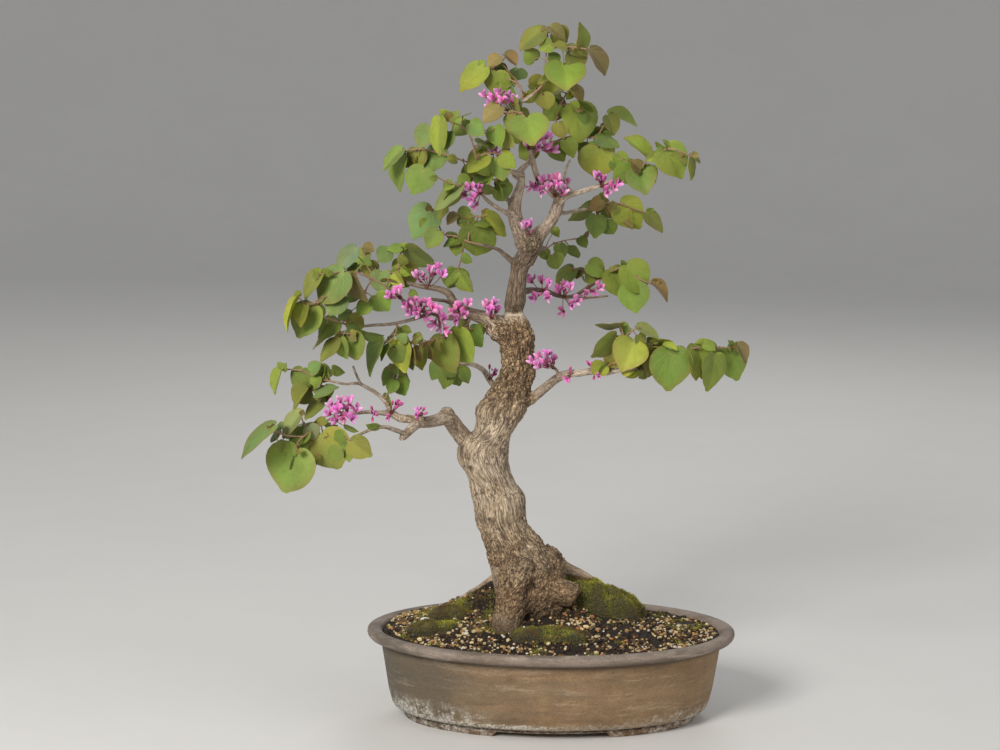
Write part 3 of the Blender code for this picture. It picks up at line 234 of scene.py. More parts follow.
# Limbs and twigs: picture x, y, depth in millimetres, diameter in pixels
LIMBS = [
    [(484, 452, -6, 22), (470, 444, -9, 20), (457, 429, -14, 17.5), (447, 418, -22, 16),
     (438, 420, -28, 13), (428, 422, -34, 12), (417, 422.5, -40, 11), (413, 423, -42, 8)],
    [(450, 423, -20, 13), (446.5, 412, -22, 15), (446, 407.5, -22, 9)],
    [(419, 422, -39, 11), (411, 429, -46, 10), (404, 436, -53, 8.5), (401, 439, -56, 5)],
    [(406, 434, -51, 5.4), (395, 430, -60, 5), (385, 427, -65, 4.4), (375, 428, -70, 3.8),
     (365, 432, -75, 3.2), (353, 437, -80, 2.6)],
    [(420, 422, -38, 10), (410, 419, -38, 9), (400, 418, -36, 8.4), (391, 413.5, -34, 8),
     (380, 413, -34, 4.6), (370, 412, -34, 4), (358, 413, -36, 3.5), (345, 415, -38, 3),
     (331, 418, -40, 2.6)],
    [(421, 424, -40, 6), (421, 413, -42, 4.4)],
    [(391, 414, -34, 6), (388, 406, -33, 5), (383, 399, -32, 4.6), (376, 393, -30, 4.4),
     (366, 387, -28, 4), (358, 383.5, -26, 3.2), (346, 384, -24, 2.7), (334, 382, -22, 2.4)],
    [(361, 385, -27, 3), (356, 374, -27, 2.6), (353, 366, -27, 2.3)],
    [(503, 394, 6, 9), (492, 383, 15, 6.5), (484, 371, 32, 6), (474, 365, 48, 5), (461, 363, 62, 4)],
    [(512, 332, 0, 30), (498, 328, -2, 26), (486, 319, -5, 15.5), (473, 314.5, -8, 12.6),
     (461, 310, -10, 10.5)],
    [(465, 312, -10, 10), (454, 302, -4, 9), (449, 294, 2, 8), (442, 290, 8, 6.6), (433, 288, 14, 6),
     (422, 286.5, 20, 5), (411, 284, 26, 4), (405, 281.5, 30, 3.4)],
    [(458, 307, -9, 6), (447, 301.5, -12, 4), (438, 300, -18, 3.6), (431, 299, -22, 3.2)],
    [(468, 314, -9, 9), (455, 318, -16, 5.6), (443, 317, -22, 4.6), (431, 313, -30, 4.2),
     (416, 309, -40, 3.8), (404, 301, -48, 3.4), (396, 294, -54, 3)],
    [(431, 313.5, -30, 4), (410, 320, -38, 3.6), (391, 324, -44, 3.4), (375, 325, -50, 3.2),
     (360, 326, -56, 3), (345, 324, -60, 2.8)],
    [(513, 406, -2, 15), (527, 401.5, -2, 10.5), (536, 395, -6, 8), (546, 387, -10, 7),
     (556, 379, -16, 6.2), (567, 374, -22, 5.4), (580, 373, -28, 5), (592, 371.5, -33, 4.6),
     (605, 373, -37, 4), (618, 370.5, -40, 3.4), (632, 369, -42, 2.8), (643, 370, -43, 2.4)],
    [(591, 371.5, -32, 3.4), (600, 364.5, -36, 3), (608, 361.5, -40, 2.6), (615, 364, -43, 2.4)],
    [(558, 378, -17, 4), (557, 371, -18, 3.2), (553, 367, -19, 2.6)],
    [(515, 295, 6, 11), (526, 291, 14, 7), (535, 290, 20, 5.6), (546, 291, 26, 5), (556, 295, 32, 4.6),
     (566, 297, 36, 4.2), (576, 295, 40, 3.8), (586, 288.5, 44, 3.4), (594, 284, 48, 3)],
    [(570, 296.5, 38, 3.4), (582, 298, 34, 2.8), (597, 297, 30, 2.4), (608, 296, 28, 2)],
    [(521, 268, 3, 10), (512, 261, 6, 6.5), (505, 255, 12, 5), (498, 249.5, 18, 3.8),
     (488, 246.5, 24, 3.4), (478, 244, 30, 3)],
    [(529, 252, 4, 20), (522, 235, 0, 17.5), (515.5, 219, -5, 15), (514.5, 205, -9, 13.5),
     (518, 193, -12, 10.5), (521.5, 181, -15, 8), (521.5, 172.5, -17, 6.4)],
    [(522, 174, -17, 6), (511, 171.5, -22, 4.6), (503, 168, -26, 3.8), (491, 167, -30, 3.2),
     (480, 164, -34, 2.8)],
    [(515, 217, -6, 8), (505, 212, -13, 5), (495, 206, -20, 4.2), (486, 199, -26, 3.6),
     (480.5, 192, -30, 3)],
    [(514, 204, -9, 6), (503, 197, -6, 3.6), (495, 194, -3, 3), (489, 188, 0, 2.6)],
    [(531, 257, 5, 24), (541, 236, 8, 20), (548.5, 221, 9, 16.5), (555, 209, 9, 14.5),
     (560.5, 198, 9, 11)],
    [(561, 201, 9, 9), (553, 193, 6, 8), (546, 187, 4, 7), (539, 180, 2, 6.2), (535, 170, 0, 5.8),
     (532.5, 159, -2, 5.4), (529, 148, -4, 5), (519, 133, -6, 4.7), (509, 121, -8, 4.5),
     (508, 114, -9, 4.4), (513, 108.5, -9, 4.3), (519, 103.5, -10, 4.2), (526, 99, -11, 3.8),
     (533, 94, -12, 3.2)],
    [(559, 202, 9, 9), (566, 196.5, 6, 6.6), (576, 193, 2, 5.8), (586, 190, -3, 5.2),
     (599, 186, -8, 4.6), (612, 181, -13, 4), (624, 176, -18, 3.4), (635, 173.5, -22, 2.7)],
    [(554, 212, 10, 8), (564, 213, 18, 4.4), (575, 211, 27, 3.6), (589, 208, 38, 3), (598, 205, 44, 2.6)],
    [(573, 194, 4, 4), (565, 182, 0, 3), (566, 170, -5, 2.6), (570, 160, -9, 2.2)],
]

# Where the left limb runs on into the crown
CROWN_LINK = [[(515, 178, 2, 8), (522, 169, 1, 6.5), (529, 161, 1, 5), (533, 150, 2, 4)]]

# Roots: the same four values
ROOTS = [
    [(530, 560, -6, 56), (522, 586, -16, 48), (512, 606, -30, 37), (504, 619, -42, 25),
     (499, 631, -52, 14)],
    [(536, 572, 2, 44), (550, 587, -2, 30), (563, 592, -6, 25), (574, 596.5, -10, 23),
     (578.5, 598, -12, 15)],
    [(543, 560, 4, 36), (562, 568, 14, 16), (580, 574, 22, 10), (597, 584, 26, 8), (606, 592, 27, 6)],
    [(503, 572, 0, 16), (493, 578, 4, 7), (480, 587, 8, 5.4), (468, 594, 11, 5), (457, 601, 13, 4)],
]


# %% [markdown]
# ## Leaves and shoots
# Each leaf is a row: where its stalk meets the blade, where its tip is, how wide it looks, and a
# letter for its colour. The letter D is a darker green painted as shade, for leaves deep in the
# crown; Y is a yellower, brighter green, partly the leaf's own tone and partly painted light.
# Leaves narrower than ten pixels have no solid, and are added here only.

# %% Leafy shoots and their leaves
SPRAYS = {
    "spray_apex": (
        [[(535, 92.5, -12, 3), (543.7, 82.6, -13, 2.4), (546, 72, -13, 2.2), (545.5, 59, -14, 2),
          (548, 42, -16, 1.8), (547, 31, -16, 1.6)],
         [(546, 52, -15, 1.8), (557, 47.5, -20, 1.7), (572, 47, -24, 1.6), (589, 49.5, -28, 1.6)]],
        [(541, 31, 517.6, 50.7, 17, "O"), (551, 28, 566, 42, 11, "T"), (581, 46.5, 580, 20.5, 12, "Y"),
         (590, 50.5, 609, 74.5, 13, "R"), (564, 64.6, 564, 90.7, 37, "G"), (556, 62, 549, 51, 12, "G"),
         (534, 60, 525, 49, 16, "G"), (546, 28, 540, 31, 5, "T"), (566, 48.5, 553, 43, 7, "O"),
         (568, 48, 588, 57, 9, "O"), (547, 74, 541, 81, 6, "Y"), (549, 76, 554, 85, 7, "Y"),
         (545, 79, 538, 85, 6, "O")]),
    "spray_apex_left": (
        [[(522, 97, -7, 2.4), (520, 86, -3, 2.2), (507, 78, 2, 1.9), (497, 72, 6, 1.8), (485, 68, 9, 1.6)]],
        [(518, 69, 517, 81, 22, "B"), (497, 73, 498, 96, 26, "G"), (499, 57, 488, 67, 11, "T"),
         (483, 69, 458.5, 93.5, 20, "Y"), (505, 55, 518, 65, 9, "R"), (495, 66, 488, 73, 6, "R"),
         (500, 68, 505, 76, 6, "R"), (509, 79, 515, 87, 7, "Y")]),
    "spray_crown_heart": (
        [[(508, 121, -14, 2.1), (506, 115, -19, 2), (512, 112, -22, 1.9), (520, 113, -24, 1.8),
          (527, 118, -25, 1.7)]],
        [(499, 107, 482, 123, 16, "T"), (527, 119.3, 531, 146.7, 40, "G"), (514, 112, 508, 120, 7, "O")]),
    "spray_high_left": (
        [[(478.5, 162, -36, 2.5), (475, 153, -40, 2.3), (472, 141, -44, 2.1), (464, 128, -50, 1.9),
          (449, 121, -54, 1.7)],
         [(474, 149, -41, 1.9), (486, 141, -40, 1.7), (500, 134, -38, 1.6)],
         [(476, 156, -39, 1.8), (490, 153, -37, 1.7), (502, 154, -36, 1.6)]],
        [(440, 120, 437, 157.5, 15, "Y"), (449, 133, 446, 150, 12, "B"), (466, 121, 454, 137, 16, "G"),
         (471, 124, 485, 136, 17, "B"), (495, 128, 499, 149.5, 17, "D"), (504, 137, 515, 147, 13, "O"),
         (486, 156, 465, 171, 17, "Y"), (503, 155, 515, 170, 15, "Y"), (450, 117, 439, 110, 9, "Y"),
         (451.5, 121, 459.5, 109.5, 7, "G"), (490, 141, 494, 151, 7, "D")]),
    "spray_high_left_end": (
        [[(478, 165, -32, 2.4), (464, 161, -24, 2.2), (450, 156, -16, 2), (435, 152, -8, 1.9),
          (420, 149, 0, 1.8), (405, 151, 6, 1.6)]],
        [(428, 128, 417, 149, 19, "B"), (401, 151, 381, 172, 12, "B"), (402, 157, 396.7, 194.5, 16, "G"),
         (424, 170, 413, 197, 28, "D"), (416.3, 149, 418, 171.5, 17, "O"), (441, 150, 427.5, 175, 20, "B"),
         (404, 150, 411.5, 169, 8, "T"), (456, 160, 446, 160, 8, "O")]),
    "spray_left_upper": (
        [[(479, 190, -31, 2.2), (472, 187, -33, 2), (460, 185, -38, 1.8), (446, 182, -43, 1.6),
          (439, 178, -46, 1.5)],
         [(478, 189, -31, 1.8), (487, 181, -28, 1.7), (497, 179, -26, 1.6)]],
        [(460, 187, 433, 211, 13, "L"), (452, 183, 443, 190, 9, "D"), (490, 180, 465, 183, 8, "D"),
         (497, 180, 506, 187, 9, "D"), (480, 184, 497, 194, 9, "G"), (499, 179, 510, 184, 8, "D"),
         (486, 181, 494, 172, 7, "G")]),
    "spray_crown_right": (
        [[(535, 153.5, 0, 3), (541, 148, 4, 2.8), (550, 144, 9, 2.7), (568, 137, 19, 2.3),
          (580, 135.5, 22, 2), (594, 137, 24, 1.9), (603, 128, 25, 1.7), (609, 117, 27, 1.5)],
         [(549, 144.5, 9, 2.4), (553, 133, 12, 2.3), (557, 118, 16, 2.2), (561, 104, 20, 2),
          (570, 88, 26, 1.8)],
         [(560.5, 106, 19, 1.8), (569, 104, 18, 1.7), (576, 106, 16, 1.6)],
         [(592, 137, 23.5, 1.8), (597, 143, 21, 1.7), (598.7, 149, 19, 1.6)]],
        [(569.5, 88, 583.5, 102, 10, "T"), (559, 88, 534, 97, 12, "O"), (556, 104, 541, 108, 10, "B"),
         (557, 106, 545, 123, 20, "G"), (576, 107, 584, 144, 29, "G"), (608, 117, 615.5, 136, 13, "O"),
         (610, 115.5, 639.5, 126, 11, "Y"), (597, 139, 621, 147, 11, "D"), (605, 125, 609, 141, 11, "D"),
         (598.7, 149.6, 593, 180, 37, "Y"), (580, 137, 567, 146, 10, "D"), (566, 141, 575, 158.5, 15, "G"),
         (550, 147, 566, 161, 15, "D"), (558, 124, 564, 139, 14, "O"), (577, 108, 570, 101, 6, "Y"),
         (571, 92, 566, 100, 7, "Y"), (588, 137, 594, 127, 8, "G")]),
    "spray_right_upper": (
        [[(637, 172.5, -23, 2.2), (641, 168, -25, 2.1), (646, 162, -27, 2), (656, 154, -30, 1.9),
          (668, 149, -33, 1.8), (680, 151, -35, 1.7), (691, 156, -37, 1.6)],
         [(641, 168, -25, 1.7), (630, 164, -20, 1.6), (618, 157, -15, 1.5)]],
        [(617, 155, 627.5, 169, 13, "Y"), (613, 162, 626, 174, 13, "D"), (640, 169.6, 646.7, 195.4, 31, "D"),
         (640, 169, 630, 161, 12, "R"), (646, 156, 623, 137, 12, "Y"), (655, 155, 646, 162, 12, "Y"),
         (666, 149, 684.6, 180.4, 30, "Y"), (668, 148, 662.5, 139, 5, "G"), (691, 160, 692, 182, 7, "O"),
         (690.5, 155, 702, 163, 5, "O")]),
    "spray_right_middle": (
        [[(600, 204.5, 45, 2.3), (607, 203, 46, 2.1), (621, 204, 48, 1.9), (634, 209, 48, 1.7),
          (646, 213, 48, 1.6)]],
        [(621, 204.5, 642.5, 230, 30, "Y"), (647, 214, 665, 233, 13, "O"), (598, 198, 596, 216, 10, "R"),
         (596, 217, 594, 240, 19, "D"), (606, 222, 613, 235.5, 18, "D"), (590, 204, 567, 222, 12, "G"),
         (600, 200, 588, 211, 13, "R"), (607, 204, 609, 217.5, 9, "T"), (613, 203, 608, 213, 7, "T"),
         (625, 223, 633, 230, 6, "T")]),
    "spray_left_middle": (
        [[(475.5, 243.5, 31, 2.6), (466, 241, 34, 2.4), (455, 236, 38, 2.2), (443, 233.5, 42, 2),
          (438, 222, 44, 1.8), (432, 212, 46, 1.7)],
         [(468, 242, 33, 2), (469, 233, 33, 1.9), (470, 219, 34, 1.8), (484, 216, 32, 1.7)],
         [(464, 241, 35, 2), (462, 256, 38, 1.8), (458, 269, 40, 1.7)]],
        [(431, 211, 411, 241, 29, "B"), (437, 232, 425, 249, 18, "G"), (468, 218, 456, 212, 14, "B"),
         (487, 215, 507.5, 237.5, 16, "Y"), (480, 228, 473, 258, 36, "D"), (461, 274, 473.5, 293.5, 14, "Y"),
         (455, 270, 447, 288, 13, "D"), (430, 210, 427, 204, 6, "R"), (445, 208, 437, 220, 9, "O"),
         (456, 215, 446, 225, 9, "T"), (487, 224, 473, 225, 7, "D"), (460, 240, 442, 246, 9, "D"),
         (463, 256, 471, 264, 8, "G")]),
    "spray_left_pad": (
        [[(402.5, 280, 31, 2.8), (398, 272, 33, 2.5), (400, 262, 35, 2.2), (401, 250, 37, 2)],
         [(398, 273, 33, 2.3), (386, 272, 36, 2.1), (375, 270.6, 38, 2), (368.5, 260, 40, 1.8),
          (362.7, 253, 42, 1.7)]],
        [(408, 250, 438, 267.5, 15, "G"), (388, 250, 378, 262, 18, "B"), (400, 280, 390, 292, 11, "G"),
         (381, 273, 379, 295, 23, "B"), (366, 254, 348, 272, 15, "G"), (396, 274, 404, 288, 10, "Y"),
         (364, 247, 375, 250, 9, "R"), (400, 248, 386, 250, 9, "G"), (409, 281, 400, 288, 8, "B"),
         (411, 292, 418, 300, 8, "G"), (402, 250, 409, 243, 7, "Y"), (399, 258, 409, 264, 8, "O"),
         (401, 262, 391, 268, 8, "Y"), (403, 268, 412, 275, 8, "Y"), (390, 272, 384, 282, 8, "O"),
         (370, 262, 360, 262, 8, "G")]),
    "spray_left_far": (
        [[(394, 292.5, -55, 2.6), (385, 286, -58, 2.4), (372, 279, -62, 2.2), (357, 273, -66, 2),
          (343, 272, -70, 1.9), (320, 274, -75, 1.7)],
         [(345, 272.5, -69, 1.8), (337, 285, -72, 1.7), (324, 298, -75, 1.6), (308, 304, -77, 1.6),
          (299, 298, -78, 1.5)],
         [(372, 280, -62, 1.9), (366, 290, -61, 1.8), (366, 302, -60, 1.7)]],
        [(355, 249, 334.5, 271, 15, "L"), (343, 274, 317, 305, 27, "B"), (320, 274, 302.5, 300, 13, "O"),
         (341, 296, 328, 316, 20, "B"), (312, 308, 296, 340, 29, "G"), (306, 307, 301, 329, 14, "Y"),
         (320, 310, 315, 324, 10, "T"), (352, 276, 366, 305.7, 15, "R"), (360, 290, 348, 303, 12, "D"),
         (368, 303, 357, 317, 14, "G"), (357, 266, 346, 282, 9, "G"), (299, 298, 282.5, 332, 5, "Y"),
         (351, 313, 336, 319, 9, "D"), (330, 275, 322, 268, 7, "G")]),
    "spray_left_low": (
        [[(343, 323.5, -61, 2.5), (335, 321, -62, 2.2), (323, 317, -64, 1.8)],
         [(341, 323, -61, 2), (340, 331, -63, 1.8), (350, 334, -66, 1.7)]],
        [(336, 322, 318, 341, 18, "D"), (336, 342, 318.5, 361.5, 12, "O"), (353, 334, 356, 362, 20, "G"),
         (341, 340, 346, 361, 13, "G"), (336, 331.5, 309.5, 348.5, 7, "O"), (338, 334, 352, 336, 5, "T"),
         (380, 336, 354, 331, 8, "D")]),
    "spray_left_hanging": (
        [[(397, 325.5, -43, 2.1), (395, 334, -46, 1.9), (390, 341, -48, 1.8), (381, 341, -50, 1.6)],
         [(395, 333, -46, 1.8), (402, 339, -46, 1.7), (411, 343, -45, 1.6)]],
        [(401, 343, 403, 375.5, 21, "Y"), (401, 341, 406, 333, 10, "B"), (381, 342, 367.5, 379, 14, "G"),
         (408, 350, 409, 366.5, 8, "T"), (413, 350, 416, 366, 7, "T"), (419, 347, 420, 364, 9, "T"),
         (391, 346, 379, 361, 6, "G"), (420, 335, 412, 341, 8, "O"), (404, 328, 412, 333, 7, "D"),
         (412, 362, 413, 371, 6, "D")]),
    "spray_left_inner": (
        [[(469, 322.5, -11, 2.3), (461, 328, -16, 2.1), (448, 335, -20, 1.9), (432, 340, -26, 1.8),
          (420, 343, -28, 1.6)],
         [(463, 327, -15, 1.8), (467, 328, -14, 1.7), (472, 329, -12, 1.6)]],
        # The two largest leaves here take Y, the brighter green, as painted light on blades that face away from the
        # lamp.
        [(427, 344, 432, 362, 11, "T"), (424, 350, 422, 371.5, 13, "Y"), (445, 338, 451.5, 376.5, 28, "Y"),
         (453, 333, 471.5, 365, 27, "Y"), (471, 329, 484, 347.5, 18, "D"), (434, 340, 440, 352, 8, "O")]),
    "spray_left_back": (
        [[(459, 363, 64, 2.2), (450, 366, 70, 1.9), (442, 364, 76, 1.8)]],
        [(450, 369, 441.5, 390, 17, "D"), (463, 369, 470, 384, 12, "D"), (442, 364, 430, 380, 14, "D")]),
    "spray_low_left_far": (
        [[(332, 381.5, -22, 2.2), (322, 379.5, -20, 2), (313, 376, -18, 1.8), (302, 371, -14, 1.7),
          (284, 369, -10, 1.6)],
         [(323, 380, -20, 1.8), (320, 388, -21, 1.7), (320, 394, -22, 1.6)]],
        [(303, 370, 297, 394.5, 18, "D"), (311, 371, 321, 362, 11, "B"), (318, 372, 330, 383, 15, "G"),
         (318, 378, 312.5, 391.5, 10, "G"), (327, 398, 303, 421, 13, "O"), (317, 394, 340, 387, 10, "B"),
         (282, 370, 272.5, 396, 9, "Y"), (284, 370, 285.5, 362, 6, "G"), (333, 369, 345, 374.5, 9, "D"),
         (309, 388, 291, 415, 7, "O")]),
    "spray_low_left_upright": (
        [[(386, 397.5, -33, 2.1), (389, 390, -32, 1.9), (393, 380, -31, 1.8), (394, 371, -30, 1.6)]],
        [(398, 380, 407, 396, 18, "D"), (394, 381, 389, 394, 11, "D"), (393, 370, 381, 386, 13, "D"),
         (394, 371, 399, 362, 8, "G")]),
    "spray_low_left": (
        [[(328.5, 419, -41, 2.5), (321, 425, -46, 2.3), (312, 431, -52, 2.1), (303, 437, -58, 1.9),
          (297, 444, -63, 1.8), (297, 450, -66, 1.7)],
         [(304, 436.5, -57, 1.9), (290, 436, -62, 1.8), (279, 433, -66, 1.7), (273, 428.5, -69, 1.6)],
         [(313, 430, -51, 1.9), (306, 427, -52, 1.7), (301, 416, -53, 1.6)],
         [(321, 425, -46, 1.9), (323, 434, -49, 1.7)]],
        [(301, 415, 280, 439, 14, "L"), (273, 428, 237, 457, 13, "B"), (297, 451, 278, 493, 46, "G"),
         (323, 435, 340, 471, 40, "O"), (307, 431, 288, 446, 14, "D"), (318, 424, 291, 432, 7, "B"),
         (319, 456, 314, 468, 6, "O"), (325, 420, 314, 425, 8, "O"), (326, 424, 339, 426, 6, "D"),
         (346, 426, 360, 432, 5, "G")]),
    "spray_low_left_front": (
        [[(351, 438, -81, 2.2), (349, 444, -84, 1.9)]],
        [(350, 446, 348, 463, 10, "G"), (353, 442, 373, 458, 22, "O"), (378, 427, 365, 425, 7, "D")]),
    "spray_right_low_inner": (
        [[(616, 362, -45, 2.2), (621, 354, -48, 2), (625, 344, -50, 1.9), (623.6, 335, -52, 1.8),
          (620, 326, -54, 1.7)],
         [(624, 337, -52, 1.8), (632, 331, -54, 1.7), (639, 327.5, -56, 1.6)]],
        [(615, 337, 591.5, 361, 17, "G"), (633.3, 343.5, 620.4, 372.3, 37, "Y"), (639, 327, 662, 340, 10, "O"),
         (620, 325, 593.5, 327.5, 6, "O")]),
    "spray_right_low": (
        [[(645, 369.5, -43, 2.4), (653, 364, -45, 2.3), (664, 357, -47, 2.2), (677, 352.5, -48, 2.1),
          (690, 349, -47, 2), (704, 347, -44, 1.9), (718, 348, -40, 1.8), (733, 347.5, -36, 1.6)],
         [(655, 363, -45, 1.8), (652.5, 352, -46, 1.7), (652, 344, -47, 1.6)]],
        [(655, 350, 650, 380, 20, "O"), (670, 352, 670, 394.5, 41, "D"), (668, 356, 671, 380.5, 11, "T"),
         (676, 355, 674, 378, 10, "T"), (696, 347, 711, 384.5, 28, "Y"), (714, 357, 708.5, 394.5, 21, "G"),
         (727, 350, 741.5, 387, 31, "D"), (737, 346, 750, 370, 13, "R"), (652, 343, 674, 343, 9, "O"),
         (684, 355, 685, 372, 9, "T"), (681, 354, 680, 345, 6, "Y"), (664, 346, 678, 351, 6, "Y"),
         (705, 344, 716, 350, 9, "G"), (694, 367, 697, 381.5, 9, "O"), (733, 349, 729, 339, 5, "G"),
         (646, 373, 638, 378, 8, "O"), (671, 355, 671, 379, 9.9, "R"), (686, 357, 690, 375, 9, "T")]),
    "spray_right_centre": (
        [[(596, 283, 49, 2.5), (601, 279, 50, 2.3), (612, 271, 50, 2), (624, 268, 48, 1.9),
          (634, 276, 46, 1.8), (651, 284, 46, 1.6)],
         [(597, 282, 49, 2), (590, 274, 53, 1.8), (582, 270, 56, 1.7), (573, 269, 58, 1.6)]],
        [(573, 269, 555, 287.5, 14, "D"), (589, 265, 606, 276, 16, "G"), (612, 272, 627.5, 300, 25, "G"),
         (627, 267, 646.5, 293.5, 26, "Y"), (632, 286, 635.8, 315.5, 32, "G"), (610, 270, 620, 268, 5, "O"),
         (652, 284, 668.5, 303.5, 8, "R"), (624, 268, 621, 260, 5, "G"), (585, 271, 575, 279, 7, "T")]),
    "spray_centre_back": (
        [[(545, 248.5, 22, 2), (553, 244, 32, 1.9), (562, 241, 40, 1.8), (582, 238, 54, 1.6)]],
        [(543, 250, 547, 260, 11, "G"), (559, 245, 563.5, 260, 11, "D"), (552, 230, 560, 237, 8, "Y"),
         (580, 238, 588, 247, 9, "D")]),
}
SMALLEST_SOLID_LEAF = 10

# %% [markdown]
# ## Flower bunches
# Redbud flowers break straight out of old wood. A bunch is the point of wood it breaks from,
# then the place of every floret in the picture.

# %% Flower bunches
CLUSTERS = {
    "flowers_low_left": ((346, 415, -38), [
        (331, 405), (340, 401), (350, 401), (328, 414), (337, 411), (347, 409), (357, 409),
        (335, 421), (344, 420), (353, 420)]),
    "flowers_low_left_twig": ((373, 412, -34), [(371, 406), (375, 416), (372, 423)]),
    "flowers_low_left_fork": ((391, 411, -34), [(393, 398), (403, 400), (397, 404), (387, 421)]),
    "flowers_low_left_spur": ((421, 415, -42), [(425, 407), (416, 409), (426, 414), (415, 417)]),
    "flowers_left_pad": ((424, 311, -35), [
        (406, 306), (413, 302), (420, 303), (428, 303), (433, 309), (410, 313), (418, 315), (426, 318)]),
    "flowers_left_limb": ((440, 316, -24), [(433, 325), (438, 311), (444, 320), (440, 329), (446, 331)]),
    "flowers_left_crotch": ((460, 311, -10), [(453, 312), (458, 306), (464, 315), (457, 321), (469, 304)]),
    "flowers_left_axil": ((492, 317, -6), [(486, 305), (494, 303), (489, 312), (497, 310)]),
    "flowers_left_top": ((425, 287, 19), [(416, 275), (423, 276), (431, 270), (438, 267), (443, 275)]),
    "flowers_left_edge": ((401, 299, -50), [(380, 300), (389, 296), (399, 291)]),
    "flowers_left_buds": ((362, 326, -55), [(354, 315), (363, 319)]),
    "flowers_apex": ((510, 111, -9), [
        (484, 95), (492, 98), (490, 105), (498, 93), (501, 101), (508, 96), (514, 100)]),
    "flowers_high_left": ((502, 168, -26), [(491, 151), (498, 155), (509, 167)]),
    "flowers_upper_left": ((482, 194, -29), [(477, 189), (468, 188), (472, 201), (476, 206), (463, 195)]),
    "flowers_leader": ((538, 179, 2), [(530, 188), (537, 187), (541, 192)]),
    "flowers_crown": ((529, 148, -4), [
        (526, 143), (533, 138), (540, 136), (548, 136), (538, 148), (546, 147), (554, 150)]),
    "flowers_fork": ((556, 196, 6), [
        (543, 180), (550, 178), (558, 178), (567, 182), (548, 188), (557, 186), (564, 191)]),
    "flowers_right_upper": ((600, 186, -8), [(596, 176), (603, 179), (606, 193), (614, 188), (619, 183)]),
    "flowers_centre": ((529, 237, 0), [(524, 226), (530, 224)]),
    "flowers_right_back": ((545, 291, 26), [(530, 280), (541, 280), (549, 285), (534, 299), (548, 299)]),
    "flowers_right_branch": ((566, 297, 36), [
        (558, 290), (564, 284), (571, 288), (577, 302), (571, 306), (563, 313)]),
    "flowers_right_end": ((590, 286, 46), [(585, 296), (594, 293), (600, 288)]),
    "flowers_right_low_twig": ((554, 368, -19), [
        (532, 361), (539, 356), (546, 355), (553, 360), (538, 366), (546, 365)]),
    "flowers_right_low": ((594, 372, -33), [(596, 362), (588, 361), (593, 380), (600, 379)]),
    "flowers_right_low_start": ((568, 374, -22), [(570, 366), (567, 381)]),
    "flowers_back": ((488, 377, 24), [(489, 361), (497, 368), (492, 373)]),
}

# %% [markdown]
# ## The same layout as the solids
# The picture says nothing about depth, so the solids were laid out by a rule: a leaf takes the
# nearest depth at which its flat blade touches no other spray and no wood. The rule is run again
# here on the same thin test shapes, so that every fine leaf lands on its solid.

# %% Test shapes of stems, blades and florets
CROWN_SPREAD = 1.75
CLEARANCE = 0.0004
FOOT_REACH = 0.003
FOOT_STEP = 0.0001
SEAT_GAP = 0.0003
LEAF_GAP = 0.00045
THINNEST_STEM = 0.0009
BLADE_THICKNESS = 0.0007
BLADE_WIDTH_RATIO = 1.1
BLADE_FOLD = 0.10
PETIOLE_RADIUS = 0.0005
KNEE_LENGTH = 0.0016
FLORET_LENGTH = 0.0105
FLORET_HALF_WIDTH = 0.0021
HUB_RADIUS = 0.0024
HUB_HEIGHT = 0.0018
BLADE_LARGE = [(0.0, 0.02), (-0.11, 0.27), (0.22, 0.50), (0.66, 0.31)]
BLADE_SMALL = [(0.0, 0.02), (-0.07, 0.36), (0.46, 0.45)]
BLADE_SHORT = [(0.0, 0.02), (0.24, 0.50)]
FLORET_OUTLINE = [
    (-0.34, -0.10), (0.10, -0.26), (0.50, -0.16), (0.22, 0.10), (0.30, 0.48), (-0.12, 0.46),
]
SHIFTS = [0, -5, 5, -10, 10, -15, 15, -20, 20, -26, 26, -32, 32, -40, 40, -48, 48]


def deepened(line):
    """A stem's picture points with their depths in the spread crown."""
    spread = []
    for x, y, depth, width in line:
        extra = max(0.0, abs(depth) - 8.0) * (CROWN_SPREAD - 1.0)
        spread.append((x, y, depth + math.copysign(extra, depth), width))
    return spread


LIMBS = [deepened(line) for line in LIMBS]
SPRAYS = {name: ([deepened(line) for line in lines], rows) for name, (lines, rows) in SPRAYS.items()}
CLUSTERS = {name: (deepened([(*anchor, 0)])[0][:3], spots) for name, (anchor, spots) in CLUSTERS.items()}


def tree_of(solid):
    """A search tree of a test shape's faces."""
    return BVHTree.FromPolygons([tuple(p) for p in solid[0]], solid[1])


def tube(centres, radii, sides, grow=0.0):
    """Test shape of a stem."""
    rings = []
    heading = (centres[1] - centres[0]).normalized()
    side = heading.orthogonal().normalized()
    for k, centre in enumerate(centres):
        before = centres[max(k - 1, 0)]
        after = centres[min(k + 1, len(centres) - 1)]
        heading = (after - before).normalized()
        side = (side - heading * side.dot(heading)).normalized()
        other = heading.cross(side)
        ring = []
        for i in range(sides):
            angle = 2.0 * math.pi * i / sides
            ring.append(centre + (side * math.cos(angle) + other * math.sin(angle)) * (radii[k] + grow))
        rings.append(ring)
    if grow:
        shift = (centres[0] - centres[1]).normalized() * grow
        rings[0] = [p + shift for p in rings[0]]
        shift = (centres[-1] - centres[-2]).normalized() * grow
        rings[-1] = [p + shift for p in rings[-1]]
    points = [p for ring in rings for p in ring]
    faces = []
    for j in range(len(rings) - 1):
        for i in range(sides):
            a = j * sides + i
            b = j * sides + (i + 1) % sides
            faces.append((a, b, b + sides, a + sides))
    faces.append(tuple(reversed(range(sides))))
    faces.append(tuple(range(len(points) - sides, len(points))))
    return points, faces


def stem_points(line, foot=None):
    """Centres and radii of a stem through picture points, from a foot if one is given."""
    centres = [seen(x, y, depth) for x, y, depth, _ in line]
    radii = [0.5 * width * px_size(depth) for _, _, depth, width in line]
    if foot is not None and (centres[0] - foot).length < FOOT_REACH:
        centres[0] = foot
    elif foot is not None:
        centres.insert(0, foot)
        radii.insert(0, radii[0])
    return centres, radii


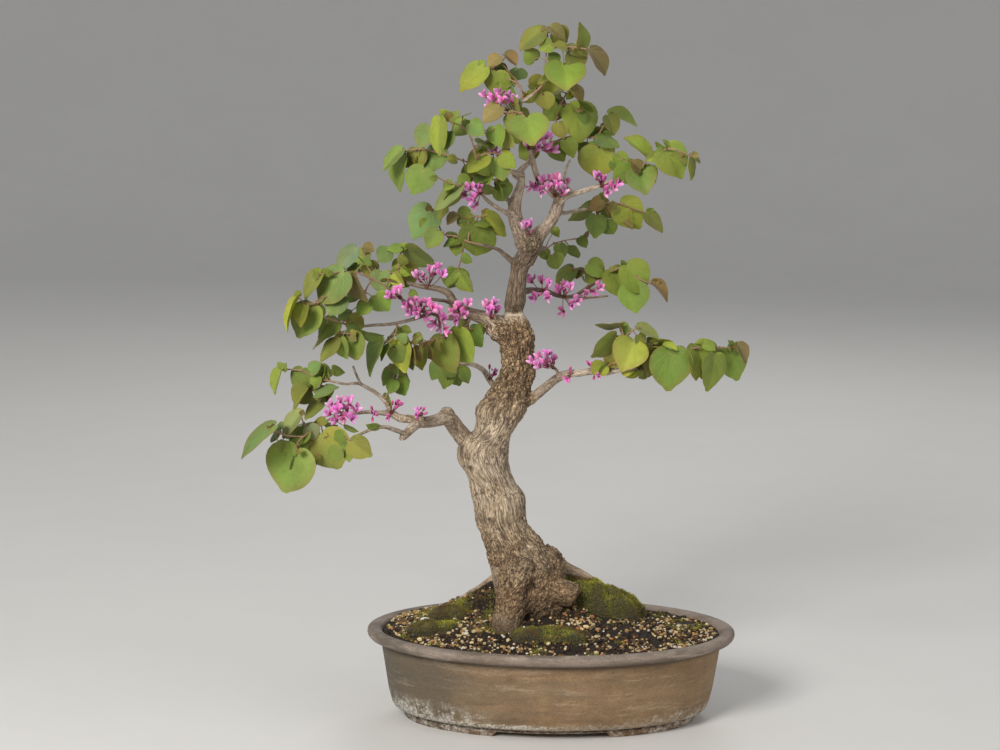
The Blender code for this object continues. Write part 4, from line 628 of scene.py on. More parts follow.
def along(line, grow=0.0, sides=6, foot=None):
    """Test shape of a stem through picture points."""
    centres, radii = stem_points(line, foot)
    return tube(centres, [max(radius, THINNEST_STEM) for radius in radii], sides, grow)


def blade_frame(base, tip, width, outward):
    """Axes of a blade from its stalk point, tip and the width it shows."""
    line = tip - base
    shown = line.length
    toward = (EYE - base).normalized()
    whole = width / BLADE_WIDTH_RATIO
    if whole > shown * 1.02:
        lean = math.sqrt(whole * whole - shown * shown)
        line = line + toward * lean * (1.0 if outward.y < 0.35 else -1.0)
        turn = 0.0
    else:
        turn = math.acos(max(0.12, min(1.0, width / (BLADE_WIDTH_RATIO * shown))))
    along_rib = line.normalized()
    face = (toward - along_rib * toward.dot(along_rib)).normalized()
    across = along_rib.cross(face)
    if across.dot(outward) * face.dot(toward) < 0.0:
        turn = -turn
    face = (Matrix.Rotation(turn, 3, along_rib) @ face).normalized()
    across = along_rib.cross(face)
    return line.length, along_rib, across, face


def flat_blade(base, frame_of_leaf, shape, stalk, grow):
    """Test shape of a blade with its stalk."""
    length, rib, across, face = frame_of_leaf
    half_thickness = 0.5 * BLADE_THICKNESS + grow
    spread = length * BLADE_WIDTH_RATIO
    right = []
    left = []
    for u, v in shape:
        v = max(v, PETIOLE_RADIUS / spread)
        rise = BLADE_FOLD * v * spread
        right.append(base + rib * (u * length) + across * (v * spread + grow) + face * rise)
        left.append(base + rib * (u * length) - across * (v * spread + grow) + face * rise)
    tip = base + rib * (length + grow)
    run = (stalk - base).normalized()
    turn = (-rib).rotation_difference(run)
    side = (turn @ across) * (PETIOLE_RADIUS * 0.85 + grow)
    stalk_face = turn @ face
    outline = [stalk - side, stalk + side]
    if run.dot(rib) > -0.05:
        bend = base - rib * KNEE_LENGTH
        bent = (-rib).rotation_difference((run - rib).normalized())
        knee = (bent @ across) * (PETIOLE_RADIUS * 0.85 + grow)
        outline += [bend + knee] + right + [tip] + list(reversed(left)) + [bend - knee]
        faces_toward = [stalk_face, stalk_face, bent @ face] + [face] * (len(right) * 2 + 1) + [bent @ face]
    else:
        outline += right + [tip] + list(reversed(left))
        faces_toward = [stalk_face, stalk_face] + [face] * (len(right) * 2 + 1)
    count = len(outline)
    points = []
    for sign in (1.0, -1.0):
        for p, toward in zip(outline, faces_toward):
            points.append(p + toward * (sign * half_thickness))
    tip_at = (count + 1) // 2
    notch = tip_at - len(shape)
    top = []
    for k in range(notch):
        left_at = (count - k) % count
        top.append((left_at, k + 1, k + 2))
        top.append((left_at, k + 2, count - 1 - k))
    top = top[:2 * (notch - 1)]
    left_notch = count + 1 - notch
    for k in range(notch + 1, tip_at):
        top.append((notch, k, k + 1))
        top.append((left_notch, count - k, count + 1 - k))
    top.append((left_notch, notch, tip_at))
    faces = []
    for f in top:
        faces.append(f)
        faces.append(tuple(count + i for i in reversed(f)))
    for k in range(count):
        n = (k + 1) % count
        faces.append((k, count + k, count + n, n))
    return points, faces


def flat_floret(hub, point, grow=0.0):
    """Test shape of a floret with its stalk."""
    out = (point - hub).normalized()
    across = out.cross(Vector((0.0, 0.0, 1.0))).normalized()
    up = across.cross(out).normalized()
    rim = [hub + out * (0.45 * HUB_RADIUS)]
    for u, v in FLORET_OUTLINE:
        spot = point + (out * u + up * v) * FLORET_LENGTH
        rim.append(spot + (spot - point).normalized() * grow)
    thick = across * (FLORET_HALF_WIDTH + grow)
    points = rim + [point + thick, point - thick]
    count = len(rim)
    faces = []
    for k in range(count):
        n = (k + 1) % count
        faces.append((k, n, count))
        faces.append((n, k, count + 1))
    return points, faces


# %% Seating every shoot, leaf and floret
WOOD = tree_of((
    [v.co for v in frame["nodes"]["trunk"].data.vertices],
    [tuple(face.vertices) for face in frame["nodes"]["trunk"].data.polygons],
))


def inside_wood(point):
    """True when a point lies inside the wood: a line out of it leaves an odd number of times."""
    toward = (EYE - point).normalized()
    crossings = 0
    start = point
    while True:
        spot = WOOD.ray_cast(start, toward)[0]
        if spot is None:
            return crossings % 2 == 1
        crossings += 1
        start = spot + toward * 0.00001


def seat(first, shape):
    """Where a stem's foot stands just clear of the nearest wood, and the point of wood below it."""
    spot, normal, _, distance = WOOD.find_nearest(first)
    if inside_wood(first) or distance < FOOT_STEP:
        away = normal
    else:
        away = (first - spot).normalized()
    for step in range(40):
        foot = spot + away * (CLEARANCE + step * FOOT_STEP)
        if not WOOD.overlap(tree_of(shape(foot, SEAT_GAP))):
            break
    return foot, spot - away * MM


def stalk_foot(lines, base_x, base_y, tip_x, tip_y):
    """The point of a spray's shoots that a stalk comes from."""
    rib = Vector((tip_x - base_x, tip_y - base_y)).normalized()
    best = None
    for line in lines:
        for (x0, y0, d0, _), (x1, y1, d1, _) in zip(line, line[1:]):
            for step in range(7):
                share = (step + 0.5) / 7.0
                x = x0 + (x1 - x0) * share
                y = y0 + (y1 - y0) * share
                reach = Vector((x - base_x, y - base_y))
                score = reach.length + 3.5 * max(0.0, reach.dot(rib))
                if best is None or score < best[0]:
                    best = (score, x, y, d0 + (d1 - d0) * share)
    return best[1:]


def seat_shoots():
    """The shoots of every spray, with their feet on the wood."""
    shoots = {}
    placed = []
    for name, (lines, _) in SPRAYS.items():
        main = lines[0]
        foot, root = seat(seen(*main[0][:3]), lambda spot, grow: along(main, grow, 4, spot))
        shoots[name] = [stem_points(main, foot)] + [stem_points(line) for line in lines[1:]]
        shoots[name][0][0].insert(0, root)
        shoots[name][0][1].insert(0, shoots[name][0][1][0] * 1.25)
        placed.append((name, tree_of(along(main, sides=4, foot=foot))))
        placed.extend((name, tree_of(along(line, sides=4))) for line in lines[1:])
    return shoots, placed


def seat_leaf(name, order, row, placed, own):
    """The first depth at which a leaf's test shape hangs clear."""
    bx, by, tx, ty, width = row[:5]
    lines = SPRAYS[name][0]
    sx, sy, sd = stalk_foot(lines, bx, by, tx, ty)
    best = None
    for shift in SHIFTS:
        lag = -1.0 if (order % 2) else 1.0
        depth = sd + shift + lag * (3.0 + 2.0 * (order % 3))
        base = seen(bx, by, depth)
        tip = seen(tx, ty, depth - 3.0)
        stalk = seen(sx, sy, sd) + Vector((0.00011, 0.00007, -0.00009)) * (order % 5 - 2)
        outward = Vector((base.x - POT_CENTRE.x + 0.03, sd * MM * 3.0, 0.02)).normalized()
        leaf_frame = blade_frame(base, tip, width * px_size(depth), outward)
        shape = BLADE_LARGE if width > 24 else BLADE_SMALL if width > 11 else BLADE_SHORT
        tree = tree_of(flat_blade(base, leaf_frame, shape, stalk, LEAF_GAP))
        hits = 10 * sum(1 for other, near in placed if other != name and tree.overlap(near))
        hits += 10 * bool(tree.overlap(WOOD))
        hits += sum(1 for near in own if tree.overlap(near))
        if best is None or hits < best[0]:
            best = (hits, base, stalk, leaf_frame, shape)
        if hits == 0:
            break
    hits, base, stalk, leaf_frame, shape = best
    if hits >= 10:
        return None
    own.append(tree_of(flat_blade(base, leaf_frame, shape, stalk, 0.0)))
    placed.append((name, own[-1]))
    return base, stalk, leaf_frame, row[5], width


def seat_leaves(placed, leaves, owns, is_wanted):
    """Seats the leaves of every spray that a rule asks for."""
    for name, (_, rows) in SPRAYS.items():
        order = 0
        for row in rows:
            if is_wanted(row):
                seated = seat_leaf(name, order, row, placed, owns.setdefault(name, []))
                leaves.setdefault(name, []).extend([seated] if seated else [])
                order += 1


def seat_bunch(name, anchor, spots, placed):
    """A bunch's hub on the wood and the place of every floret round it."""
    spot = seen(*anchor)
    toward = (EYE - spot).normalized()
    hub = spot
    for _ in range(120):
        near = WOOD.find_nearest(hub)[3]
        if near > HUB_RADIUS + CLEARANCE and not inside_wood(hub):
            break
        hub = hub + toward * 2.0 * FOOT_STEP
    top = hub + toward * HUB_HEIGHT
    radii = [HUB_RADIUS * 0.5, HUB_RADIUS, HUB_RADIUS * 0.8]
    foot, root = seat(hub, lambda low, grow: tube([low, hub, top], radii, 4, grow))
    hub_depth = (hub.y - POT_CENTRE.y) / MM
    own = []
    florets = []
    for order, (fx, fy) in enumerate(spots):
        for step in range(48):
            forward = (-6.0, 2.0, -11.0, 7.0, -16.0, 12.0)[(order + step) % 6] - 1.5 * (step % 24 // 6)
            point = seen(fx, fy, hub_depth + forward)
            if (point - hub).length < 0.005:
                point = hub + (point - hub).normalized() * 0.005
            tree = tree_of(flat_floret(hub, point, CLEARANCE))
            crowded = step < 24 and any(tree.overlap(near) for near in own)
            blocked = tree.overlap(WOOD) or any(other != name and tree.overlap(near) for other, near in placed)
            if not crowded and not blocked:
                florets.append(point)
                own.append(tree_of(flat_floret(hub, point)))
                break
    placed.append((name, tree_of(tube([foot, hub, top], radii, 4))))
    placed.extend((name, tree) for tree in own)
    return root, hub, florets


shoots, placed = seat_shoots()
leaves = {}
owns = {}
seat_leaves(placed, leaves, owns, lambda row: row[4] >= SMALLEST_SOLID_LEAF)
bunches = {}
for name, (anchor, spots) in CLUSTERS.items():
    bunches[name] = seat_bunch(name, anchor, spots, placed)
seat_leaves(placed, leaves, owns, lambda row: row[4] < SMALLEST_SOLID_LEAF)
print("leaves:", sum(len(rows) for rows in leaves.values()))
print("florets:", sum(len(bunch[2]) for bunch in bunches.values()))

# %% [markdown]
# ## Paint
# A material here is a tree of small nodes. Three helpers keep the trees readable: one adds a node
# and wires it, one does sums, one mixes two colours.

# %% Wiring nodes
def put(tree, kind, inputs=None, **settings):
    """Adds a node; an input is either a value or another node's output."""
    node = tree.nodes.new(kind)
    for key, value in settings.items():
        setattr(node, key, value)
    for key, value in (inputs or {}).items():
        if isinstance(value, bpy.types.NodeSocket):
            tree.links.new(value, node.inputs[key])
        else:
            node.inputs[key].default_value = value
    return node


def calc(tree, operation, a, b=0.0, c=0.0):
    """One sum."""
    return put(tree, "ShaderNodeMath", {0: a, 1: b, 2: c}, operation=operation).outputs[0]


def mix(tree, share, a, b, how="MIX"):
    """One colour over another, by a share."""
    node = put(tree, "ShaderNodeMix", {0: share, 6: a, 7: b}, data_type="RGBA", blend_type=how)
    return node.outputs[2]


def band(tree, value, low, high, to_low=0.0, to_high=1.0):
    """Stretches a range of values, and stops at its ends."""
    inputs = {"Value": value, "From Min": low, "From Max": high, "To Min": to_low, "To Max": to_high}
    return put(tree, "ShaderNodeMapRange", inputs, interpolation_type="SMOOTHSTEP").outputs[0]


def cloud(tree, place, scale, detail=4.0, rough=0.6, squeeze=None):
    """Soft noise between 0 and 1."""
    if squeeze:
        place = put(tree, "ShaderNodeMapping", {"Vector": place, "Scale": squeeze}).outputs[0]
    inputs = {"Vector": place, "Scale": scale, "Detail": detail, "Roughness": rough}
    return put(tree, "ShaderNodeTexNoise", inputs).outputs["Fac"]


def object_place(tree):
    """The point of the piece, in metres."""
    return put(tree, "ShaderNodeTexCoord").outputs["Object"]


def stored(tree, name, number=False):
    """A colour or number stored on the mesh."""
    node = put(tree, "ShaderNodeAttribute", attribute_name=name)
    return node.outputs["Fac" if number else "Color"]


def new_group(name, inputs, outputs):
    """An empty shader node group with named sockets."""
    group = bpy.data.node_groups.new(name, "ShaderNodeTree")
    for socket_name, kind, value in inputs:
        socket = group.interface.new_socket(socket_name, in_out="INPUT", socket_type=kind)
        if value is not None:
            socket.default_value = value
    for socket_name, kind in outputs:
        group.interface.new_socket(socket_name, in_out="OUTPUT", socket_type=kind)
    return group, group.nodes.new("NodeGroupInput").outputs, group.nodes.new("NodeGroupOutput").inputs


def use_group(tree, group, **inputs):
    """Places a node group and wires it."""
    node = tree.nodes.new("ShaderNodeGroup")
    node.node_tree = group
    for key, value in inputs.items():
        if isinstance(value, bpy.types.NodeSocket):
            tree.links.new(value, node.inputs[key])
        else:
            node.inputs[key].default_value = value
    return node.outputs


def new_paint(name, roughness, **settings):
    """A material with its shader's own numbers set."""
    material = bpy.data.materials.new(name)
    material.use_nodes = True
    shader = material.node_tree.nodes["Principled BSDF"]
    shader.inputs["Roughness"].default_value = roughness
    for key, value in settings.items():
        shader.inputs[key.replace("_", " ")].default_value = value
    return material, material.node_tree, shader


def finish_paint(tree, shader, colour, roughness=None, height=None, strength=0.5, distance=0.001):
    """Wires a colour, and a roughness and a bump where there are any."""
    tree.links.new(colour, shader.inputs["Base Color"])
    if roughness is not None:
        tree.links.new(roughness, shader.inputs["Roughness"])
    if height is not None:
        inputs = {"Height": height, "Strength": strength, "Distance": distance}
        tree.links.new(put(tree, "ShaderNodeBump", inputs).outputs[0], shader.inputs["Normal"])


# %% [markdown]
# ## Effects that several materials share
# Mottling is two sizes of noise pulled apart in contrast, and it ages clay, bark and leaves alike.
# Speckle is a scatter of round dots, for grit, lime and pores.

# %% Mottle and speckle groups
MOTTLE, given, made = new_group(
    "mottle",
    [("Place", "NodeSocketVector", None), ("Scale", "NodeSocketFloat", 20.0), ("Cover", "NodeSocketFloat", 0.5)],
    [("Mask", "NodeSocketFloat"), ("Fine", "NodeSocketFloat")])
large = cloud(MOTTLE, given["Place"], given["Scale"], 5.0, 0.62)
small = cloud(MOTTLE, given["Place"], calc(MOTTLE, "MULTIPLY", given["Scale"], 5.3), 3.0, 0.6)
both = calc(MOTTLE, "ADD", calc(MOTTLE, "MULTIPLY", large, 0.72), calc(MOTTLE, "MULTIPLY", small, 0.28))
edge = calc(MOTTLE, "SUBTRACT", 1.0, given["Cover"])
MOTTLE.links.new(band(MOTTLE, both, calc(MOTTLE, "SUBTRACT", edge, 0.09),
                      calc(MOTTLE, "ADD", edge, 0.09)), made["Mask"])
MOTTLE.links.new(small, made["Fine"])

SPECKLE, given, made = new_group(
    "speckle",
    [("Place", "NodeSocketVector", None), ("Scale", "NodeSocketFloat", 300.0), ("Size", "NodeSocketFloat", 0.3)],
    [("Mask", "NodeSocketFloat"), ("Colour", "NodeSocketColor")])
dots = put(SPECKLE, "ShaderNodeTexVoronoi", {"Vector": given["Place"], "Scale": given["Scale"]})
SPECKLE.links.new(band(SPECKLE, dots.outputs["Distance"], given["Size"],
                       calc(SPECKLE, "MULTIPLY", given["Size"], 0.6)), made["Mask"])
SPECKLE.links.new(dots.outputs["Color"], made["Colour"])
print("groups:", [group.name for group in bpy.data.node_groups])

# %% [markdown]
# ## The trunk
# The trunk is one grown thing: roots, bole and limbs run into each other. It could be lofted or
# built from skin modifiers, but separate stems melted together by a voxel remesh give the soft
# crotches of real wood. The bole is drawn as by hand: one circle, pushed up ring after ring.

# %% Lofting and stem tools
def ring_by_ring(name, sides, rings):
    """A closed body: a circle pushed from ring to ring, each a centre and two half widths."""
    select_only(frame["bodies"]["root"])
    centre, half_x, half_y = rings[0]
    bpy.ops.mesh.primitive_circle_add(vertices=sides, radius=1.0, fill_type="NGON", location=centre)
    piece = bpy.context.object
    piece.name = name
    piece.scale = (half_x, half_y, 1.0)
    settle(piece)
    bpy.ops.object.mode_set(mode="EDIT")
    bpy.ops.mesh.select_all(action="SELECT")
    for (a, ax, ay), (b, bx, by) in zip(rings, rings[1:]):
        bpy.ops.mesh.extrude_region_move(TRANSFORM_OT_translate={"value": b - a})
        bpy.ops.transform.resize(value=(bx / ax, by / ay, 1.0), center_override=b)
    bpy.ops.mesh.select_all(action="SELECT")
    bpy.ops.mesh.normals_make_consistent(inside=False)
    bpy.ops.object.mode_set(mode="OBJECT")
    return piece


def stems(name, lines, roundness=2, smoothness=4):
    """One mesh of tapering stems along smooth curves; a line is its points and its radii."""
    curve = bpy.data.curves.new(name, "CURVE")
    curve.dimensions = "3D"
    curve.bevel_depth = 1.0
    curve.bevel_resolution = roundness
    curve.resolution_u = smoothness
    curve.use_fill_caps = True
    for centres, radii in lines:
        spline = curve.splines.new("BEZIER")
        spline.bezier_points.add(len(centres) - 1)
        for point, centre, radius in zip(spline.bezier_points, centres, radii):
            point.co = centre
            point.radius = radius
            point.handle_left_type = "AUTO"
            point.handle_right_type = "AUTO"
    piece = bpy.data.objects.new(name, curve)
    bpy.context.scene.collection.objects.link(piece)
    select_only(piece)
    bpy.ops.object.convert(target="MESH")
    return bpy.context.object


# %% The bole, the roots and the limbs
TRUNK_ROUNDNESS = 0.94
TRUNK_FOOT = 0.068
BOLE_SIDES = 40
THICK_LIMB_PX = 5.0
WOOD_VOXEL = 0.00119


# The front leg and the cut root beside it, fuller than their solids
FOOT = [
    [(520, 560, -26, 30), (513, 585, -34, 32), (510, 606, -42, 31), (507, 624, -47, 32), (506, 645, -50, 30)],
    [(536, 574, -16, 28), (552, 588, -22, 27), (565, 594, -25, 25), (575, 598, -26, 21)]]


def bole_rings():
    """Rings from the trunk's picture rows, with two more between each pair of rows."""
    rows = []
    for row, left, right, depth in TRUNK:
        a = seen(left, row, depth)
        b = seen(right, row, depth)
        rows.append(((a + b) * 0.5, 0.5 * (b.x - a.x)))
    rings = [(Vector((rows[0][0].x, rows[0][0].y, TRUNK_FOOT)), rows[0][1], rows[0][1] * TRUNK_ROUNDNESS)]
    for k in range(len(rows) - 1):
        before = rows[max(k - 1, 0)]
        after = rows[min(k + 2, len(rows) - 1)]
        for t in (0.0, 1.0 / 3.0, 2.0 / 3.0):
            weights = (-0.5 * t + t * t - 0.5 * t ** 3, 1.0 - 2.5 * t * t + 1.5 * t ** 3,
                       0.5 * t + 2.0 * t * t - 1.5 * t ** 3, -0.5 * t * t + 0.5 * t ** 3)
            four = (before, rows[k], rows[k + 1], after)
            centre = sum((row[0] * w for row, w in zip(four, weights)), Vector())
            half = sum(row[1] * w for row, w in zip(four, weights))
            rings.append((centre, half, half * TRUNK_ROUNDNESS))
    rings.append((rows[-1][0], rows[-1][1], rows[-1][1] * TRUNK_ROUNDNESS))
    return rings


# Limbs that the picture shows more bent or stouter than their solids, found by where they start
REDRAWN = {
    (531, 257): [(526, 264, 4, 15), (530, 250, 5, 21), (537, 237, 7, 17), (546, 227, 9, 12.5),
                 (553, 218, 9, 11.5), (556.5, 209, 9, 12.5), (560.5, 198, 9, 11)],
    (513, 406): [(513, 406, -2, 15), (527, 401, -2, 12.5), (536, 395, -6, 10.5), (546, 387, -10, 9.4),
                 (556, 379, -16, 9), (567, 374, -22, 8.2), (580, 373, -28, 7.4), (592, 371.5, -33, 7),
                 (605, 373, -37, 5.6), (618, 370.5, -40, 4.8), (632, 369, -42, 3.8), (643, 370, -43, 3)]}
KNOT = [[(522, 252, 2, 22), (530, 244, 1, 25), (538, 239, 2, 17)], [(531, 251, 6, 10), (538, 249.5, 13, 6), (546, 248, 23, 3.4)]]
DRAWN_LIMBS = [deepened(REDRAWN[line[0][:2]]) if line[0][:2] in REDRAWN else line for line in LIMBS]
DRAWN_LIMBS += CROWN_LINK + [deepened(line) for line in KNOT]

bole = bole_rings()
thick = [ring_by_ring("bole", BOLE_SIDES, bole)]
root_lines = [stem_points(line) for line in ROOTS]
limb_lines = [stem_points(line) for line in DRAWN_LIMBS]
thick.append(stems("roots", root_lines, roundness=6))
thick.append(stems("foot", [stem_points(line) for line in FOOT], roundness=8))
thick.append(stems("limbs", [line for line, row in zip(limb_lines, DRAWN_LIMBS)
                             if max(p[3] for p in row) > THICK_LIMB_PX], roundness=5))
wood = join("trunk_wood", thick)
modify(wood, "REMESH", mode="VOXEL", voxel_size=WOOD_VOXEL)
modify(wood, "SMOOTH", factor=0.5, iterations=4)
print("wood:", len(wood.data.polygons), "faces")

# %% [markdown]
# ## Bark
# Old redbud bark splits into narrow plates that run up the stem. Real relief shows at the edges of
# the trunk, where a bump map can't reach, so the valleys are cut into the mesh. Every point is
# measured along and around its own limb, and the noise is squeezed along that run, so the grain
# follows the trunk and each limb through its bends. The same measure is stored for the paint.

# %% The grain of the wood
GRAIN_SQUEEZE = 0.17
# A limb keeps the old bark of the trunk for a short way past its foot
COLLAR_LENGTH = 0.034
COLLAR_GIRTH = 0.012
# Where each line's run starts, so that no two limbs share a pattern
LINE_START = 0.37
# The bole's grain covers what lies within this many of its radii, above the roots
BOLE_REACH = 1.06
ROOTS_TOP = 0.150
# A limb's grain starts where it leaves the bole, at this share of the bole's radius
BURIED = 0.80
# Swellings and wounds: picture point, depth, reach and height in millimetres
SWELLINGS = [
    ((533, 243), -8, 15, 1.6), ((480, 402), -20, 13, 3.4), ((532, 337), -10, 9, 2.6),
    ((535, 374), -10, 8, 2.8), ((523, 491), -22, 12, 2.6), ((500, 520), -28, 20, 1.2),
    ((503, 330), -12, 8, 2.0), ((498, 346), -10, 7, 1.8), ((527, 398), -12, 8, 2.2), ((530, 352), -14, 7, 1.8),
    ((459, 460), -18, 12, 2.2), ((512, 566), -36, 22, 3.0), ((540, 562), -34, 20, 4.0),
    ((500, 350), -20, 13, 1.4), ((516, 425), -22, 13, 1.2), ((528, 578), -42, 18, 2.2),
]
# The rough stretch of the bole, between two picture rows, and the pale ring of the old graft above it
ROUGH_TOP = seen(516, 318, -2).z
ROUGH_FOOT = seen(500, 420, -4).z
GRAFT = seen(514, 313, 0)
# Pale, gnarled places: picture point, depth and reach in millimetres
BURLS = [((533, 243), -8, 17), ((516, 312), -12, 8), ((537, 560), -36, 24), ((515, 576), -40, 15), ((478, 448), -20, 8)]
SCARS = [((523, 529), -26, 6.5, -2.2), ((470, 470), -24, 5, -1.4), ((507, 583), -42, 5, -1.2),
         ((514, 300), -12, 4, -1.0), ((528, 395), -12, 4.5, -1.2), ((536, 602), -52, 9, -4.0),
         ((530, 533), -26, 7, -2.4), ((522, 537), -30, 7, -2.4), ((514, 543), -34, 7, -2.4),
         ((507, 550), -36, 7, -2.2), ((502, 559), -38, 7, -2.0), ((545, 606), -50, 8, -3.0), ((497, 572), -36, 7, -1.6),
         ((462, 470), -22, 6, -1.8), ((486, 440), -22, 6, -1.6)]


def centre_samples():
    """Points along every centre line: place, heading, a side, radius, and the run from its start."""
    lines = [([ring[0] for ring in bole], [ring[1] for ring in bole])] + root_lines + limb_lines
    samples = []
    for order, (centres, radii) in enumerate(lines):
        ways = [(b - a).normalized() for a, b in zip(centres, centres[1:])]
        turns = [ways[0]] + [(a + b).normalized() for a, b in zip(ways, ways[1:])] + [ways[-1]]
        run = start = LINE_START * order
        is_limb = order > len(root_lines)
        side = ways[0].orthogonal().normalized()
        for k in range(len(ways)):
            length = (centres[k + 1] - centres[k]).length
            steps = max(1, int(length / 0.003))
            for step in range(steps):
                share = step / steps
                heading = turns[k].lerp(turns[k + 1], share).normalized()
                side = (side - heading * side.dot(heading)).normalized()
                way = run + length * share
                spot = centres[k].lerp(centres[k + 1], share)
                if is_limb and any((spot - ring[0]).length < BURIED * ring[1] for ring in bole):
                    continue
                collar = COLLAR_GIRTH * max(0.0, 1.0 - (way - start) / COLLAR_LENGTH) if is_limb else 0.0
                samples.append((spot, heading, side, radii[k] + (radii[k + 1] - radii[k]) * share + collar, way))
            run += length
    return samples


SAMPLES = centre_samples()


def sample_tree(count):
    """A search tree of the first samples; the bole's own come first."""
    tree = KDTree(count)
    for k, sample in enumerate(SAMPLES[:count]):
        tree.insert(sample[0], k)
    tree.balance()
    return tree


SAMPLE_TREE = sample_tree(len(SAMPLES))
BOLE_TREE = sample_tree(sum(sample[4] < LINE_START for sample in SAMPLES))


def grain_at(co):
    """Place of a point round and along its limb, and how stout the limb is."""
    nearest = SAMPLES[BOLE_TREE.find(co)[1]]
    if (co - nearest[0]).length > BOLE_REACH * nearest[3] or co.z < ROOTS_TOP:
        nearest = SAMPLES[SAMPLE_TREE.find(co)[1]]
    spot, heading, side, radius, run = nearest
    local = co - spot
    drawn = Vector((local.dot(side), local.dot(heading.cross(side)), (run + local.dot(heading)) * GRAIN_SQUEEZE))
    return drawn, min(1.0, max(0.10, (radius - 0.003) / 0.014))


def valley(value, width):
    """1 at the bottom of a valley, where the noise crosses zero, and 0 on the ridges."""
    return max(0.0, 1.0 - abs(value) / width) ** 2


# %% Cutting the bark
def cut_bark(piece):
    """Pushes the points of the wood in and out, and stores grain, depth and girth."""
    bumps = [(seen(*spot, depth), reach * MM, height * MM) for spot, depth, reach, height in SWELLINGS + SCARS]
    burls = [(seen(*spot, depth), reach * MM) for spot, depth, reach in BURLS]
    moved = []
    pales = []
    gnarls = []
    grains = []
    depths = []
    girths = []
    for point in piece.data.vertices:
        co = point.co
        drawn, stout = grain_at(co)
        low = min(1.0, max(0.0, (0.215 - co.z) / 0.06))
        warped = drawn + noise.noise_vector(co * 55.0) * 0.0016
        plates = noise.noise(warped * 120.0)
        wide = valley(noise.noise(warped * 175.0 + Vector((3.1, 0.0, 0.0))), 0.30)
        fine = valley(noise.noise(warped * 330.0 + Vector((0.0, 7.7, 0.0))), 0.34)
        flaky = noise.noise(co * 360.0)
        knobbly = noise.fractal(co * 66.0, 0.9, 2.1, 3)
        push = stout * (0.00045 * plates - 0.00095 * wide - 0.00050 * fine + 0.00030 * flaky)
        push += (0.0005 + 0.0027 * low) * stout * knobbly
        wound = 0.0
        for spot, reach, height in bumps:
            gap = (co - spot).length / reach
            if gap < 1.0:
                push += height * (1.0 - gap * gap) ** 2
                if height < 0.0:
                    wound = max(wound, 1.0 - gap * gap)
        pale = max(max(0.0, 1.0 - ((co - spot).length / reach) ** 2) for spot, reach in burls)
        old_wood = min(1.0, max(0.0, (stout - 0.30) / 0.30))
        gnarl = min(1.0, max(0.0, (co.z - ROUGH_FOOT) / 0.030), max(0.0, (ROUGH_TOP - co.z) / 0.006)) * old_wood
        gnarl = max(gnarl, pale, 0.8 * low * old_wood)
        furrow = valley(noise.noise(co * 105.0 + Vector((5.0, 0.0, 0.0))), 0.16)
        push += gnarl * (0.0013 * noise.noise(co * 170.0) + 0.0013 * abs(noise.noise(co * 330.0))
                         - 0.0010 * valley(noise.noise(co * 240.0), 0.22) - 0.0014 * furrow)
        wound = max(wound, 0.7 * gnarl * furrow)
        if (co - GRAFT).length < 0.024:
            above = co.z - GRAFT.z
            push += 0.0015 * math.exp(-((above + 0.0055) / 0.0042) ** 2) - 0.0009 * math.exp(-((above - 0.003) / 0.0028) ** 2)
            pale = max(pale, 2.0 * math.exp(-((above + 0.0008) / 0.0017) ** 2))
        pales.append(pale)
        gnarls.append(gnarl)
        moved.append(co + point.normal * push)
        grains.append(warped)
        depths.append(min(1.0, stout * (0.50 * wide + 0.30 * fine) + 0.55 * wound))
        girths.append(stout)
    reshape(piece, moved)
    mark(piece, "grain", grains)
    mark(piece, "crack", depths)
    mark(piece, "stout", girths)
    mark(piece, "pale", pales)
    mark(piece, "gnarl", gnarls)


cut_bark(wood)
wood.data.shade_smooth()
print("deepest bark point stored for", len(wood.data.vertices), "points")

# %% Twigs
TWIG_SINK = 0.94
twigs = stems("twig_wood", [(centres, [radius * TWIG_SINK for radius in radii])
                            for centres, radii in limb_lines], roundness=3, smoothness=6)
twigs.data.shade_smooth()
mark(twigs, "grain", [grain_at(Vector(spot))[0] for spot in corners(twigs)])
mark(twigs, "crack", np.zeros(len(twigs.data.vertices)))
mark(twigs, "stout", np.full(len(twigs.data.vertices), 0.05))
mark(twigs, "pale", np.zeros(len(twigs.data.vertices)))
mark(twigs, "gnarl", np.zeros(len(twigs.data.vertices)))

# %% [markdown]
# ## Bark colours
# Pale grey-beige on the ridges and dark in the cracks, greyer and browner at the foot, smoother on
# young wood. The cracks are the edges of long narrow cells, laid along the stored grain; two sizes
# of them, and fibres between, make the flaky net of a redbud trunk.

# %% Bark paint
def nudged(tree, place, scale, reach):
    """A place moved a little by noise, so that straight patterns wander."""
    wander = put(tree, "ShaderNodeTexNoise", {"Vector": place, "Scale": scale, "Detail": 2.0}).outputs["Color"]
    centred = put(tree, "ShaderNodeVectorMath", {0: wander, 1: (0.5, 0.5, 0.5)}, operation="SUBTRACT").outputs[0]
    moved = put(tree, "ShaderNodeVectorMath", {0: centred, "Scale": reach}, operation="SCALE").outputs[0]
    return put(tree, "ShaderNodeVectorMath", {0: place, 1: moved}, operation="ADD").outputs[0]


def cell_edges(tree, place, scale, width):
    """1 along the borders of noisy cells."""
    cells = put(tree, "ShaderNodeTexVoronoi", {"Vector": place, "Scale": scale}, feature="DISTANCE_TO_EDGE")
    return band(tree, cells.outputs["Distance"], width, width * 0.15)


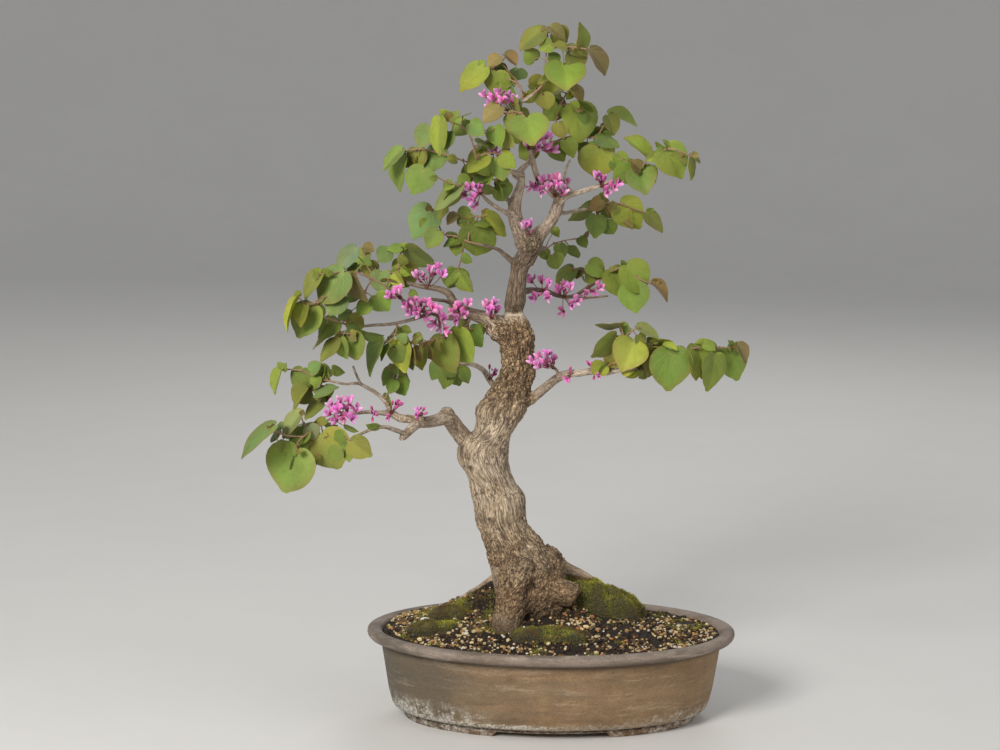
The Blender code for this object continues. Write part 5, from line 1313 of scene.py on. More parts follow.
bark_paint, tree, shader = new_paint("bark", 0.85)
place = object_place(tree)
height = put(tree, "ShaderNodeSeparateXYZ", {0: place}).outputs["Z"]
grain = put(tree, "ShaderNodeAttribute", attribute_name="grain").outputs["Vector"]
stout = stored(tree, "stout", number=True)
deep = stored(tree, "crack", number=True)
mottled = use_group(tree, MOTTLE, Place=place, Scale=46.0, Cover=0.5)
patches = use_group(tree, MOTTLE, Place=place, Scale=19.0, Cover=0.45)
pale = stored(tree, "pale", number=True)
wandering = nudged(tree, grain, 190.0, 0.0045)
gaps = cloud(tree, grain, 300.0, 3.0, 0.6)
split = calc(tree, "MULTIPLY", cell_edges(tree, wandering, 430.0, 0.20), band(tree, gaps, 0.40, 0.58, 0.25, 1.0))
flake = cell_edges(tree, nudged(tree, grain, 520.0, 0.0022), 980.0, 0.24)
fibres = cloud(tree, wandering, 1150.0, 4.0, 0.75)
strands = cloud(tree, wandering, 420.0, 3.0, 0.6)
old = mix(tree, mottled["Mask"], light((0.96, 0.86, 0.73)), light((0.87, 0.76, 0.63)))
old = mix(tree, calc(tree, "MULTIPLY", patches["Mask"], 0.45), old, light((0.86, 0.80, 0.72)))
foot = band(tree, calc(tree, "ADD", height, calc(tree, "MULTIPLY", mottled["Fine"], 0.05)), 0.205, 0.150)
gnarl = stored(tree, "gnarl", number=True)
crust = cloud(tree, place, 420.0, 4.0, 0.7)
old = mix(tree, calc(tree, "MULTIPLY", gnarl, band(tree, crust, 0.54, 0.42, 0.06, 0.62)), old, light((0.54, 0.43, 0.31)))
old = mix(tree, calc(tree, "MULTIPLY", gnarl, band(tree, crust, 0.56, 0.64)), old, light((0.93, 0.86, 0.74)))
old = mix(tree, calc(tree, "MULTIPLY", foot, 0.50), old, light((0.74, 0.65, 0.56)))
leg = band(tree, calc(tree, "ADD", height, calc(tree, "MULTIPLY", mottled["Fine"], 0.03)), 0.140, 0.110)
upper = band(tree, height, GRAFT.z + 0.0005, GRAFT.z + 0.0025)
old = mix(tree, calc(tree, "MULTIPLY", upper, 0.45), old, light((0.72, 0.65, 0.57)))
young = mix(tree, mottled["Mask"], light((0.80, 0.73, 0.65)), light((0.62, 0.545, 0.475)))
colour = mix(tree, band(tree, stout, 0.12, 0.45), young, old)
colour = mix(tree, calc(tree, "MULTIPLY", calc(tree, "MINIMUM", pale, 1.0), 0.65), colour, light((0.80, 0.76, 0.70)))
strength = band(tree, stout, 0.05, 0.50, 0.30, 1.0)
colour = mix(tree, band(tree, strands, 0.50, 0.34, 0.0, 0.60), colour, light((0.45, 0.355, 0.265)))
colour = mix(tree, band(tree, fibres, 0.50, 0.38, 0.0, 0.60), colour, light((0.36, 0.275, 0.20)))
colour = mix(tree, band(tree, fibres, 0.54, 0.66, 0.0, 0.60), colour, light((0.99, 0.93, 0.83)))
colour = mix(tree, calc(tree, "MULTIPLY", calc(tree, "MULTIPLY", flake, strength), 0.36), colour, light((0.34, 0.26, 0.18)))
colour = mix(tree, calc(tree, "MULTIPLY", calc(tree, "MULTIPLY", split, strength), 0.62), colour, light((0.25, 0.18, 0.12)))
colour = mix(tree, band(tree, deep, 0.08, 0.70, 0.0, 0.62), colour, light((0.22, 0.16, 0.11)))
crest = calc(tree, "MULTIPLY", calc(tree, "MINIMUM", pale, 1.0), band(tree, crust, 0.50, 0.60, 0.0, 0.70))
colour = mix(tree, crest, colour, light((0.82, 0.75, 0.66)))
wrinkles = calc(tree, "MULTIPLY", cell_edges(tree, nudged(tree, place, 140.0, 0.007), 200.0, 0.12), gnarl)
colour = mix(tree, calc(tree, "MULTIPLY", wrinkles, 0.66), colour, light((0.22, 0.155, 0.10)))
stem = calc(tree, "MULTIPLY", upper, band(tree, height, GRAFT.z + 0.085, GRAFT.z + 0.045, 0.0, 1.0))
for share, tone in ((gnarl, (0.97, 0.92, 0.83)), (foot, (0.97, 0.94, 0.90)), (leg, (0.60, 0.58, 0.53)),
                    (calc(tree, "MULTIPLY", stem, 0.85), (0.63, 0.59, 0.55))):
    colour = mix(tree, share, colour, light(tone), "MULTIPLY")
colour = mix(tree, band(tree, pale, 1.10, 1.55, 0.0, 0.85), colour, light((0.84, 0.77, 0.67)))
ridges = calc(tree, "SUBTRACT", 1.0, calc(tree, "MULTIPLY", split, 0.8))
relief = calc(tree, "SUBTRACT", ridges, calc(tree, "MULTIPLY", flake, 0.4))
relief = calc(tree, "ADD", calc(tree, "MULTIPLY", relief, strength), calc(tree, "MULTIPLY", fibres, 0.7))
relief = calc(tree, "ADD", relief, calc(tree, "MULTIPLY", strands, 0.8))
relief = calc(tree, "SUBTRACT", relief, calc(tree, "MULTIPLY", wrinkles, 0.9))
finish_paint(tree, shader, colour, band(tree, fibres, 0.3, 0.7, 0.78, 0.95), relief, 0.85, 0.0013)

for piece in (wood, twigs):
    piece.data.materials.clear()
    piece.data.materials.append(bark_paint)
    drop_node(piece, "bark", "trunk")
print("wood:", len(wood.data.vertices), "points; twigs:", len(twigs.data.vertices), "points")

# %% [markdown]
# ## One leaf, drawn once
# A redbud leaf is a heart: broad, a shallow notch where the stalk joins, and a short drawn-out tip.
# A disc of rings makes a better start than a grid, because the veins fan out from the stalk. Each
# point of the disc is moved out to the heart's edge, then every leaf of the tree is a copy with
# its own fold, droop and waves.

# %% The pattern leaf
VEIN_FAN = math.radians(31.0)
LEAF_SPOKES = 30
LEAF_RINGS = (0.26, 0.26, 0.24)
# Half the heart: angle from the midrib in degrees, and how far the edge lies from the stalk
HEART = [(0, 1.0), (5, 0.905), (12, 0.82), (27, 0.752), (40, 0.70), (55, 0.648), (68, 0.592), (82, 0.515),
         (96, 0.42), (110, 0.335), (128, 0.245), (148, 0.155), (165, 0.085), (180, 0.04)]
ROUND_HEART = [(0, 1.0), (5, 0.93), (12, 0.87), (27, 0.81), (40, 0.76), (55, 0.70), (68, 0.63), (82, 0.54),
               (96, 0.43), (110, 0.32), (128, 0.215), (148, 0.13), (165, 0.07), (180, 0.03)]


def pattern_leaf():
    """A flat disc of rings; returns its angle, share of the way to the edge, and its faces."""
    select_only(frame["bodies"]["root"])
    bpy.ops.mesh.primitive_circle_add(vertices=LEAF_SPOKES, radius=1.0, fill_type="NGON")
    disc = bpy.context.object
    bpy.ops.object.mode_set(mode="EDIT")
    bpy.ops.mesh.select_all(action="SELECT")
    for thickness in LEAF_RINGS:
        bpy.ops.mesh.inset(thickness=thickness, depth=0.0)
    bpy.ops.mesh.poke()
    bpy.ops.object.mode_set(mode="OBJECT")
    spots = corners(disc)
    share = np.hypot(spots[:, 0], spots[:, 1])
    turn = np.arctan2(spots[:, 1], spots[:, 0])
    turn = turn - 0.38 * np.sin(turn)
    faces = [tuple(face.vertices) for face in disc.data.polygons]
    bpy.data.objects.remove(disc, do_unlink=True)
    return turn, share, faces


LEAF_TURN, LEAF_SHARE, LEAF_FACES = pattern_leaf()
print("one leaf:", len(LEAF_TURN), "points,", len(LEAF_FACES), "faces")

# %% Colours of leaves
# D is a darker green painted as shade, for leaves deep in the crown and behind others. Y is a yellower, brighter green:
# partly the leaf's own tone, partly painted light.
LEAF_COLOURS = {
    "G": (0.43, 0.50, 0.12), "B": (0.38, 0.48, 0.22), "Y": (0.52, 0.56, 0.12), "O": (0.47, 0.46, 0.12),
    "D": (0.38, 0.46, 0.06), "T": (0.49, 0.41, 0.20), "R": (0.44, 0.32, 0.16), "L": (0.45, 0.49, 0.30),
}
RIM_COLOUR = (0.55, 0.38, 0.18)
FACING = 0.70


def leaf_copy(name, seated, draw):
    """One leaf of the tree, bent in its own way round its stalk point."""
    base, _, (length, rib, across, face), code, width = seated
    toward = (EYE - base).normalized()
    toward = (toward - rib * toward.dot(rib)).normalized()
    face = (face + toward * FACING * face.dot(toward) ** 3).normalized()
    across = rib.cross(face)
    outline = HEART if draw.random() < 0.55 else ROUND_HEART
    angles = np.radians([row[0] for row in outline])
    reach = LEAF_SHARE * np.interp(np.abs(LEAF_TURN), angles, [row[1] for row in outline])
    lean = draw.uniform(-0.05, 0.05)
    u = reach * np.cos(LEAF_TURN)
    v = reach * np.sin(LEAF_TURN) * (1.0 + lean * np.sign(LEAF_TURN))
    young = code in "TRY" and width < 15
    fold = draw.uniform(0.22, 0.50) if young else draw.uniform(0.05, 0.24)
    droop = draw.uniform(0.02, 0.22)
    cup = draw.uniform(-0.08, 0.14)
    phase = draw.uniform(0.0, 6.28)
    swing = draw.uniform(-0.10, 0.10)
    lift = fold * np.sqrt(v * v + 0.0009) - cup * v * v
    lift -= droop * np.clip(u - 0.2, 0.0, None) ** 2 + 0.30 * np.clip(u - 0.78, 0.0, None) ** 2
    lift += draw.uniform(0.012, 0.030) * LEAF_SHARE ** 3 * np.sin(3.0 * LEAF_TURN + phase)
    lift += draw.uniform(0.006, 0.016) * LEAF_SHARE ** 4 * np.sin(7.0 * LEAF_TURN + 2.0 * phase)
    between_ribs = np.abs(np.sin(LEAF_TURN * math.pi / VEIN_FAN))
    lift += 0.060 * LEAF_SHARE * (1.0 - LEAF_SHARE) * between_ribs
    side = v + swing * u * u
    shape = np.outer(u, rib) + np.outer(side, across) + np.outer(lift, face)
    spots = np.array(base) + shape * length
    while (spots < cad_box[0]).any() or (spots > cad_box[1]).any():
        length *= 0.96
        spots = np.array(base) + shape * length
    mesh = bpy.data.meshes.new(name)
    mesh.from_pydata(spots.tolist(), [], LEAF_FACES)
    layer = mesh.uv_layers.new(name="blade")
    loops = np.empty(len(mesh.loops), dtype=np.int32)
    mesh.loops.foreach_get("vertex_index", loops)
    layer.data.foreach_set("uv", (np.stack([v, u], axis=1) * 0.5 + 0.5)[loops].ravel())
    piece = bpy.data.objects.new(name, mesh)
    bpy.context.scene.collection.objects.link(piece)
    tone = np.array(LEAF_COLOURS[code]) * draw.uniform(0.90, 1.10) * np.array(
        [draw.uniform(0.94, 1.07), 1.0, draw.uniform(0.85, 1.2)])
    blush = np.clip((LEAF_SHARE - 0.90) / 0.10, 0.0, 1.0) * draw.choice((0.05, 0.12, 0.40))
    if code in "TR":
        blush = blush + 0.12 * np.abs(np.sin(5.0 * LEAF_TURN + phase)) * LEAF_SHARE
    # A little brighter along the midrib, with a random slope from stalk to tip.
    fold_shade_and_tone = 1.0 + 0.10 * (0.5 - np.abs(v)) + draw.uniform(-0.12, 0.12) * (u - 0.4)
    # Painted light and shade on the two halves of the fold: one half lighter, the other darker.
    fold_shade_and_tone = fold_shade_and_tone + draw.choice((-1.0, 1.0)) * draw.uniform(0.03, 0.09) * np.tanh(v * 14.0)
    warmth = draw.uniform(-0.06, 0.10) * np.sin(2.0 * LEAF_TURN + phase) * LEAF_SHARE
    shaded = tone * fold_shade_and_tone[:, None] * (1.0 + warmth[:, None] * np.array([1.0, 0.2, -1.0]))
    colours = shaded * (1.0 - blush[:, None]) + np.array(RIM_COLOUR) * blush[:, None]
    linear = np.ones((len(spots), 4))
    linear[:, :3] = np.clip(colours, 0.0, 1.0) ** 2.2
    mark(piece, "tint", linear)
    return piece


# %% [markdown]
# ## Leaf paint
# The veins are drawn from the leaf's own map: five to seven main ribs fan out from the stalk and fine
# side veins branch between them. They are a little paler than the blade and sit a little below it.

# %% Veins and the two sides of a leaf
VEINS, given, made = new_group(
    "leaf_veins", [("Map", "NodeSocketVector", None)],
    [("Rib", "NodeSocketFloat"), ("Net", "NodeSocketFloat")])
centred = put(VEINS, "ShaderNodeMapping", {"Vector": given["Map"], "Location": (-1.0, -1.0, 0.0),
                                           "Scale": (2.0, 2.0, 1.0)}).outputs[0]
parts = put(VEINS, "ShaderNodeSeparateXYZ", {0: centred}).outputs
turn = calc(VEINS, "ARCTAN2", parts["X"], parts["Y"])
reach = put(VEINS, "ShaderNodeVectorMath", {0: centred}, operation="LENGTH").outputs["Value"]
bent = calc(VEINS, "MULTIPLY", turn, calc(VEINS, "ADD", 1.0, calc(VEINS, "MULTIPLY", reach, 0.32)))
apart = calc(VEINS, "PINGPONG", bent, VEIN_FAN * 0.5)
off_rib = calc(VEINS, "MULTIPLY", calc(VEINS, "SINE", apart), reach)
thin = calc(VEINS, "SUBTRACT", 0.016, calc(VEINS, "MULTIPLY", reach, 0.011))
VEINS.links.new(band(VEINS, off_rib, thin, calc(VEINS, "MULTIPLY", thin, 0.3)), made["Rib"])
slant = calc(VEINS, "SUBTRACT", reach, calc(VEINS, "MULTIPLY", off_rib, 0.9))
branch = calc(VEINS, "PINGPONG", slant, 0.055)
net = band(VEINS, branch, 0.0065, 0.002)
cells = put(VEINS, "ShaderNodeTexVoronoi", {"Vector": centred, "Scale": 26.0}, feature="DISTANCE_TO_EDGE")
fine_net = calc(VEINS, "MULTIPLY", band(VEINS, cells.outputs["Distance"], 0.07, 0.02), 0.55)
VEINS.links.new(calc(VEINS, "MAXIMUM", net, fine_net), made["Net"])


def leaf_paint(name, roughness, pale, vein_colour, vein_strength, rise):
    """The paint of one side of the leaves."""
    material, tree, shader = new_paint(name, roughness, Specular_IOR_Level=0.35)
    veins = use_group(tree, VEINS, Map=put(tree, "ShaderNodeUVMap", uv_map="blade").outputs[0])
    place = object_place(tree)
    mottled = use_group(tree, MOTTLE, Place=place, Scale=70.0, Cover=0.45)
    tint = stored(tree, "tint")
    colour = mix(tree, pale, tint, light((0.62, 0.70, 0.47)))
    colour = mix(tree, calc(tree, "MULTIPLY", mottled["Mask"], 0.22), colour, mix(tree, 1.0, colour, tint, "MULTIPLY"))
    speck = use_group(tree, SPECKLE, Place=place, Scale=420.0, Size=0.16)
    colour = mix(tree, calc(tree, "MULTIPLY", speck["Mask"], 0.10), colour, light((0.36, 0.26, 0.12)))
    colour = mix(tree, calc(tree, "MULTIPLY", veins["Net"], vein_strength * 0.35), colour, light(vein_colour))
    colour = mix(tree, calc(tree, "MULTIPLY", veins["Rib"], vein_strength), colour, light(vein_colour))
    relief = calc(tree, "ADD", calc(tree, "MULTIPLY", veins["Rib"], rise),
                  calc(tree, "MULTIPLY", veins["Net"], rise * 0.45))
    relief = calc(tree, "ADD", relief, calc(tree, "MULTIPLY", mottled["Fine"], 0.25))
    finish_paint(tree, shader, colour, None, relief, 0.60, 0.0005)
    return material


leaf_top = leaf_paint("leaf_top", 0.40, 0.0, (0.66, 0.71, 0.38), 0.40, -1.0)
leaf_under = leaf_paint("leaf_under", 0.58, 0.16, (0.62, 0.64, 0.36), 0.40, 1.0)

# %% Shoot and stalk paint
shoot_paint, tree, shader = new_paint("shoots", 0.55)
place = object_place(tree)
mottled = use_group(tree, MOTTLE, Place=place, Scale=130.0, Cover=0.5)
pores = use_group(tree, SPECKLE, Place=place, Scale=700.0, Size=0.22)
colour = mix(tree, calc(tree, "MULTIPLY", mottled["Mask"], 0.7), stored(tree, "tint"), light((0.50, 0.36, 0.28)))
colour = mix(tree, calc(tree, "MULTIPLY", pores["Mask"], 0.5), colour, light((0.74, 0.64, 0.52)))
finish_paint(tree, shader, colour, None, mottled["Fine"], 0.3, 0.0005)

# %% [markdown]
# ## Leafy sprays
# A spray is a zigzag shoot with a stalked leaf at every joint. The shoots and stalks are smooth
# curves with thickness; a redbud stalk swells just below the blade. The blades get their thickness
# from Solidify, which also gives the underside its own paint.

# %% Young leaves between the others
def young_leaves(name, draw):
    """Small leaves and folded tip leaves, hung from the shoots where the picture is too dense to read."""
    added = []
    wide = max(seated[2][0] for seated in leaves[name])
    # Two extra D letters give many of these young leaves the darker green that paints shade inside the crown.
    codes = [seated[3] for seated in leaves[name] if seated[3] not in "TR"] + ["G", "D", "D", "O"]
    lines = [line for line in shoots[name] if len(line[0]) > 2]
    for centres, _ in lines:
        for _ in range(2 + (len(centres) > 4) + 2 * (len(centres) > 6)):
            k = draw.randrange(1, len(centres) - 1)
            start = centres[k].lerp(centres[k + 1], draw.random())
            out = Vector((draw.uniform(-1.0, 1.0), draw.uniform(0.1, 1.0), draw.uniform(-0.9, 0.6))).normalized()
            base = start + out * draw.uniform(0.006, 0.013)
            length = min(wide, draw.uniform(0.011, 0.021))
            rib = (out + Vector((0.0, 0.0, -0.9))).normalized()
            toward = (EYE - base).normalized() + Vector([draw.uniform(-0.8, 0.8) for _ in range(3)])
            face = (toward - rib * toward.dot(rib)).normalized()
            added.append((base, start, (length, rib, rib.cross(face), face), draw.choice(codes), length / 0.001))
    for centres, _ in shoots[name]:
        ahead = (centres[-1] - centres[-2]).normalized()
        side = ahead.cross(Vector((0.2, 1.0, 0.3))).normalized()
        for turn in (-1.0, 1.0):
            if draw.random() < 0.45:
                continue
            rib = (ahead + side * turn * draw.uniform(0.5, 1.1) + Vector((0.0, 0.0, 0.2))).normalized()
            face = ahead.cross(side) + Vector([draw.uniform(-0.5, 0.5) for _ in range(3)])
            face = (face - rib * face.dot(rib)).normalized()
            base = centres[-1] + rib * 0.0022
            added.append((base, centres[-1], (draw.uniform(0.0045, 0.0085), rib, rib.cross(face), face),
                          draw.choice("TGOGR"), 8.0))
    return [seated for seated in added if not inside_wood(seated[0])]


def within_solids(seated):
    """True if a young leaf keeps inside the box of the solids."""
    base, _, (length, rib, across, _), _, _ = seated
    spots = [base + rib * length + across * side * length for side in (-0.6, 0.6)]
    return all(cad_box[0][k] < spot[k] < cad_box[1][k] for spot in spots for k in range(3))


# %% Building a spray
LEAF_THICKNESS = 0.00036
STALK_RADIUS = 0.00052
SHOOT_COLOUR = (0.60, 0.47, 0.37)
SHOOT_THINNING = 0.80
# A stalk takes its leaf's letter: the D stalk is darker, painted shade like its leaf, and the Y stalk brighter, partly
# painted light.
STALK_COLOURS = {"G": (0.52, 0.52, 0.26), "B": (0.50, 0.54, 0.30), "Y": (0.62, 0.52, 0.24), "O": (0.56, 0.38, 0.22),
                 "D": (0.48, 0.46, 0.18), "T": (0.58, 0.36, 0.27), "R": (0.56, 0.28, 0.20), "L": (0.50, 0.48, 0.30)}


def stalk_line(seated, draw):
    """A leaf stalk: out of the shoot, a little arched, swollen below the blade."""
    base, stalk, (length, rib, across, face), _, width = seated
    run = base - stalk
    thin = STALK_RADIUS * (0.78 if width < 12 else 1.0)
    if run.length < 0.004:
        return [stalk, base], [thin * 1.3, thin * 1.3]
    arch = Vector((0.0, 0.0, 1.0)) * run.length * draw.uniform(0.02, 0.10)
    neck = base - (run.normalized() * 0.6 - rib * 0.4).normalized() * min(0.0032, run.length * 0.3)
    centres = [stalk, stalk.lerp(neck, 0.5) + arch, neck, base.lerp(neck, 0.35), base + rib * length * 0.02]
    return centres, [thin * 1.35, thin * 0.95, thin, thin * 1.6, thin * 0.7]


def coloured_stems(name, lines, colour, roundness=1, smoothness=3):
    """Stems with one colour stored on them."""
    piece = stems(name, lines, roundness, smoothness)
    piece.data.materials.append(shoot_paint)
    mark(piece, "tint", np.tile(light(colour), (len(piece.data.vertices), 1)))
    piece.data.shade_smooth()
    return piece


def shoot_lines(name):
    """A spray's shoots with swollen joints and a bud at the end of each."""
    lines = []
    for centres, radii in shoots[name]:
        radii = [radius * SHOOT_THINNING * (1.15 if k % 2 else 0.88) for k, radius in enumerate(radii)]
        tip = centres[-1] + (centres[-1] - centres[-2]).normalized() * 0.0028
        lines.append((centres + [tip], radii + [0.00025]))
        for k in range(2, len(centres) - 1):
            ahead = (centres[k + 1] - centres[k]).normalized()
            outward = ahead.cross(Vector((0.3, 1.0, 0.2))).normalized() * (1 if k % 2 else -1)
            bud = [centres[k], centres[k] + outward * 0.0013 + ahead * 0.001,
                   centres[k] + outward * 0.0019 + ahead * 0.0026]
            lines.append((bud, [0.0008, 0.00075, 0.00015]))
    return lines


def build_spray(name, draw):
    """One leafy spray in one piece, standing for its solid."""
    hung = leaves[name] + [seated for seated in young_leaves(name, draw) if within_solids(seated)]
    blades = [leaf_copy(name + "_leaf", seated, draw) for seated in hung]
    crown_leaves = join(name + "_leaves", blades)
    crown_leaves.data.materials.append(leaf_top)
    crown_leaves.data.materials.append(leaf_under)
    modify(crown_leaves, "SOLIDIFY", thickness=LEAF_THICKNESS, offset=0.0, material_offset=1,
           material_offset_rim=0, use_quality_normals=True)
    select_only(crown_leaves)
    bpy.ops.object.shade_smooth_by_angle(angle=math.radians(50.0))
    pieces = [crown_leaves, coloured_stems(name + "_shoots", shoot_lines(name), SHOOT_COLOUR, 2, 4)]
    for code in sorted({seated[3] for seated in hung}):
        lines = [stalk_line(seated, draw) for seated in hung if seated[3] == code]
        pieces.append(coloured_stems(name + "_stalks", lines, STALK_COLOURS[code]))
    spray = join(name + "_leafy", pieces)
    drop_node(spray, "leaf", name)
    return spray


leaf_points = 0
for order, name in enumerate(SPRAYS):
    leaf_points += len(build_spray(name, random.Random(SEED * 100 + order)).data.vertices)
print("sprays:", len(SPRAYS), "points:", leaf_points)

# %% [markdown]
# ## Redbud flowers
# A floret looks like a small sweet pea: a dark red cup, two spread wings, a folded keel below and an
# upright banner. It is drawn once, in lengths of a floret, from discs and a ball, then copied out
# along each bunch with a thin red stalk.

# %% The pattern floret
def petal(name, length, width, share, matrix):
    """A cupped petal: a disc of rings narrowed towards its foot and bent."""
    select_only(frame["bodies"]["root"])
    bpy.ops.mesh.primitive_circle_add(vertices=14, radius=1.0, fill_type="NGON")
    piece = bpy.context.object
    piece.name = name
    bpy.ops.object.mode_set(mode="EDIT")
    bpy.ops.mesh.select_all(action="SELECT")
    bpy.ops.mesh.inset(thickness=0.42, depth=0.0)
    bpy.ops.mesh.poke()
    bpy.ops.object.mode_set(mode="OBJECT")
    spots = corners(piece)
    u = (spots[:, 0] + 1.0) * 0.5
    v = spots[:, 1] * (0.30 + 0.70 * np.clip(u * 1.7, 0.0, 1.0))
    lift = share * (v * v * 0.9 - (u - 0.5) ** 2 * 0.5)
    reshape(piece, np.stack([u * length, v * width * 0.5, lift * width], axis=1))
    mark(piece, "tint", np.stack([u, np.abs(v), np.zeros(len(u)), np.ones(len(u))], axis=1))
    piece.data.transform(matrix)
    modify(piece, "SOLIDIFY", thickness=0.026, offset=0.0)
    return piece


def turned(x, y, z, place):
    """A turn about each axis in degrees, then a move."""
    turn = Matrix.Rotation(math.radians(z), 4, "Z") @ Matrix.Rotation(math.radians(y), 4, "Y")
    return Matrix.Translation(place) @ turn @ Matrix.Rotation(math.radians(x), 4, "X")


def ball(name, segments, rings, size, place, shape_along):
    """A small rounded body: a sphere stretched, and tapered along its length."""
    select_only(frame["bodies"]["root"])
    bpy.ops.mesh.primitive_uv_sphere_add(segments=segments, ring_count=rings, radius=1.0)
    piece = bpy.context.object
    piece.name = name
    spots = corners(piece)[:, [2, 1, 0]] * (1.0, 1.0, -1.0)
    taper = 1.0 + shape_along * spots[:, 0]
    spots[:, 1] *= taper
    spots[:, 2] *= taper
    mark(piece, "tint", np.stack([(spots[:, 0] + 1.0) * 0.5, np.abs(spots[:, 1]), np.zeros(len(spots)),
                                  np.ones(len(spots))], axis=1))
    reshape(piece, spots * size + np.array(place))
    return piece


# Colours from the foot of a petal to its edge
PETAL_COLOURS = {
    "banner": ((0.60, 0.16, 0.40), (0.88, 0.54, 0.76)),
    "wing": ((0.68, 0.20, 0.50), (0.90, 0.57, 0.81)),
    "keel": ((0.80, 0.44, 0.67), (0.93, 0.68, 0.85)),
    "cup": ((0.36, 0.07, 0.14), (0.50, 0.13, 0.24)),
    "bud": ((0.55, 0.10, 0.30), (0.80, 0.30, 0.56)),
}


def dye(piece, kind):
    """Turns the stored share along a petal into its colours."""
    stretch = np.empty(len(piece.data.vertices) * 4, dtype=np.float32)
    piece.data.attributes["tint"].data.foreach_get("color", stretch)
    share = stretch.reshape(-1, 4)[:, :1]
    foot, edge = (np.array(colour) for colour in PETAL_COLOURS[kind])
    mixed = np.ones((len(share), 4))
    mixed[:, :3] = (foot * (1.0 - share) + edge * share) ** 2.2
    mark(piece, "tint", mixed)
    return piece


def take_shape(piece):
    """A finished pattern as points, faces and colours; the object goes."""
    tints = np.empty(len(piece.data.vertices) * 4, dtype=np.float32)
    piece.data.attributes["tint"].data.foreach_get("color", tints)
    shape = corners(piece), [tuple(face.vertices) for face in piece.data.polygons], tints.reshape(-1, 4)
    bpy.data.objects.remove(piece, do_unlink=True)
    return shape


def pattern_floret(opening):
    """An open or half-open floret, its calyx at the origin's left and its face to the right."""
    parts = [dye(petal("banner", 0.62, 0.56, 0.25, turned(0, -100 + 38 * (1 - opening), 0, (-0.14, 0.0, 0.02))),
                 "banner")]
    for side in (1.0, -1.0):
        spread = 26.0 * opening + 8.0
        lean = turned(90 + side * 24.0 * opening, -20.0 - 16.0 * opening, side * spread, (-0.16, side * 0.035, 0.0))
        parts.append(dye(petal("wing", 0.60, 0.36, 0.35 * side, lean), "wing"))
    parts.append(dye(ball("keel", 8, 6, (0.34, 0.10, 0.15), (0.16, 0.0, -0.12), -0.25), "keel"))
    parts.append(dye(ball("cup", 8, 5, (0.15, 0.145, 0.15), (-0.22, 0.0, -0.03), 0.25), "cup"))
    return take_shape(join("floret", parts))


FLORETS = [pattern_floret(1.0), pattern_floret(0.65), pattern_floret(0.3)]
BUD = take_shape(join("bud", [dye(ball("bud", 8, 6, (0.30, 0.15, 0.16), (0.08, 0.0, 0.0), -0.1), "bud"),
                              dye(ball("cup", 6, 4, (0.13, 0.13, 0.13), (-0.18, 0.0, 0.0), 0.2), "cup")]))
print("one floret:", len(FLORETS[0][1]), "faces; one bud:", len(BUD[1]), "faces")

# %% Copying a pattern many times
def scatter(name, copies, paint):
    """One mesh of many placed copies: each a shape, a matrix, and a tone for its colour."""
    spots = []
    faces = []
    tints = []
    start = 0
    for (points, shape_faces, colours), matrix, tone in copies:
        turn = np.array(matrix)
        spots.append(points @ turn[:3, :3].T + turn[:3, 3])
        faces.extend(tuple(start + i for i in face) for face in shape_faces)
        tinted = colours.copy()
        tinted[:, :3] = np.clip(tinted[:, :3] * tone, 0.0, 1.0)
        tints.append(tinted)
        start += len(points)
    mesh = bpy.data.meshes.new(name)
    mesh.from_pydata(np.concatenate(spots).tolist(), [], faces)
    mesh.materials.append(paint)
    piece = bpy.data.objects.new(name, mesh)
    bpy.context.scene.collection.objects.link(piece)
    mark(piece, "tint", np.concatenate(tints))
    return piece


def axes(origin, along_axis, up, size):
    """A matrix that puts a pattern's length along one direction, its top towards another."""
    forward = along_axis.normalized()
    across = up.cross(forward)
    across = across.normalized() if across.length > 1e-4 else forward.orthogonal().normalized()
    top = forward.cross(across)
    turn = Matrix((forward, across, top)).transposed().to_4x4()
    return Matrix.Translation(origin) @ turn @ Matrix.Scale(size, 4)


# %% Petal paint
petal_paint, tree, shader = new_paint("petals", 0.5, Specular_IOR_Level=0.3)
shader.inputs["Sheen Weight"].default_value = 0.25
place = object_place(tree)
mottled = use_group(tree, MOTTLE, Place=place, Scale=300.0, Cover=0.45)
streak = cloud(tree, place, 1500.0, 3.0, 0.6)
tint = stored(tree, "tint")
colour = mix(tree, calc(tree, "MULTIPLY", mottled["Mask"], 0.30), tint, light((0.93, 0.72, 0.88)))
colour = mix(tree, band(tree, streak, 0.60, 0.75, 0.0, 0.35), colour, mix(tree, 1.0, tint, tint, "MULTIPLY"))
finish_paint(tree, shader, colour, None, streak, 0.25, 0.0003)

# %% Building the bunches
FLORET_STALK = 0.00036
STALK_RED = (0.42, 0.16, 0.16)
HUB_SCALES = 5


LATE_BUNCHES = ("flowers_low_left_twig", "flowers_low_left_fork", "flowers_low_left_spur", "flowers_right_low",
                "flowers_right_low_start", "flowers_left_buds", "flowers_back")
LATE_SIZE = 0.68


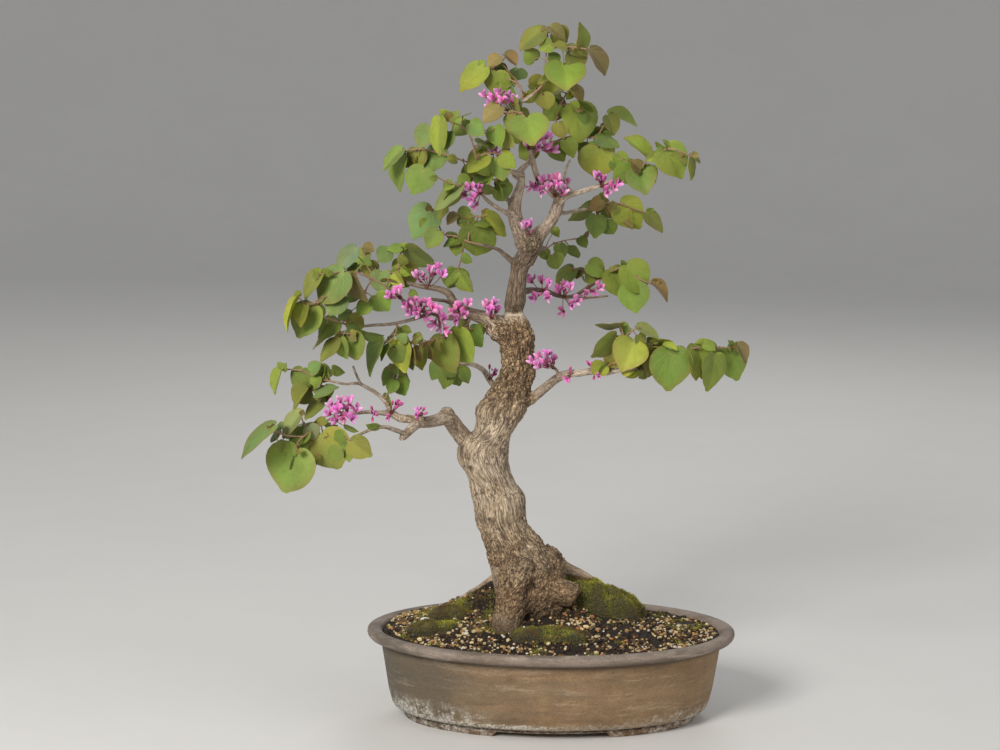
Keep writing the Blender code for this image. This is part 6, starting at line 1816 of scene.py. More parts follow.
def build_bunch(name, draw):
    """One bunch: florets, a few late buds, their stalks and the bud scales at the wood."""
    late = name in LATE_BUNCHES
    root, hub, points = bunches[name]
    copies = []
    lines = []
    for order, point in enumerate(points):
        out = (point - hub).normalized()
        up = (Vector((0.0, 0.0, 1.0)) + Vector((draw.uniform(-0.3, 0.3), draw.uniform(-0.5, 0.1), 0.0)))
        shape = FLORETS[0] if draw.random() < 0.55 else FLORETS[1] if draw.random() < 0.7 else FLORETS[2]
        shape = (FLORETS[2] if order % 2 else BUD) if late else shape
        tone = np.array([draw.uniform(0.92, 1.12), draw.uniform(0.80, 1.18), draw.uniform(0.92, 1.12)])
        size = draw.uniform(1.08, 1.28) * (LATE_SIZE if late else 1.0)
        point = root.lerp(point, LATE_SIZE) if late else point
        copies.append((shape, axes(point, out, up, FLORET_LENGTH * size), tone))
        foot = point - out * FLORET_LENGTH * 0.30
        sag = Vector((draw.uniform(-0.1, 0.1), draw.uniform(-0.1, 0.1), -0.12)) * (foot - root).length
        lines.append(([root, root.lerp(foot, 0.5) + sag * 0.5, foot], [FLORET_STALK] * 3))
    for _ in range(2 + len(points) // 2 if len(points) > 3 else 1):
        point = draw.choice(points)
        spot = hub.lerp(point, draw.uniform(0.45, 0.80)) + Vector(
            [draw.uniform(-0.0022, 0.0022) for _ in range(3)])
        out = (spot - hub).normalized()
        tone = np.array([draw.uniform(0.8, 1.05), draw.uniform(0.7, 1.0), draw.uniform(0.8, 1.05)])
        copies.append((BUD, axes(spot, out, Vector((0.0, 0.0, 1.0)), FLORET_LENGTH * draw.uniform(0.6, 0.9)), tone))
        lines.append(([root, root.lerp(spot, 0.55), spot], [FLORET_STALK] * 3))
    toward = (hub - root).normalized()
    for k in range(HUB_SCALES):
        angle = 2.0 * math.pi * k / HUB_SCALES + draw.uniform(-0.3, 0.3)
        side = toward.orthogonal().normalized()
        side = Matrix.Rotation(angle, 3, toward) @ side
        low = root + side * 0.0011
        lines.append(([low, low + toward * 0.0018 + side * 0.0004, low + toward * 0.0034], [0.0007, 0.0009, 0.0002]))
    flowers = scatter(name + "_florets", copies, petal_paint)
    select_only(flowers)
    bpy.ops.object.shade_smooth_by_angle(angle=math.radians(50.0))
    stalks = coloured_stems(name + "_stalks", lines, STALK_RED, 1, 3)
    bunch = join(name + "_bunch", [flowers, stalks])
    drop_node(bunch, "flower", name)
    return bunch


flower_points = 0
for order, name in enumerate(bunches):
    flower_points += len(build_bunch(name, random.Random(SEED * 300 + order)).data.vertices)
print("bunches:", len(bunches), "points:", flower_points)

# %% [markdown]
# ## The pot
# The pot is a deep oval of unglazed clay: a foot ring, a flared wall, a rolled rim. A potter would
# throw or press it, and here a circle is pushed from ring to ring along the same profile, outside
# and in, so the lip is round and the wall has a real thickness.

# %% Pot body
DEPTH_STEP = 0.060
POT_SIDES = 200
POT_ROW = 0.0042
POT_PROFILE = [
    (0.1180, 0.0075), (0.1250, 0.0075), (0.1262, 0.0062), (0.1266, 0.0010), (0.1275, 0.0), (0.1378, 0.0),
    (0.1390, 0.0010), (0.1402, 0.0058), (0.1396, 0.0070), (0.1388, 0.0078), (0.1398, 0.0086), (0.1452, 0.0094),
    (0.1490, 0.0116), (0.1510, 0.0150), (0.1524, 0.0195),
    (0.1545, 0.0280), (0.1622, 0.0745), (0.1650, 0.0758), (0.1690, 0.0764), (0.1725, 0.0780), (0.1743, 0.0800),
    (0.1750, 0.0825), (0.1747, 0.0848), (0.1735, 0.0862), (0.1718, 0.0869), (0.1700, 0.0870), (0.1665, 0.0870),
    (0.1650, 0.0868), (0.1630, 0.0860), (0.1615, 0.0845), (0.1560, 0.0700), (0.1500, 0.0300), (0.1450, 0.0180),
    (0.1400, 0.0140), (0.0900, 0.0140)]


def pot_ring(half, z):
    return Vector((POT_CENTRE.x, POT_CENTRE.y, z)), half, half - DEPTH_STEP


def fine_rows(profile, longest):
    """Rings along a profile, none further than this from the next."""
    rings = [pot_ring(*profile[0])]
    for (a, az), (b, bz) in zip(profile, profile[1:]):
        steps = max(1, round(math.hypot(b - a, bz - az) / longest))
        for k in range(1, steps + 1):
            rings.append(pot_ring(a + (b - a) * k / steps, az + (bz - az) * k / steps))
    return rings


def cut_away(piece, cutters):
    """Takes shapes away from a piece, then throws the shapes away."""
    for cutter in cutters:
        modify(piece, "BOOLEAN", operation="DIFFERENCE", object=cutter)
        bpy.data.objects.remove(cutter, do_unlink=True)


pot = ring_by_ring("pot_clay", POT_SIDES, fine_rows(POT_PROFILE, POT_ROW))
# Front and back of the foot are cut away between the corners: a block, tapered in edit mode
select_only(pot)
bpy.ops.mesh.primitive_cube_add(size=1.0, location=(POT_CENTRE.x, POT_CENTRE.y, 0.00225))
gap = bpy.context.object
gap.scale = (0.108, 0.6, 0.0065)
settle(gap)
spots = corners(gap)
spots[:, 0] = POT_CENTRE.x + (spots[:, 0] - POT_CENTRE.x) * np.where(spots[:, 2] > 0.0, 0.051, 0.057) / 0.054
reshape(gap, spots)
modify(gap, "BEVEL", width=0.0012, segments=3, limit_method="ANGLE")
holes = []
for side in (-1.0, 1.0):
    select_only(pot)
    bpy.ops.mesh.primitive_cylinder_add(vertices=32, radius=0.009, depth=0.05,
                                        location=(POT_CENTRE.x + side * 0.070, POT_CENTRE.y, 0.010))
    holes.append(bpy.context.object)
    bpy.ops.object.mode_set(mode="EDIT")
    bpy.ops.mesh.subdivide(number_cuts=1)
    bpy.ops.object.mode_set(mode="OBJECT")
cut_away(pot, [gap] + holes)

# A hand-made pot is never quite true: soft waves, small dents, and a few chips low on the front
spots = corners(pot)
chips = np.zeros(len(spots))
for i, spot in enumerate(spots):
    place = Vector(spot)
    around = place - POT_CENTRE
    around.z = 0.0
    out = around.normalized()
    wave = 0.00035 * noise.noise(place * 22.0) + 0.00016 * noise.noise(place * 90.0)
    pit = min(0.0, noise.noise(place * 150.0) + 0.42) * 0.0012
    for (px, py), reach, depth in (((511, 680), 5.0, 0.0011), ((421, 702), 6.0, 0.0008), ((640, 690), 4.0, 0.0008)):
        apart = (place - seen(px, py, -100)).length / (reach * MM)
        if apart < 1.0:
            wave -= depth * (1.0 - apart * apart)
            chips[i] = 1.0 - apart * apart
    spots[i] = place + out * (wave + pit)
spots[:, 2] = np.maximum(spots[:, 2], 0.0)
reshape(pot, spots)
mark(pot, "chip", chips)
select_only(pot)
bpy.ops.object.shade_smooth_by_angle(angle=math.radians(40.0))
print("pot:", len(pot.data.polygons), "faces")

# %% [markdown]
# ## Old clay
# Unglazed clay takes years of water: a brown body with darker fire marks, greyer and duller on one
# side, white lime that creeps up from the foot, rust on the foot band, and scuffs along the wall.
# Each is a mask over the clay, driven by height and by noise. Painted shade darkens the underside
# of the rim and the groove above the foot ring.

# %% Clay paint
clay_paint, tree, shader = new_paint("old_clay", 0.62)
place = object_place(tree)
split = put(tree, "ShaderNodeSeparateXYZ", {0: place}).outputs
mottled = use_group(tree, MOTTLE, Place=place, Scale=26.0, Cover=0.5)
fire = use_group(tree, MOTTLE, Place=place, Scale=9.0, Cover=0.45)
grain = cloud(tree, place, 900.0, 3.0, 0.7)
scuff = cloud(tree, place, 130.0, 5.0, 0.7, squeeze=(0.16, 0.16, 1.0))
from_middle = calc(tree, "SUBTRACT", split["X"], POT_CENTRE.x)
colour = mix(tree, mottled["Mask"], light((0.65, 0.54, 0.415)), light((0.57, 0.465, 0.355)))
colour = mix(tree, calc(tree, "MULTIPLY", fire["Mask"], 0.45), colour, light((0.47, 0.40, 0.33)))
swirl = nudged(tree, place, 30.0, 0.012)
wiped = cloud(tree, swirl, 70.0, 6.0, 0.72, squeeze=(0.10, 0.10, 1.0))
colour = mix(tree, band(tree, wiped, 0.52, 0.64, 0.0, 0.60), colour, light((0.74, 0.655, 0.56)))
colour = mix(tree, band(tree, wiped, 0.47, 0.35, 0.0, 0.60), colour, light((0.43, 0.37, 0.30)))
bands = cloud(tree, swirl, 26.0, 3.0, 0.6, squeeze=(0.12, 0.12, 1.0))
colour = mix(tree, band(tree, bands, 0.50, 0.62, 0.0, 0.40), colour, light((0.69, 0.59, 0.47)))
colour = mix(tree, band(tree, bands, 0.48, 0.36, 0.0, 0.35), colour, light((0.45, 0.41, 0.36)))
grey_side = band(tree, calc(tree, "ADD", from_middle, calc(tree, "MULTIPLY", mottled["Fine"], 0.06)), -0.010, -0.150)
colour = mix(tree, calc(tree, "MULTIPLY", grey_side, 0.82), colour, light((0.42, 0.40, 0.37)))
warm_side = band(tree, from_middle, 0.03, 0.15)
colour = mix(tree, calc(tree, "MULTIPLY", warm_side, 0.30), colour, light((0.58, 0.47, 0.34)))
on_rim = band(tree, split["Z"], 0.0742, 0.0775)
rim_marks = cloud(tree, place, 85.0, 5.0, 0.7, squeeze=(0.3, 0.3, 1.0))
rim_tone = mix(tree, band(tree, rim_marks, 0.38, 0.62), light((0.37, 0.33, 0.295)), light((0.54, 0.485, 0.445)))
colour = mix(tree, calc(tree, "MULTIPLY", on_rim, 0.88), colour, rim_tone)
# Painted shadow under the rolled rim: a dark band on its underside.
painted_rim_shadow = calc(tree, "MULTIPLY", band(tree, split["Z"], 0.0700, 0.0750), band(tree, split["Z"], 0.0790, 0.0762))
colour = mix(tree, calc(tree, "MULTIPLY", painted_rim_shadow, 0.70), colour, light((0.22, 0.18, 0.15)))
colour = mix(tree, band(tree, scuff, 0.56, 0.68, 0.0, 0.50), colour, light((0.74, 0.68, 0.60)))
colour = mix(tree, band(tree, scuff, 0.42, 0.32, 0.0, 0.50), colour, light((0.35, 0.30, 0.25)))
wavy_height = calc(tree, "SUBTRACT", split["Z"], calc(tree, "MULTIPLY", mottled["Fine"], 0.006))
foot_band = band(tree, wavy_height, 0.0100, 0.0040)
colour = mix(tree, calc(tree, "MULTIPLY", foot_band, 0.85), colour, light((0.46, 0.33, 0.24)))
# Painted shade in the groove between the foot ring and the wall.
painted_groove_shade = calc(tree, "MULTIPLY", band(tree, split["Z"], 0.0058, 0.0070), band(tree, split["Z"], 0.0094, 0.0086))
colour = mix(tree, calc(tree, "MULTIPLY", painted_groove_shade, 0.85), colour, light((0.17, 0.13, 0.10)))
lime = use_group(tree, MOTTLE, Place=place, Scale=95.0, Cover=0.50)
crust = cloud(tree, place, 420.0, 4.0, 0.7)
lime_height = calc(tree, "SUBTRACT", split["Z"], calc(tree, "MULTIPLY", mottled["Fine"], 0.020))
lime_left = calc(tree, "MULTIPLY", band(tree, from_middle, -0.045, -0.100), band(tree, lime_height, 0.024, 0.008))
ledge_height = calc(tree, "SUBTRACT", split["Z"], calc(tree, "MULTIPLY", mottled["Fine"], 0.004))
on_ledge = calc(tree, "MULTIPLY", band(tree, ledge_height, 0.0080, 0.0092), band(tree, ledge_height, 0.0150, 0.0118))
on_ledge = calc(tree, "MULTIPLY", on_ledge, band(tree, from_middle, 0.030, -0.030, 0.22, 0.95))
lime_right = calc(tree, "MULTIPLY", band(tree, from_middle, 0.060, 0.105), band(tree, lime_height, 0.014, 0.000))
lime_foot = calc(tree, "MULTIPLY", band(tree, lime_height, 0.008, 0.000), 0.65)
low = calc(tree, "MAXIMUM", calc(tree, "MAXIMUM", lime_left, lime_right), lime_foot)
low = calc(tree, "MULTIPLY", low, calc(tree, "MULTIPLY", lime["Mask"], band(tree, crust, 0.42, 0.56, 0.25, 1.0)))
low = calc(tree, "MAXIMUM", low, calc(tree, "MULTIPLY", on_ledge, band(tree, crust, 0.44, 0.54, 0.10, 1.0)))
colour = mix(tree, calc(tree, "MULTIPLY", low, 0.92), colour, light((0.84, 0.81, 0.76)))
chips = stored(tree, "chip", number=True)
colour = mix(tree, calc(tree, "MULTIPLY", chips, 0.8), colour, light((0.27, 0.22, 0.18)))
dots = use_group(tree, SPECKLE, Place=place, Scale=300.0, Size=0.20)
colour = mix(tree, calc(tree, "MULTIPLY", dots["Mask"], 0.45), colour, light((0.28, 0.235, 0.20)))
colour = mix(tree, band(tree, grain, 0.35, 0.60, 0.42, 0.0), colour, light((0.38, 0.33, 0.28)))
colour = mix(tree, band(tree, grain, 0.60, 0.75, 0.0, 0.35), colour, light((0.74, 0.69, 0.61)))
below_rim = band(tree, split["Z"], 0.0765, 0.0735)
colour = mix(tree, below_rim, colour, light((0.93, 0.90, 0.84)), "MULTIPLY")
colour = mix(tree, calc(tree, "MULTIPLY", below_rim, band(tree, from_middle, -0.020, -0.120)), colour,
             light((0.83, 0.86, 0.89)), "MULTIPLY")
colour = mix(tree, calc(tree, "MULTIPLY", low, 0.60), colour, light((0.88, 0.86, 0.82)))
relief = calc(tree, "ADD", calc(tree, "MULTIPLY", grain, 0.5), calc(tree, "MULTIPLY", low, 1.3))
relief = calc(tree, "ADD", relief, calc(tree, "MULTIPLY", scuff, 0.8))
relief = calc(tree, "SUBTRACT", relief, calc(tree, "MULTIPLY", dots["Mask"], 0.4))
finish_paint(tree, shader, colour, band(tree, scuff, 0.3, 0.7, 0.55, 0.82), relief, 0.5, 0.0009)
pot.data.materials.clear()
pot.data.materials.append(clay_paint)
drop_node(pot, "pot", "pot")

# %% [markdown]
# ## Soil and grit
# The soil is a low mound of dark grit that hardens under the moss. The mound is one body; the
# grains on it are separate stones, one jittered lump copied by the thousand in five colours.

# %% The mound
SOIL_EDGE = 0.0835
SOIL_TOP = 0.1085
SOIL_HALF = 0.1597
SOIL_SIDES = 160


def soil_height(x, y):
    """Height of the soil over the pot's own centre."""
    r = math.hypot((x + 0.015) / 0.150, (y - 0.004) / 0.100)
    rise = max(0.0, 1.0 - r * r) ** 1.1 if r < 1.0 else 0.0
    return SOIL_EDGE + (SOIL_TOP - SOIL_EDGE) * rise + 0.0009 * math.sin(61.0 * x + 1.0) * math.cos(83.0 * y)


ROOT_BANK = 0.020
BANKS = [(spot, radius) for spot, _, _, radius, _ in SAMPLES if spot.z < 0.150 and radius < 0.0125]
BANK_TREE = KDTree(len(BANKS))
for k, (spot, _) in enumerate(BANKS):
    BANK_TREE.insert((spot.x, spot.y, 0.0), k)
BANK_TREE.balance()


def ground(x, y):
    """Height of the soil at a place, banked up under the thin roots."""
    z = soil_height(x - POT_CENTRE.x, y - POT_CENTRE.y)
    lift = 0.0
    for _, k, away in BANK_TREE.find_range((x, y, 0.0), ROOT_BANK):
        spot, radius = BANKS[k]
        lift = max(lift, (spot.z - radius * 0.6 - z) * (1.0 - (away / ROOT_BANK) ** 2) ** 1.5)
    return z + lift


rings = [pot_ring(half, z) for half, z in ((0.1392, 0.0144), (0.1494, 0.0300), (0.1554, 0.0700))]
for k in range(48):
    share = 1.0 - k / 48.0
    rings.append((Vector((POT_CENTRE.x, POT_CENTRE.y, SOIL_EDGE + 0.00001 * k)), SOIL_HALF * share,
                  (SOIL_HALF - DEPTH_STEP) * share))
soil = ring_by_ring("soil_mound", SOIL_SIDES, rings)
spots = corners(soil)
for i, (x, y, z) in enumerate(spots):
    if z > SOIL_EDGE - 0.001:
        rough = noise.noise(Vector((x, y, 0.0)) * 260.0) * 0.0007 + noise.noise(Vector((x, y, 0.0)) * 700.0) * 0.0004
        spots[i][2] = ground(x, y) + rough - 0.0003
reshape(soil, spots)
print("soil:", len(soil.data.polygons), "faces")

# %% Moss cushions: where they sit
# Picture point of the middle, depth, half length, half depth and height in millimetres
MOSS = {
    "moss_mound": ((600, 605, 6), 42, 29, 25), "moss_left": ((452, 612, -8), 21, 15, 4.5),
    "moss_front": ((550, 642, -64), 36, 15, 4.5), "moss_front_left": ((435, 629, -34), 24, 16, 4)}


def moss_share(x, y):
    """How far a point is from a moss cushion's middle; under 1 is on it."""
    nearest = 9.0
    for (px, py, depth), half_length, half_depth, _ in MOSS.values():
        middle = seen(px, py, depth)
        nearest = min(nearest, math.hypot((x - middle.x) / (half_length * MM), (y - middle.y) / (half_depth * MM)))
    return nearest


def grit_share(x, y):
    """How thick the grit lies: in drifts, thin near the trunk and on the right behind."""
    drift = 0.44 + 1.1 * noise.noise(Vector((x * 42.0, y * 42.0, 3.0)))
    drift += 0.35 * noise.noise(Vector((x * 120.0, y * 120.0, 9.0)))
    out = math.hypot((x - POT_CENTRE.x) / SOIL_HALF, (y - POT_CENTRE.y) / (SOIL_HALF - DEPTH_STEP))
    drift += 0.5 * max(0.0, out - 0.8) / 0.2
    behind = min(1.0, max(0.0, (y - POT_CENTRE.y + 0.01) / 0.05)) * min(1.0, max(0.0, (x - 0.03) / 0.04))
    return min(1.0, max(0.06, drift - 0.45 * behind))


# %% Grit
GRAINS = 4600
GRAIN_COLOURS = [((0.15, 0.11, 0.07), 28), ((0.25, 0.18, 0.11), 18), ((0.40, 0.30, 0.17), 12),
                 ((0.66, 0.52, 0.33), 15), ((0.80, 0.71, 0.53), 14), ((0.82, 0.78, 0.70), 6), ((0.66, 0.42, 0.25), 3),
                 ((0.36, 0.31, 0.24), 5)]


def pattern_grain(draw, name):
    """A lumpy stone: a ball of twenty faces, pulled about."""
    select_only(frame["bodies"]["root"])
    bpy.ops.mesh.primitive_ico_sphere_add(subdivisions=1, radius=0.5)
    piece = bpy.context.object
    piece.name = name
    bpy.ops.object.mode_set(mode="EDIT")
    bpy.ops.mesh.select_all(action="SELECT")
    bpy.ops.transform.resize(value=(draw.uniform(0.95, 1.25), draw.uniform(0.8, 1.0), draw.uniform(0.6, 0.85)))
    bpy.ops.object.mode_set(mode="OBJECT")
    spots = corners(piece)
    spots *= 1.0 + np.array([[draw.uniform(-0.16, 0.16)] for _ in spots])
    reshape(piece, spots)
    mark(piece, "tint", np.ones((len(spots), 4)))
    return take_shape(piece)


def somewhere(draw):
    """A random place on the soil."""
    turn = draw.uniform(0.0, 2.0 * math.pi)
    out = math.sqrt(draw.random())
    return (POT_CENTRE.x + (SOIL_HALF - 0.003) * out * math.cos(turn),
            POT_CENTRE.y + (SOIL_HALF - 0.003 - DEPTH_STEP) * out * math.sin(turn))


draw = random.Random(SEED * 31)
stones = [pattern_grain(draw, "stone") for _ in range(6)]
tones = [np.array(light(colour)[:3]) for colour, share in GRAIN_COLOURS for _ in range(share)]
copies = []
while len(copies) < GRAINS:
    x, y = somewhere(draw)
    if draw.random() > grit_share(x, y):
        continue
    spot = Vector((x, y, ground(x, y)))
    size = draw.uniform(0.0017, 0.0036) if draw.random() < 0.88 else draw.uniform(0.0036, 0.0056)
    if moss_share(x, y) < 0.90 or inside_wood(spot) or WOOD.find_nearest(spot)[3] < size * 0.45:
        continue
    spin = Matrix.Rotation(draw.uniform(0.0, 6.28), 4, "Z") @ Matrix.Rotation(draw.uniform(-0.5, 0.5), 4, "X")
    raised = Vector((0.0, 0.0, size * draw.uniform(0.0, 0.22)))
    copies.append((draw.choice(stones), Matrix.Translation(spot + raised) @ spin @ Matrix.Scale(size, 4),
                   draw.choice(tones) * draw.uniform(0.75, 1.2)))
for px, py, depth, size in ((425, 608, -16, 0.0085), (435, 607, -14, 0.0070)):
    spot = seen(px, py, depth)
    spot.z = ground(spot.x, spot.y) + size * 0.25
    copies.append((stones[0], Matrix.Translation(spot) @ Matrix.Scale(size, 4), np.array(light((0.90, 0.90, 0.88))[:3])))

soil_paint, tree, shader = new_paint("damp_soil", 0.92)
place = object_place(tree)
mottled = use_group(tree, MOTTLE, Place=place, Scale=120.0, Cover=0.45)
crumbs = cloud(tree, place, 900.0, 4.0, 0.7)
colour = mix(tree, mottled["Mask"], light((0.17, 0.125, 0.085)), light((0.10, 0.075, 0.055)))
colour = mix(tree, band(tree, crumbs, 0.60, 0.70, 0.0, 0.6), colour, light((0.34, 0.27, 0.19)))
finish_paint(tree, shader, colour, None, crumbs, 0.8, 0.0012)

grit_paint, tree, shader = new_paint("grit", 0.88)
place = object_place(tree)
pores = cloud(tree, place, 1400.0, 4.0, 0.7)
tint = stored(tree, "tint")
dusty = use_group(tree, MOTTLE, Place=place, Scale=420.0, Cover=0.42)
colour = mix(tree, calc(tree, "MULTIPLY", dusty["Mask"], 0.35), tint, light((0.30, 0.24, 0.18)))
finish_paint(tree, shader, colour, band(tree, pores, 0.3, 0.7, 0.8, 0.95), pores, 0.5, 0.0006)

soil.data.materials.append(soil_paint)
grit = scatter("soil_grit", copies, grit_paint)
soil = join("soil_bed", [soil, grit])
drop_node(soil, "soil", "soil")
print("grains:", len(copies), "soil faces:", len(soil.data.polygons))

# %% [markdown]
# ## Moss
# Moss is thousands of upright leafy threads. A low cushion gives the mass, and a fur of small
# three-sided tufts on it gives the broken, soft edge, lighter at the tips.

# %% Moss cushions
def moss_tone(x, y, draw):
    """Bright green in some patches, olive or brown in others."""
    patch = noise.noise(Vector((x * 65.0, y * 65.0, 1.7))) + draw.uniform(-0.28, 0.28)
    k = min(len(MOSS_TONES) - 1, max(0, int((patch + 0.75) / 1.5 * len(MOSS_TONES))))
    return MOSS_TONES[k] * draw.uniform(0.65, 1.25)


def cushion(name, draw):
    """The mass under the tufts, a dome pushed up ring by ring, and the tufts on it."""
    (px, py, depth), half_length, half_depth, height = MOSS[name]
    middle = seen(px, py, depth)
    base = ground(middle.x, middle.y)
    rings = [(Vector((middle.x, middle.y, base - 0.010)), half_length * MM, half_depth * MM)]
    for level in range(12):
        angle = 0.5 * math.pi * level / 11.5
        share = math.cos(angle) ** 0.8
        rings.append((Vector((middle.x, middle.y, base + height * MM * math.sin(angle) ** 1.5 + level * 0.00001)),
                      half_length * MM * share, half_depth * MM * share))
    dome = ring_by_ring(name + "_mass", 56, rings)
    spots = corners(dome)
    copies = []
    for i, spot in enumerate(spots):
        x, y, z = spot - np.array(middle)
        turn = math.atan2(y / half_depth, x / half_length)
        wobble = 0.96 + 0.06 * math.sin(3 * turn + len(name)) + 0.04 * math.sin(5 * turn)
        wobble += 0.34 * noise.noise(Vector((math.cos(turn) * 2.6, math.sin(turn) * 2.6, len(name))))
        far = 1.0 - math.hypot(x / (half_length * MM), y / (half_depth * MM))
        lump = (noise.noise(Vector(spot) * 110.0) * 0.0034 + noise.noise(Vector(spot) * 260.0) * 0.0020) * (far > 0.02)
        tilt = 1.0 - (0.50 * x / (half_length * MM) if name == "moss_mound" else 0.0)
        spots[i] = (middle.x + x * wobble, middle.y + y * wobble, base + (spot[2] - base) * tilt + lump)
        soil_top = ground(spots[i][0], spots[i][1])
        if spot[2] > base - 0.001:
            spots[i][2] = max(spots[i][2], soil_top - 0.0005)
        else:
            spots[i][2] = soil_top - 0.006
    reshape(dome, spots)
    mark(dome, "tint", np.tile(np.array(light((0.20, 0.20, 0.05))), (len(spots), 1)))
    faces = [face for face in dome.data.polygons if face.normal.z > -0.1]
    sizes = [face.area for face in faces]
    for face in draw.choices(faces, sizes, k=int(sum(sizes) * TUFTS_PER_M2)):
        a, b, c = (Vector(spots[i]) for i in face.vertices[:3])
        u, v = sorted((draw.random(), draw.random()))
        far = Vector(spots[face.vertices[-1]]) if draw.random() < 0.5 else b
        point = a * u + far * (v - u) + c * (1.0 - v)
        if inside_wood(point) or point.z < ground(point.x, point.y) - 0.0010:
            continue
        lean = face.normal + Vector([draw.uniform(-0.7, 0.7) for _ in range(3)]) + Vector((0.0, 0.0, 0.5))
        size = draw.uniform(0.0012, 0.0030)
        across = Vector((draw.uniform(-1.0, 1.0), 0.3, 0.1))
        skirt = min(1.0, max(0.0, (point.z - base) / (height * MM) + 0.15) / 0.75)
        # Tufts low on the cushion are darker and browner.
        low_tuft_tone = np.array((0.72, 0.60, 0.60)) + np.array((0.28, 0.40, 0.40)) * skirt
        copies.append((TUFT, axes(point - face.normal * 0.0003, lean, across, size),
                       moss_tone(point.x, point.y, draw) * low_tuft_tone))
    edge = 1.30
    for _ in range(int(len(copies) * 0.30)):
        turn = draw.uniform(0.0, 2.0 * math.pi)
        out = draw.uniform(0.85, edge) + draw.uniform(0.0, 0.2) * draw.random()
        x = middle.x + half_length * MM * out * math.cos(turn)
        y = middle.y + half_depth * MM * out * math.sin(turn)
        if noise.noise(Vector((x * 160.0, y * 160.0, 5.0))) < -0.05 + (out - 0.85):
            continue
        spot = Vector((x, y, ground(x, y) - 0.0002))
        if inside_wood(spot) or not on_soil(x, y):
            continue
        lean = Vector((draw.uniform(-0.7, 0.7), draw.uniform(-0.7, 0.7), 1.0))
        copies.append((TUFT, axes(spot, lean, Vector((draw.uniform(-1.0, 1.0), 0.3, 0.1)), draw.uniform(0.0012, 0.0026)),
                       moss_tone(x, y, draw)))
    fur = scatter(name + "_fur", copies, moss_paint)
    dome.data.materials.append(moss_paint)
    piece = join(name + "_tufts", [dome, fur])
    drop_node(piece, "moss", name)
    return len(copies)


def on_soil(x, y):
    """True inside the pot's rim."""
    half = SOIL_HALF - 0.002
    return math.hypot((x - POT_CENTRE.x) / half, (y - POT_CENTRE.y) / (half - DEPTH_STEP)) < 1.0


def creeping_moss(draw):
    """Thin moss in patches over the rest of the soil, along the roots and the left rim."""
    copies = []
    while len(copies) < CREEPING_TUFTS:
        x, y = somewhere(draw)
        cover = noise.noise(Vector((x * 38.0, y * 38.0, 6.0))) + 0.4 * noise.noise(Vector((x * 130.0, y * 130.0, 2.0)))
        near_root = len(BANK_TREE.find_range((x, y, 0.0), 0.014)) > 0
        cover += 0.45 * near_root + 0.25 * (x < POT_CENTRE.x - 0.09) + 0.25 * (y > POT_CENTRE.y + 0.02)
        spot = Vector((x, y, ground(x, y) - 0.0003))
        if cover < 0.22 + draw.uniform(0.0, 0.25) or inside_wood(spot):
            continue
        lean = Vector((draw.uniform(-0.9, 0.9), draw.uniform(-0.9, 0.9), 1.0))
        copies.append((TUFT, axes(spot, lean, Vector((draw.uniform(-1.0, 1.0), 0.3, 0.1)), draw.uniform(0.0014, 0.0030)),
                       moss_tone(x, y, draw) * 0.8))
    piece = scatter("moss_creeping", copies, moss_paint)
    drop_node(piece, "moss")
    return len(copies)


CREEPING_TUFTS = 16000
TUFTS_PER_M2 = 1.9e6
MOSS_TONES = [np.array(light(colour)[:3]) for colour in (
    (0.40, 0.29, 0.11), (0.42, 0.34, 0.10), (0.44, 0.39, 0.09), (0.49, 0.46, 0.09), (0.55, 0.54, 0.11),
    (0.62, 0.61, 0.14), (0.72, 0.68, 0.20))]
select_only(pot)
bpy.ops.mesh.primitive_cone_add(vertices=3, radius1=0.22, radius2=0.0, depth=1.0, rotation=(0.0, math.pi / 2.0, 0.0),
                                location=(0.5, 0.0, 0.0))
tuft = settle(bpy.context.object)
bpy.ops.object.mode_set(mode="EDIT")
bpy.ops.mesh.select_all(action="SELECT")
bpy.ops.transform.resize(value=(1.0, 1.0, 0.55))
bpy.ops.object.mode_set(mode="OBJECT")
shade = corners(tuft)[:, :1] * 0.75 + 0.55
mark(tuft, "tint", np.concatenate([shade, shade, shade, np.ones_like(shade)], axis=1))
TUFT = take_shape(tuft)

moss_paint, tree, shader = new_paint("moss", 0.9, Sheen_Weight=0.3)
place = object_place(tree)
tint = stored(tree, "tint")
mottled = use_group(tree, MOTTLE, Place=place, Scale=150.0, Cover=0.4)
threads = cloud(tree, place, 2200.0, 3.0, 0.6)
colour = mix(tree, calc(tree, "MULTIPLY", mottled["Mask"], 0.40), tint, light((0.27, 0.21, 0.07)))
finish_paint(tree, shader, colour, None, threads, 0.6, 0.0006)
tufts = [cushion(name, random.Random(SEED * 500 + k)) for k, name in enumerate(MOSS)]
print("tufts on each cushion:", tufts, "creeping:", creeping_moss(random.Random(SEED * 600)))

# %% [markdown]
# ## The studio
# A plain pale floor with no wall, so the tree can be seen from all round; one large soft lamp at
# the front left, a weaker one at the right, and a faint even sky.

# %% Floor, lamps and sky
select_only(pot)
bpy.ops.mesh.primitive_circle_add(vertices=96, radius=1.0, fill_type="NGON")
floor = bpy.context.object
floor.name = "studio_floor"
bpy.ops.object.mode_set(mode="EDIT")
bpy.ops.mesh.select_all(action="SELECT")
reach = 1.0
for wide, rise in [(4.0, 0.0)] + [(4.0 + 3.0 * math.sin(a), 3.0 - 3.0 * math.cos(a)) for a in
                                  [math.pi / 2.0 * k / 12 for k in range(1, 13)]]:
    lowest = 0.0 if reach == 1.0 else risen
    bpy.ops.mesh.extrude_edges_move(TRANSFORM_OT_translate={"value": (0.0, 0.0, rise - lowest)})
    bpy.ops.transform.resize(value=(wide / reach, wide / reach, 1.0), center_override=(0.0, 0.0, rise))
    reach, risen = wide, rise
bpy.ops.object.mode_set(mode="OBJECT")
floor.data.shade_smooth()
floor_paint, tree, shader = new_paint("pale_floor", 0.85, Specular_IOR_Level=0.1)
place = object_place(tree)
mottled = use_group(tree, MOTTLE, Place=place, Scale=3.0, Cover=0.5)
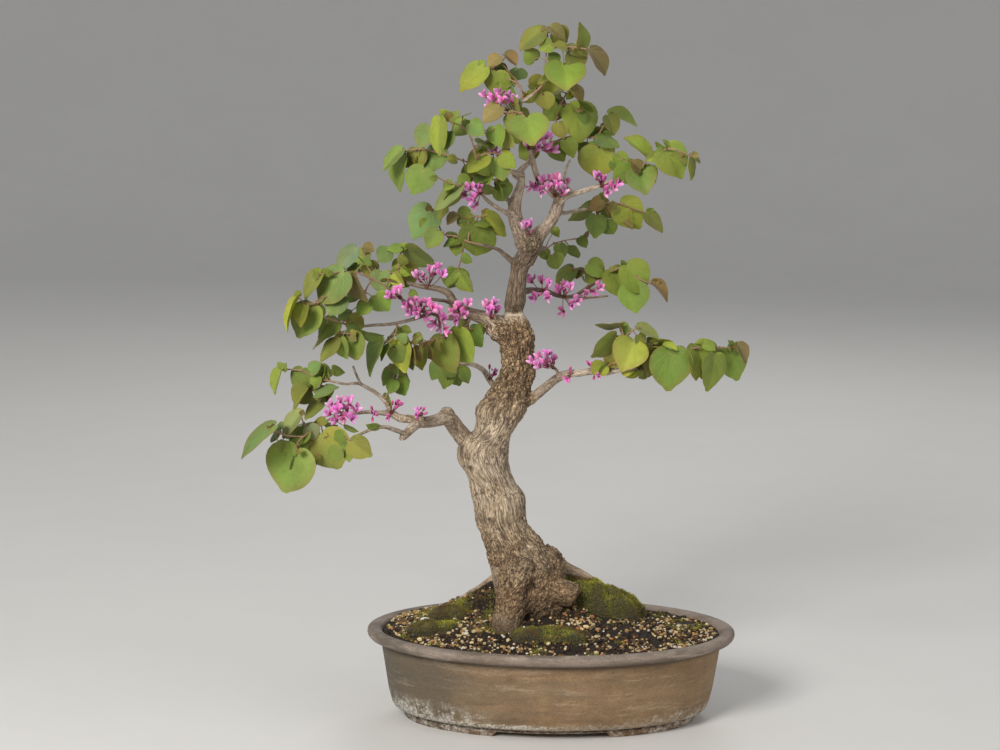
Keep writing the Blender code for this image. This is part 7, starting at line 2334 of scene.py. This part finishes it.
colour = mix(tree, calc(tree, "MULTIPLY", mottled["Mask"], 0.35), light((0.84, 0.83, 0.81)), light((0.82, 0.81, 0.79)))
finish_paint(tree, shader, colour)
floor.data.materials.append(floor_paint)


def lamp(name, place, aim, size, power, colour):
    """A soft square lamp that looks at a point."""
    data = bpy.data.lights.new(name, "AREA")
    data.shape = "SQUARE"
    data.size = size
    data.energy = power
    data.color = colour
    lamp_object = bpy.data.objects.new(name, data)
    bpy.context.scene.collection.objects.link(lamp_object)
    lamp_object.location = place
    lamp_object.rotation_euler = (aim - Vector(place)).to_track_quat("-Z", "Y").to_euler()


MIDDLE = Vector((0.0, 0.0, 0.38))
lamp("key_lamp", (-1.15, -2.15, 1.60), MIDDLE, 0.9, 74.0, (1.0, 0.985, 0.96))
lamp("fill_lamp", (1.9, -1.2, 1.1), MIDDLE, 1.4, 9.0, (0.96, 0.98, 1.0))
lamp("back_lamp", (0.5, 2.0, 2.0), MIDDLE, 1.2, 14.0, (1.0, 1.0, 1.0))
world = bpy.data.worlds.new("studio_sky")
bpy.context.scene.world = world
world.use_nodes = True
sky = world.node_tree.nodes["Background"]
sky.inputs["Color"].default_value = (0.92, 0.95, 1.0, 1.0)
sky.inputs["Strength"].default_value = 0.40

# %% [markdown]
# ## The camera
# It stands where the photographer's lens stood, looks a little down, and is rolled by half a degree.

# %% Camera
camera_data = bpy.data.cameras.new("camera")
camera_data.sensor_width = 36.0
camera_data.lens = 36.0 * LENS_PX / PICTURE_WIDTH
camera_data.clip_start = 0.05
camera_data.clip_end = 60.0
camera = bpy.data.objects.new("camera", camera_data)
bpy.context.scene.collection.objects.link(camera)
turn = Matrix.Rotation(math.pi / 2.0 - PITCH, 4, "X") @ Matrix.Rotation(ROLL, 4, "Z")
camera.matrix_world = Matrix.Translation(EYE) @ turn
bpy.context.scene.camera = camera
bpy.context.scene.view_settings.view_transform = "Standard"

# %% [markdown]
# ## Closing
# Any piece left without faces is named, and the box of the solids is printed.

# %% Closing
for piece in [piece for piece in bpy.context.scene.objects if piece.type == "MESH"]:
    if not piece.data.polygons:
        print("empty piece:", piece.name)
bpy.context.view_layer.update()
print("solids", cad_box)
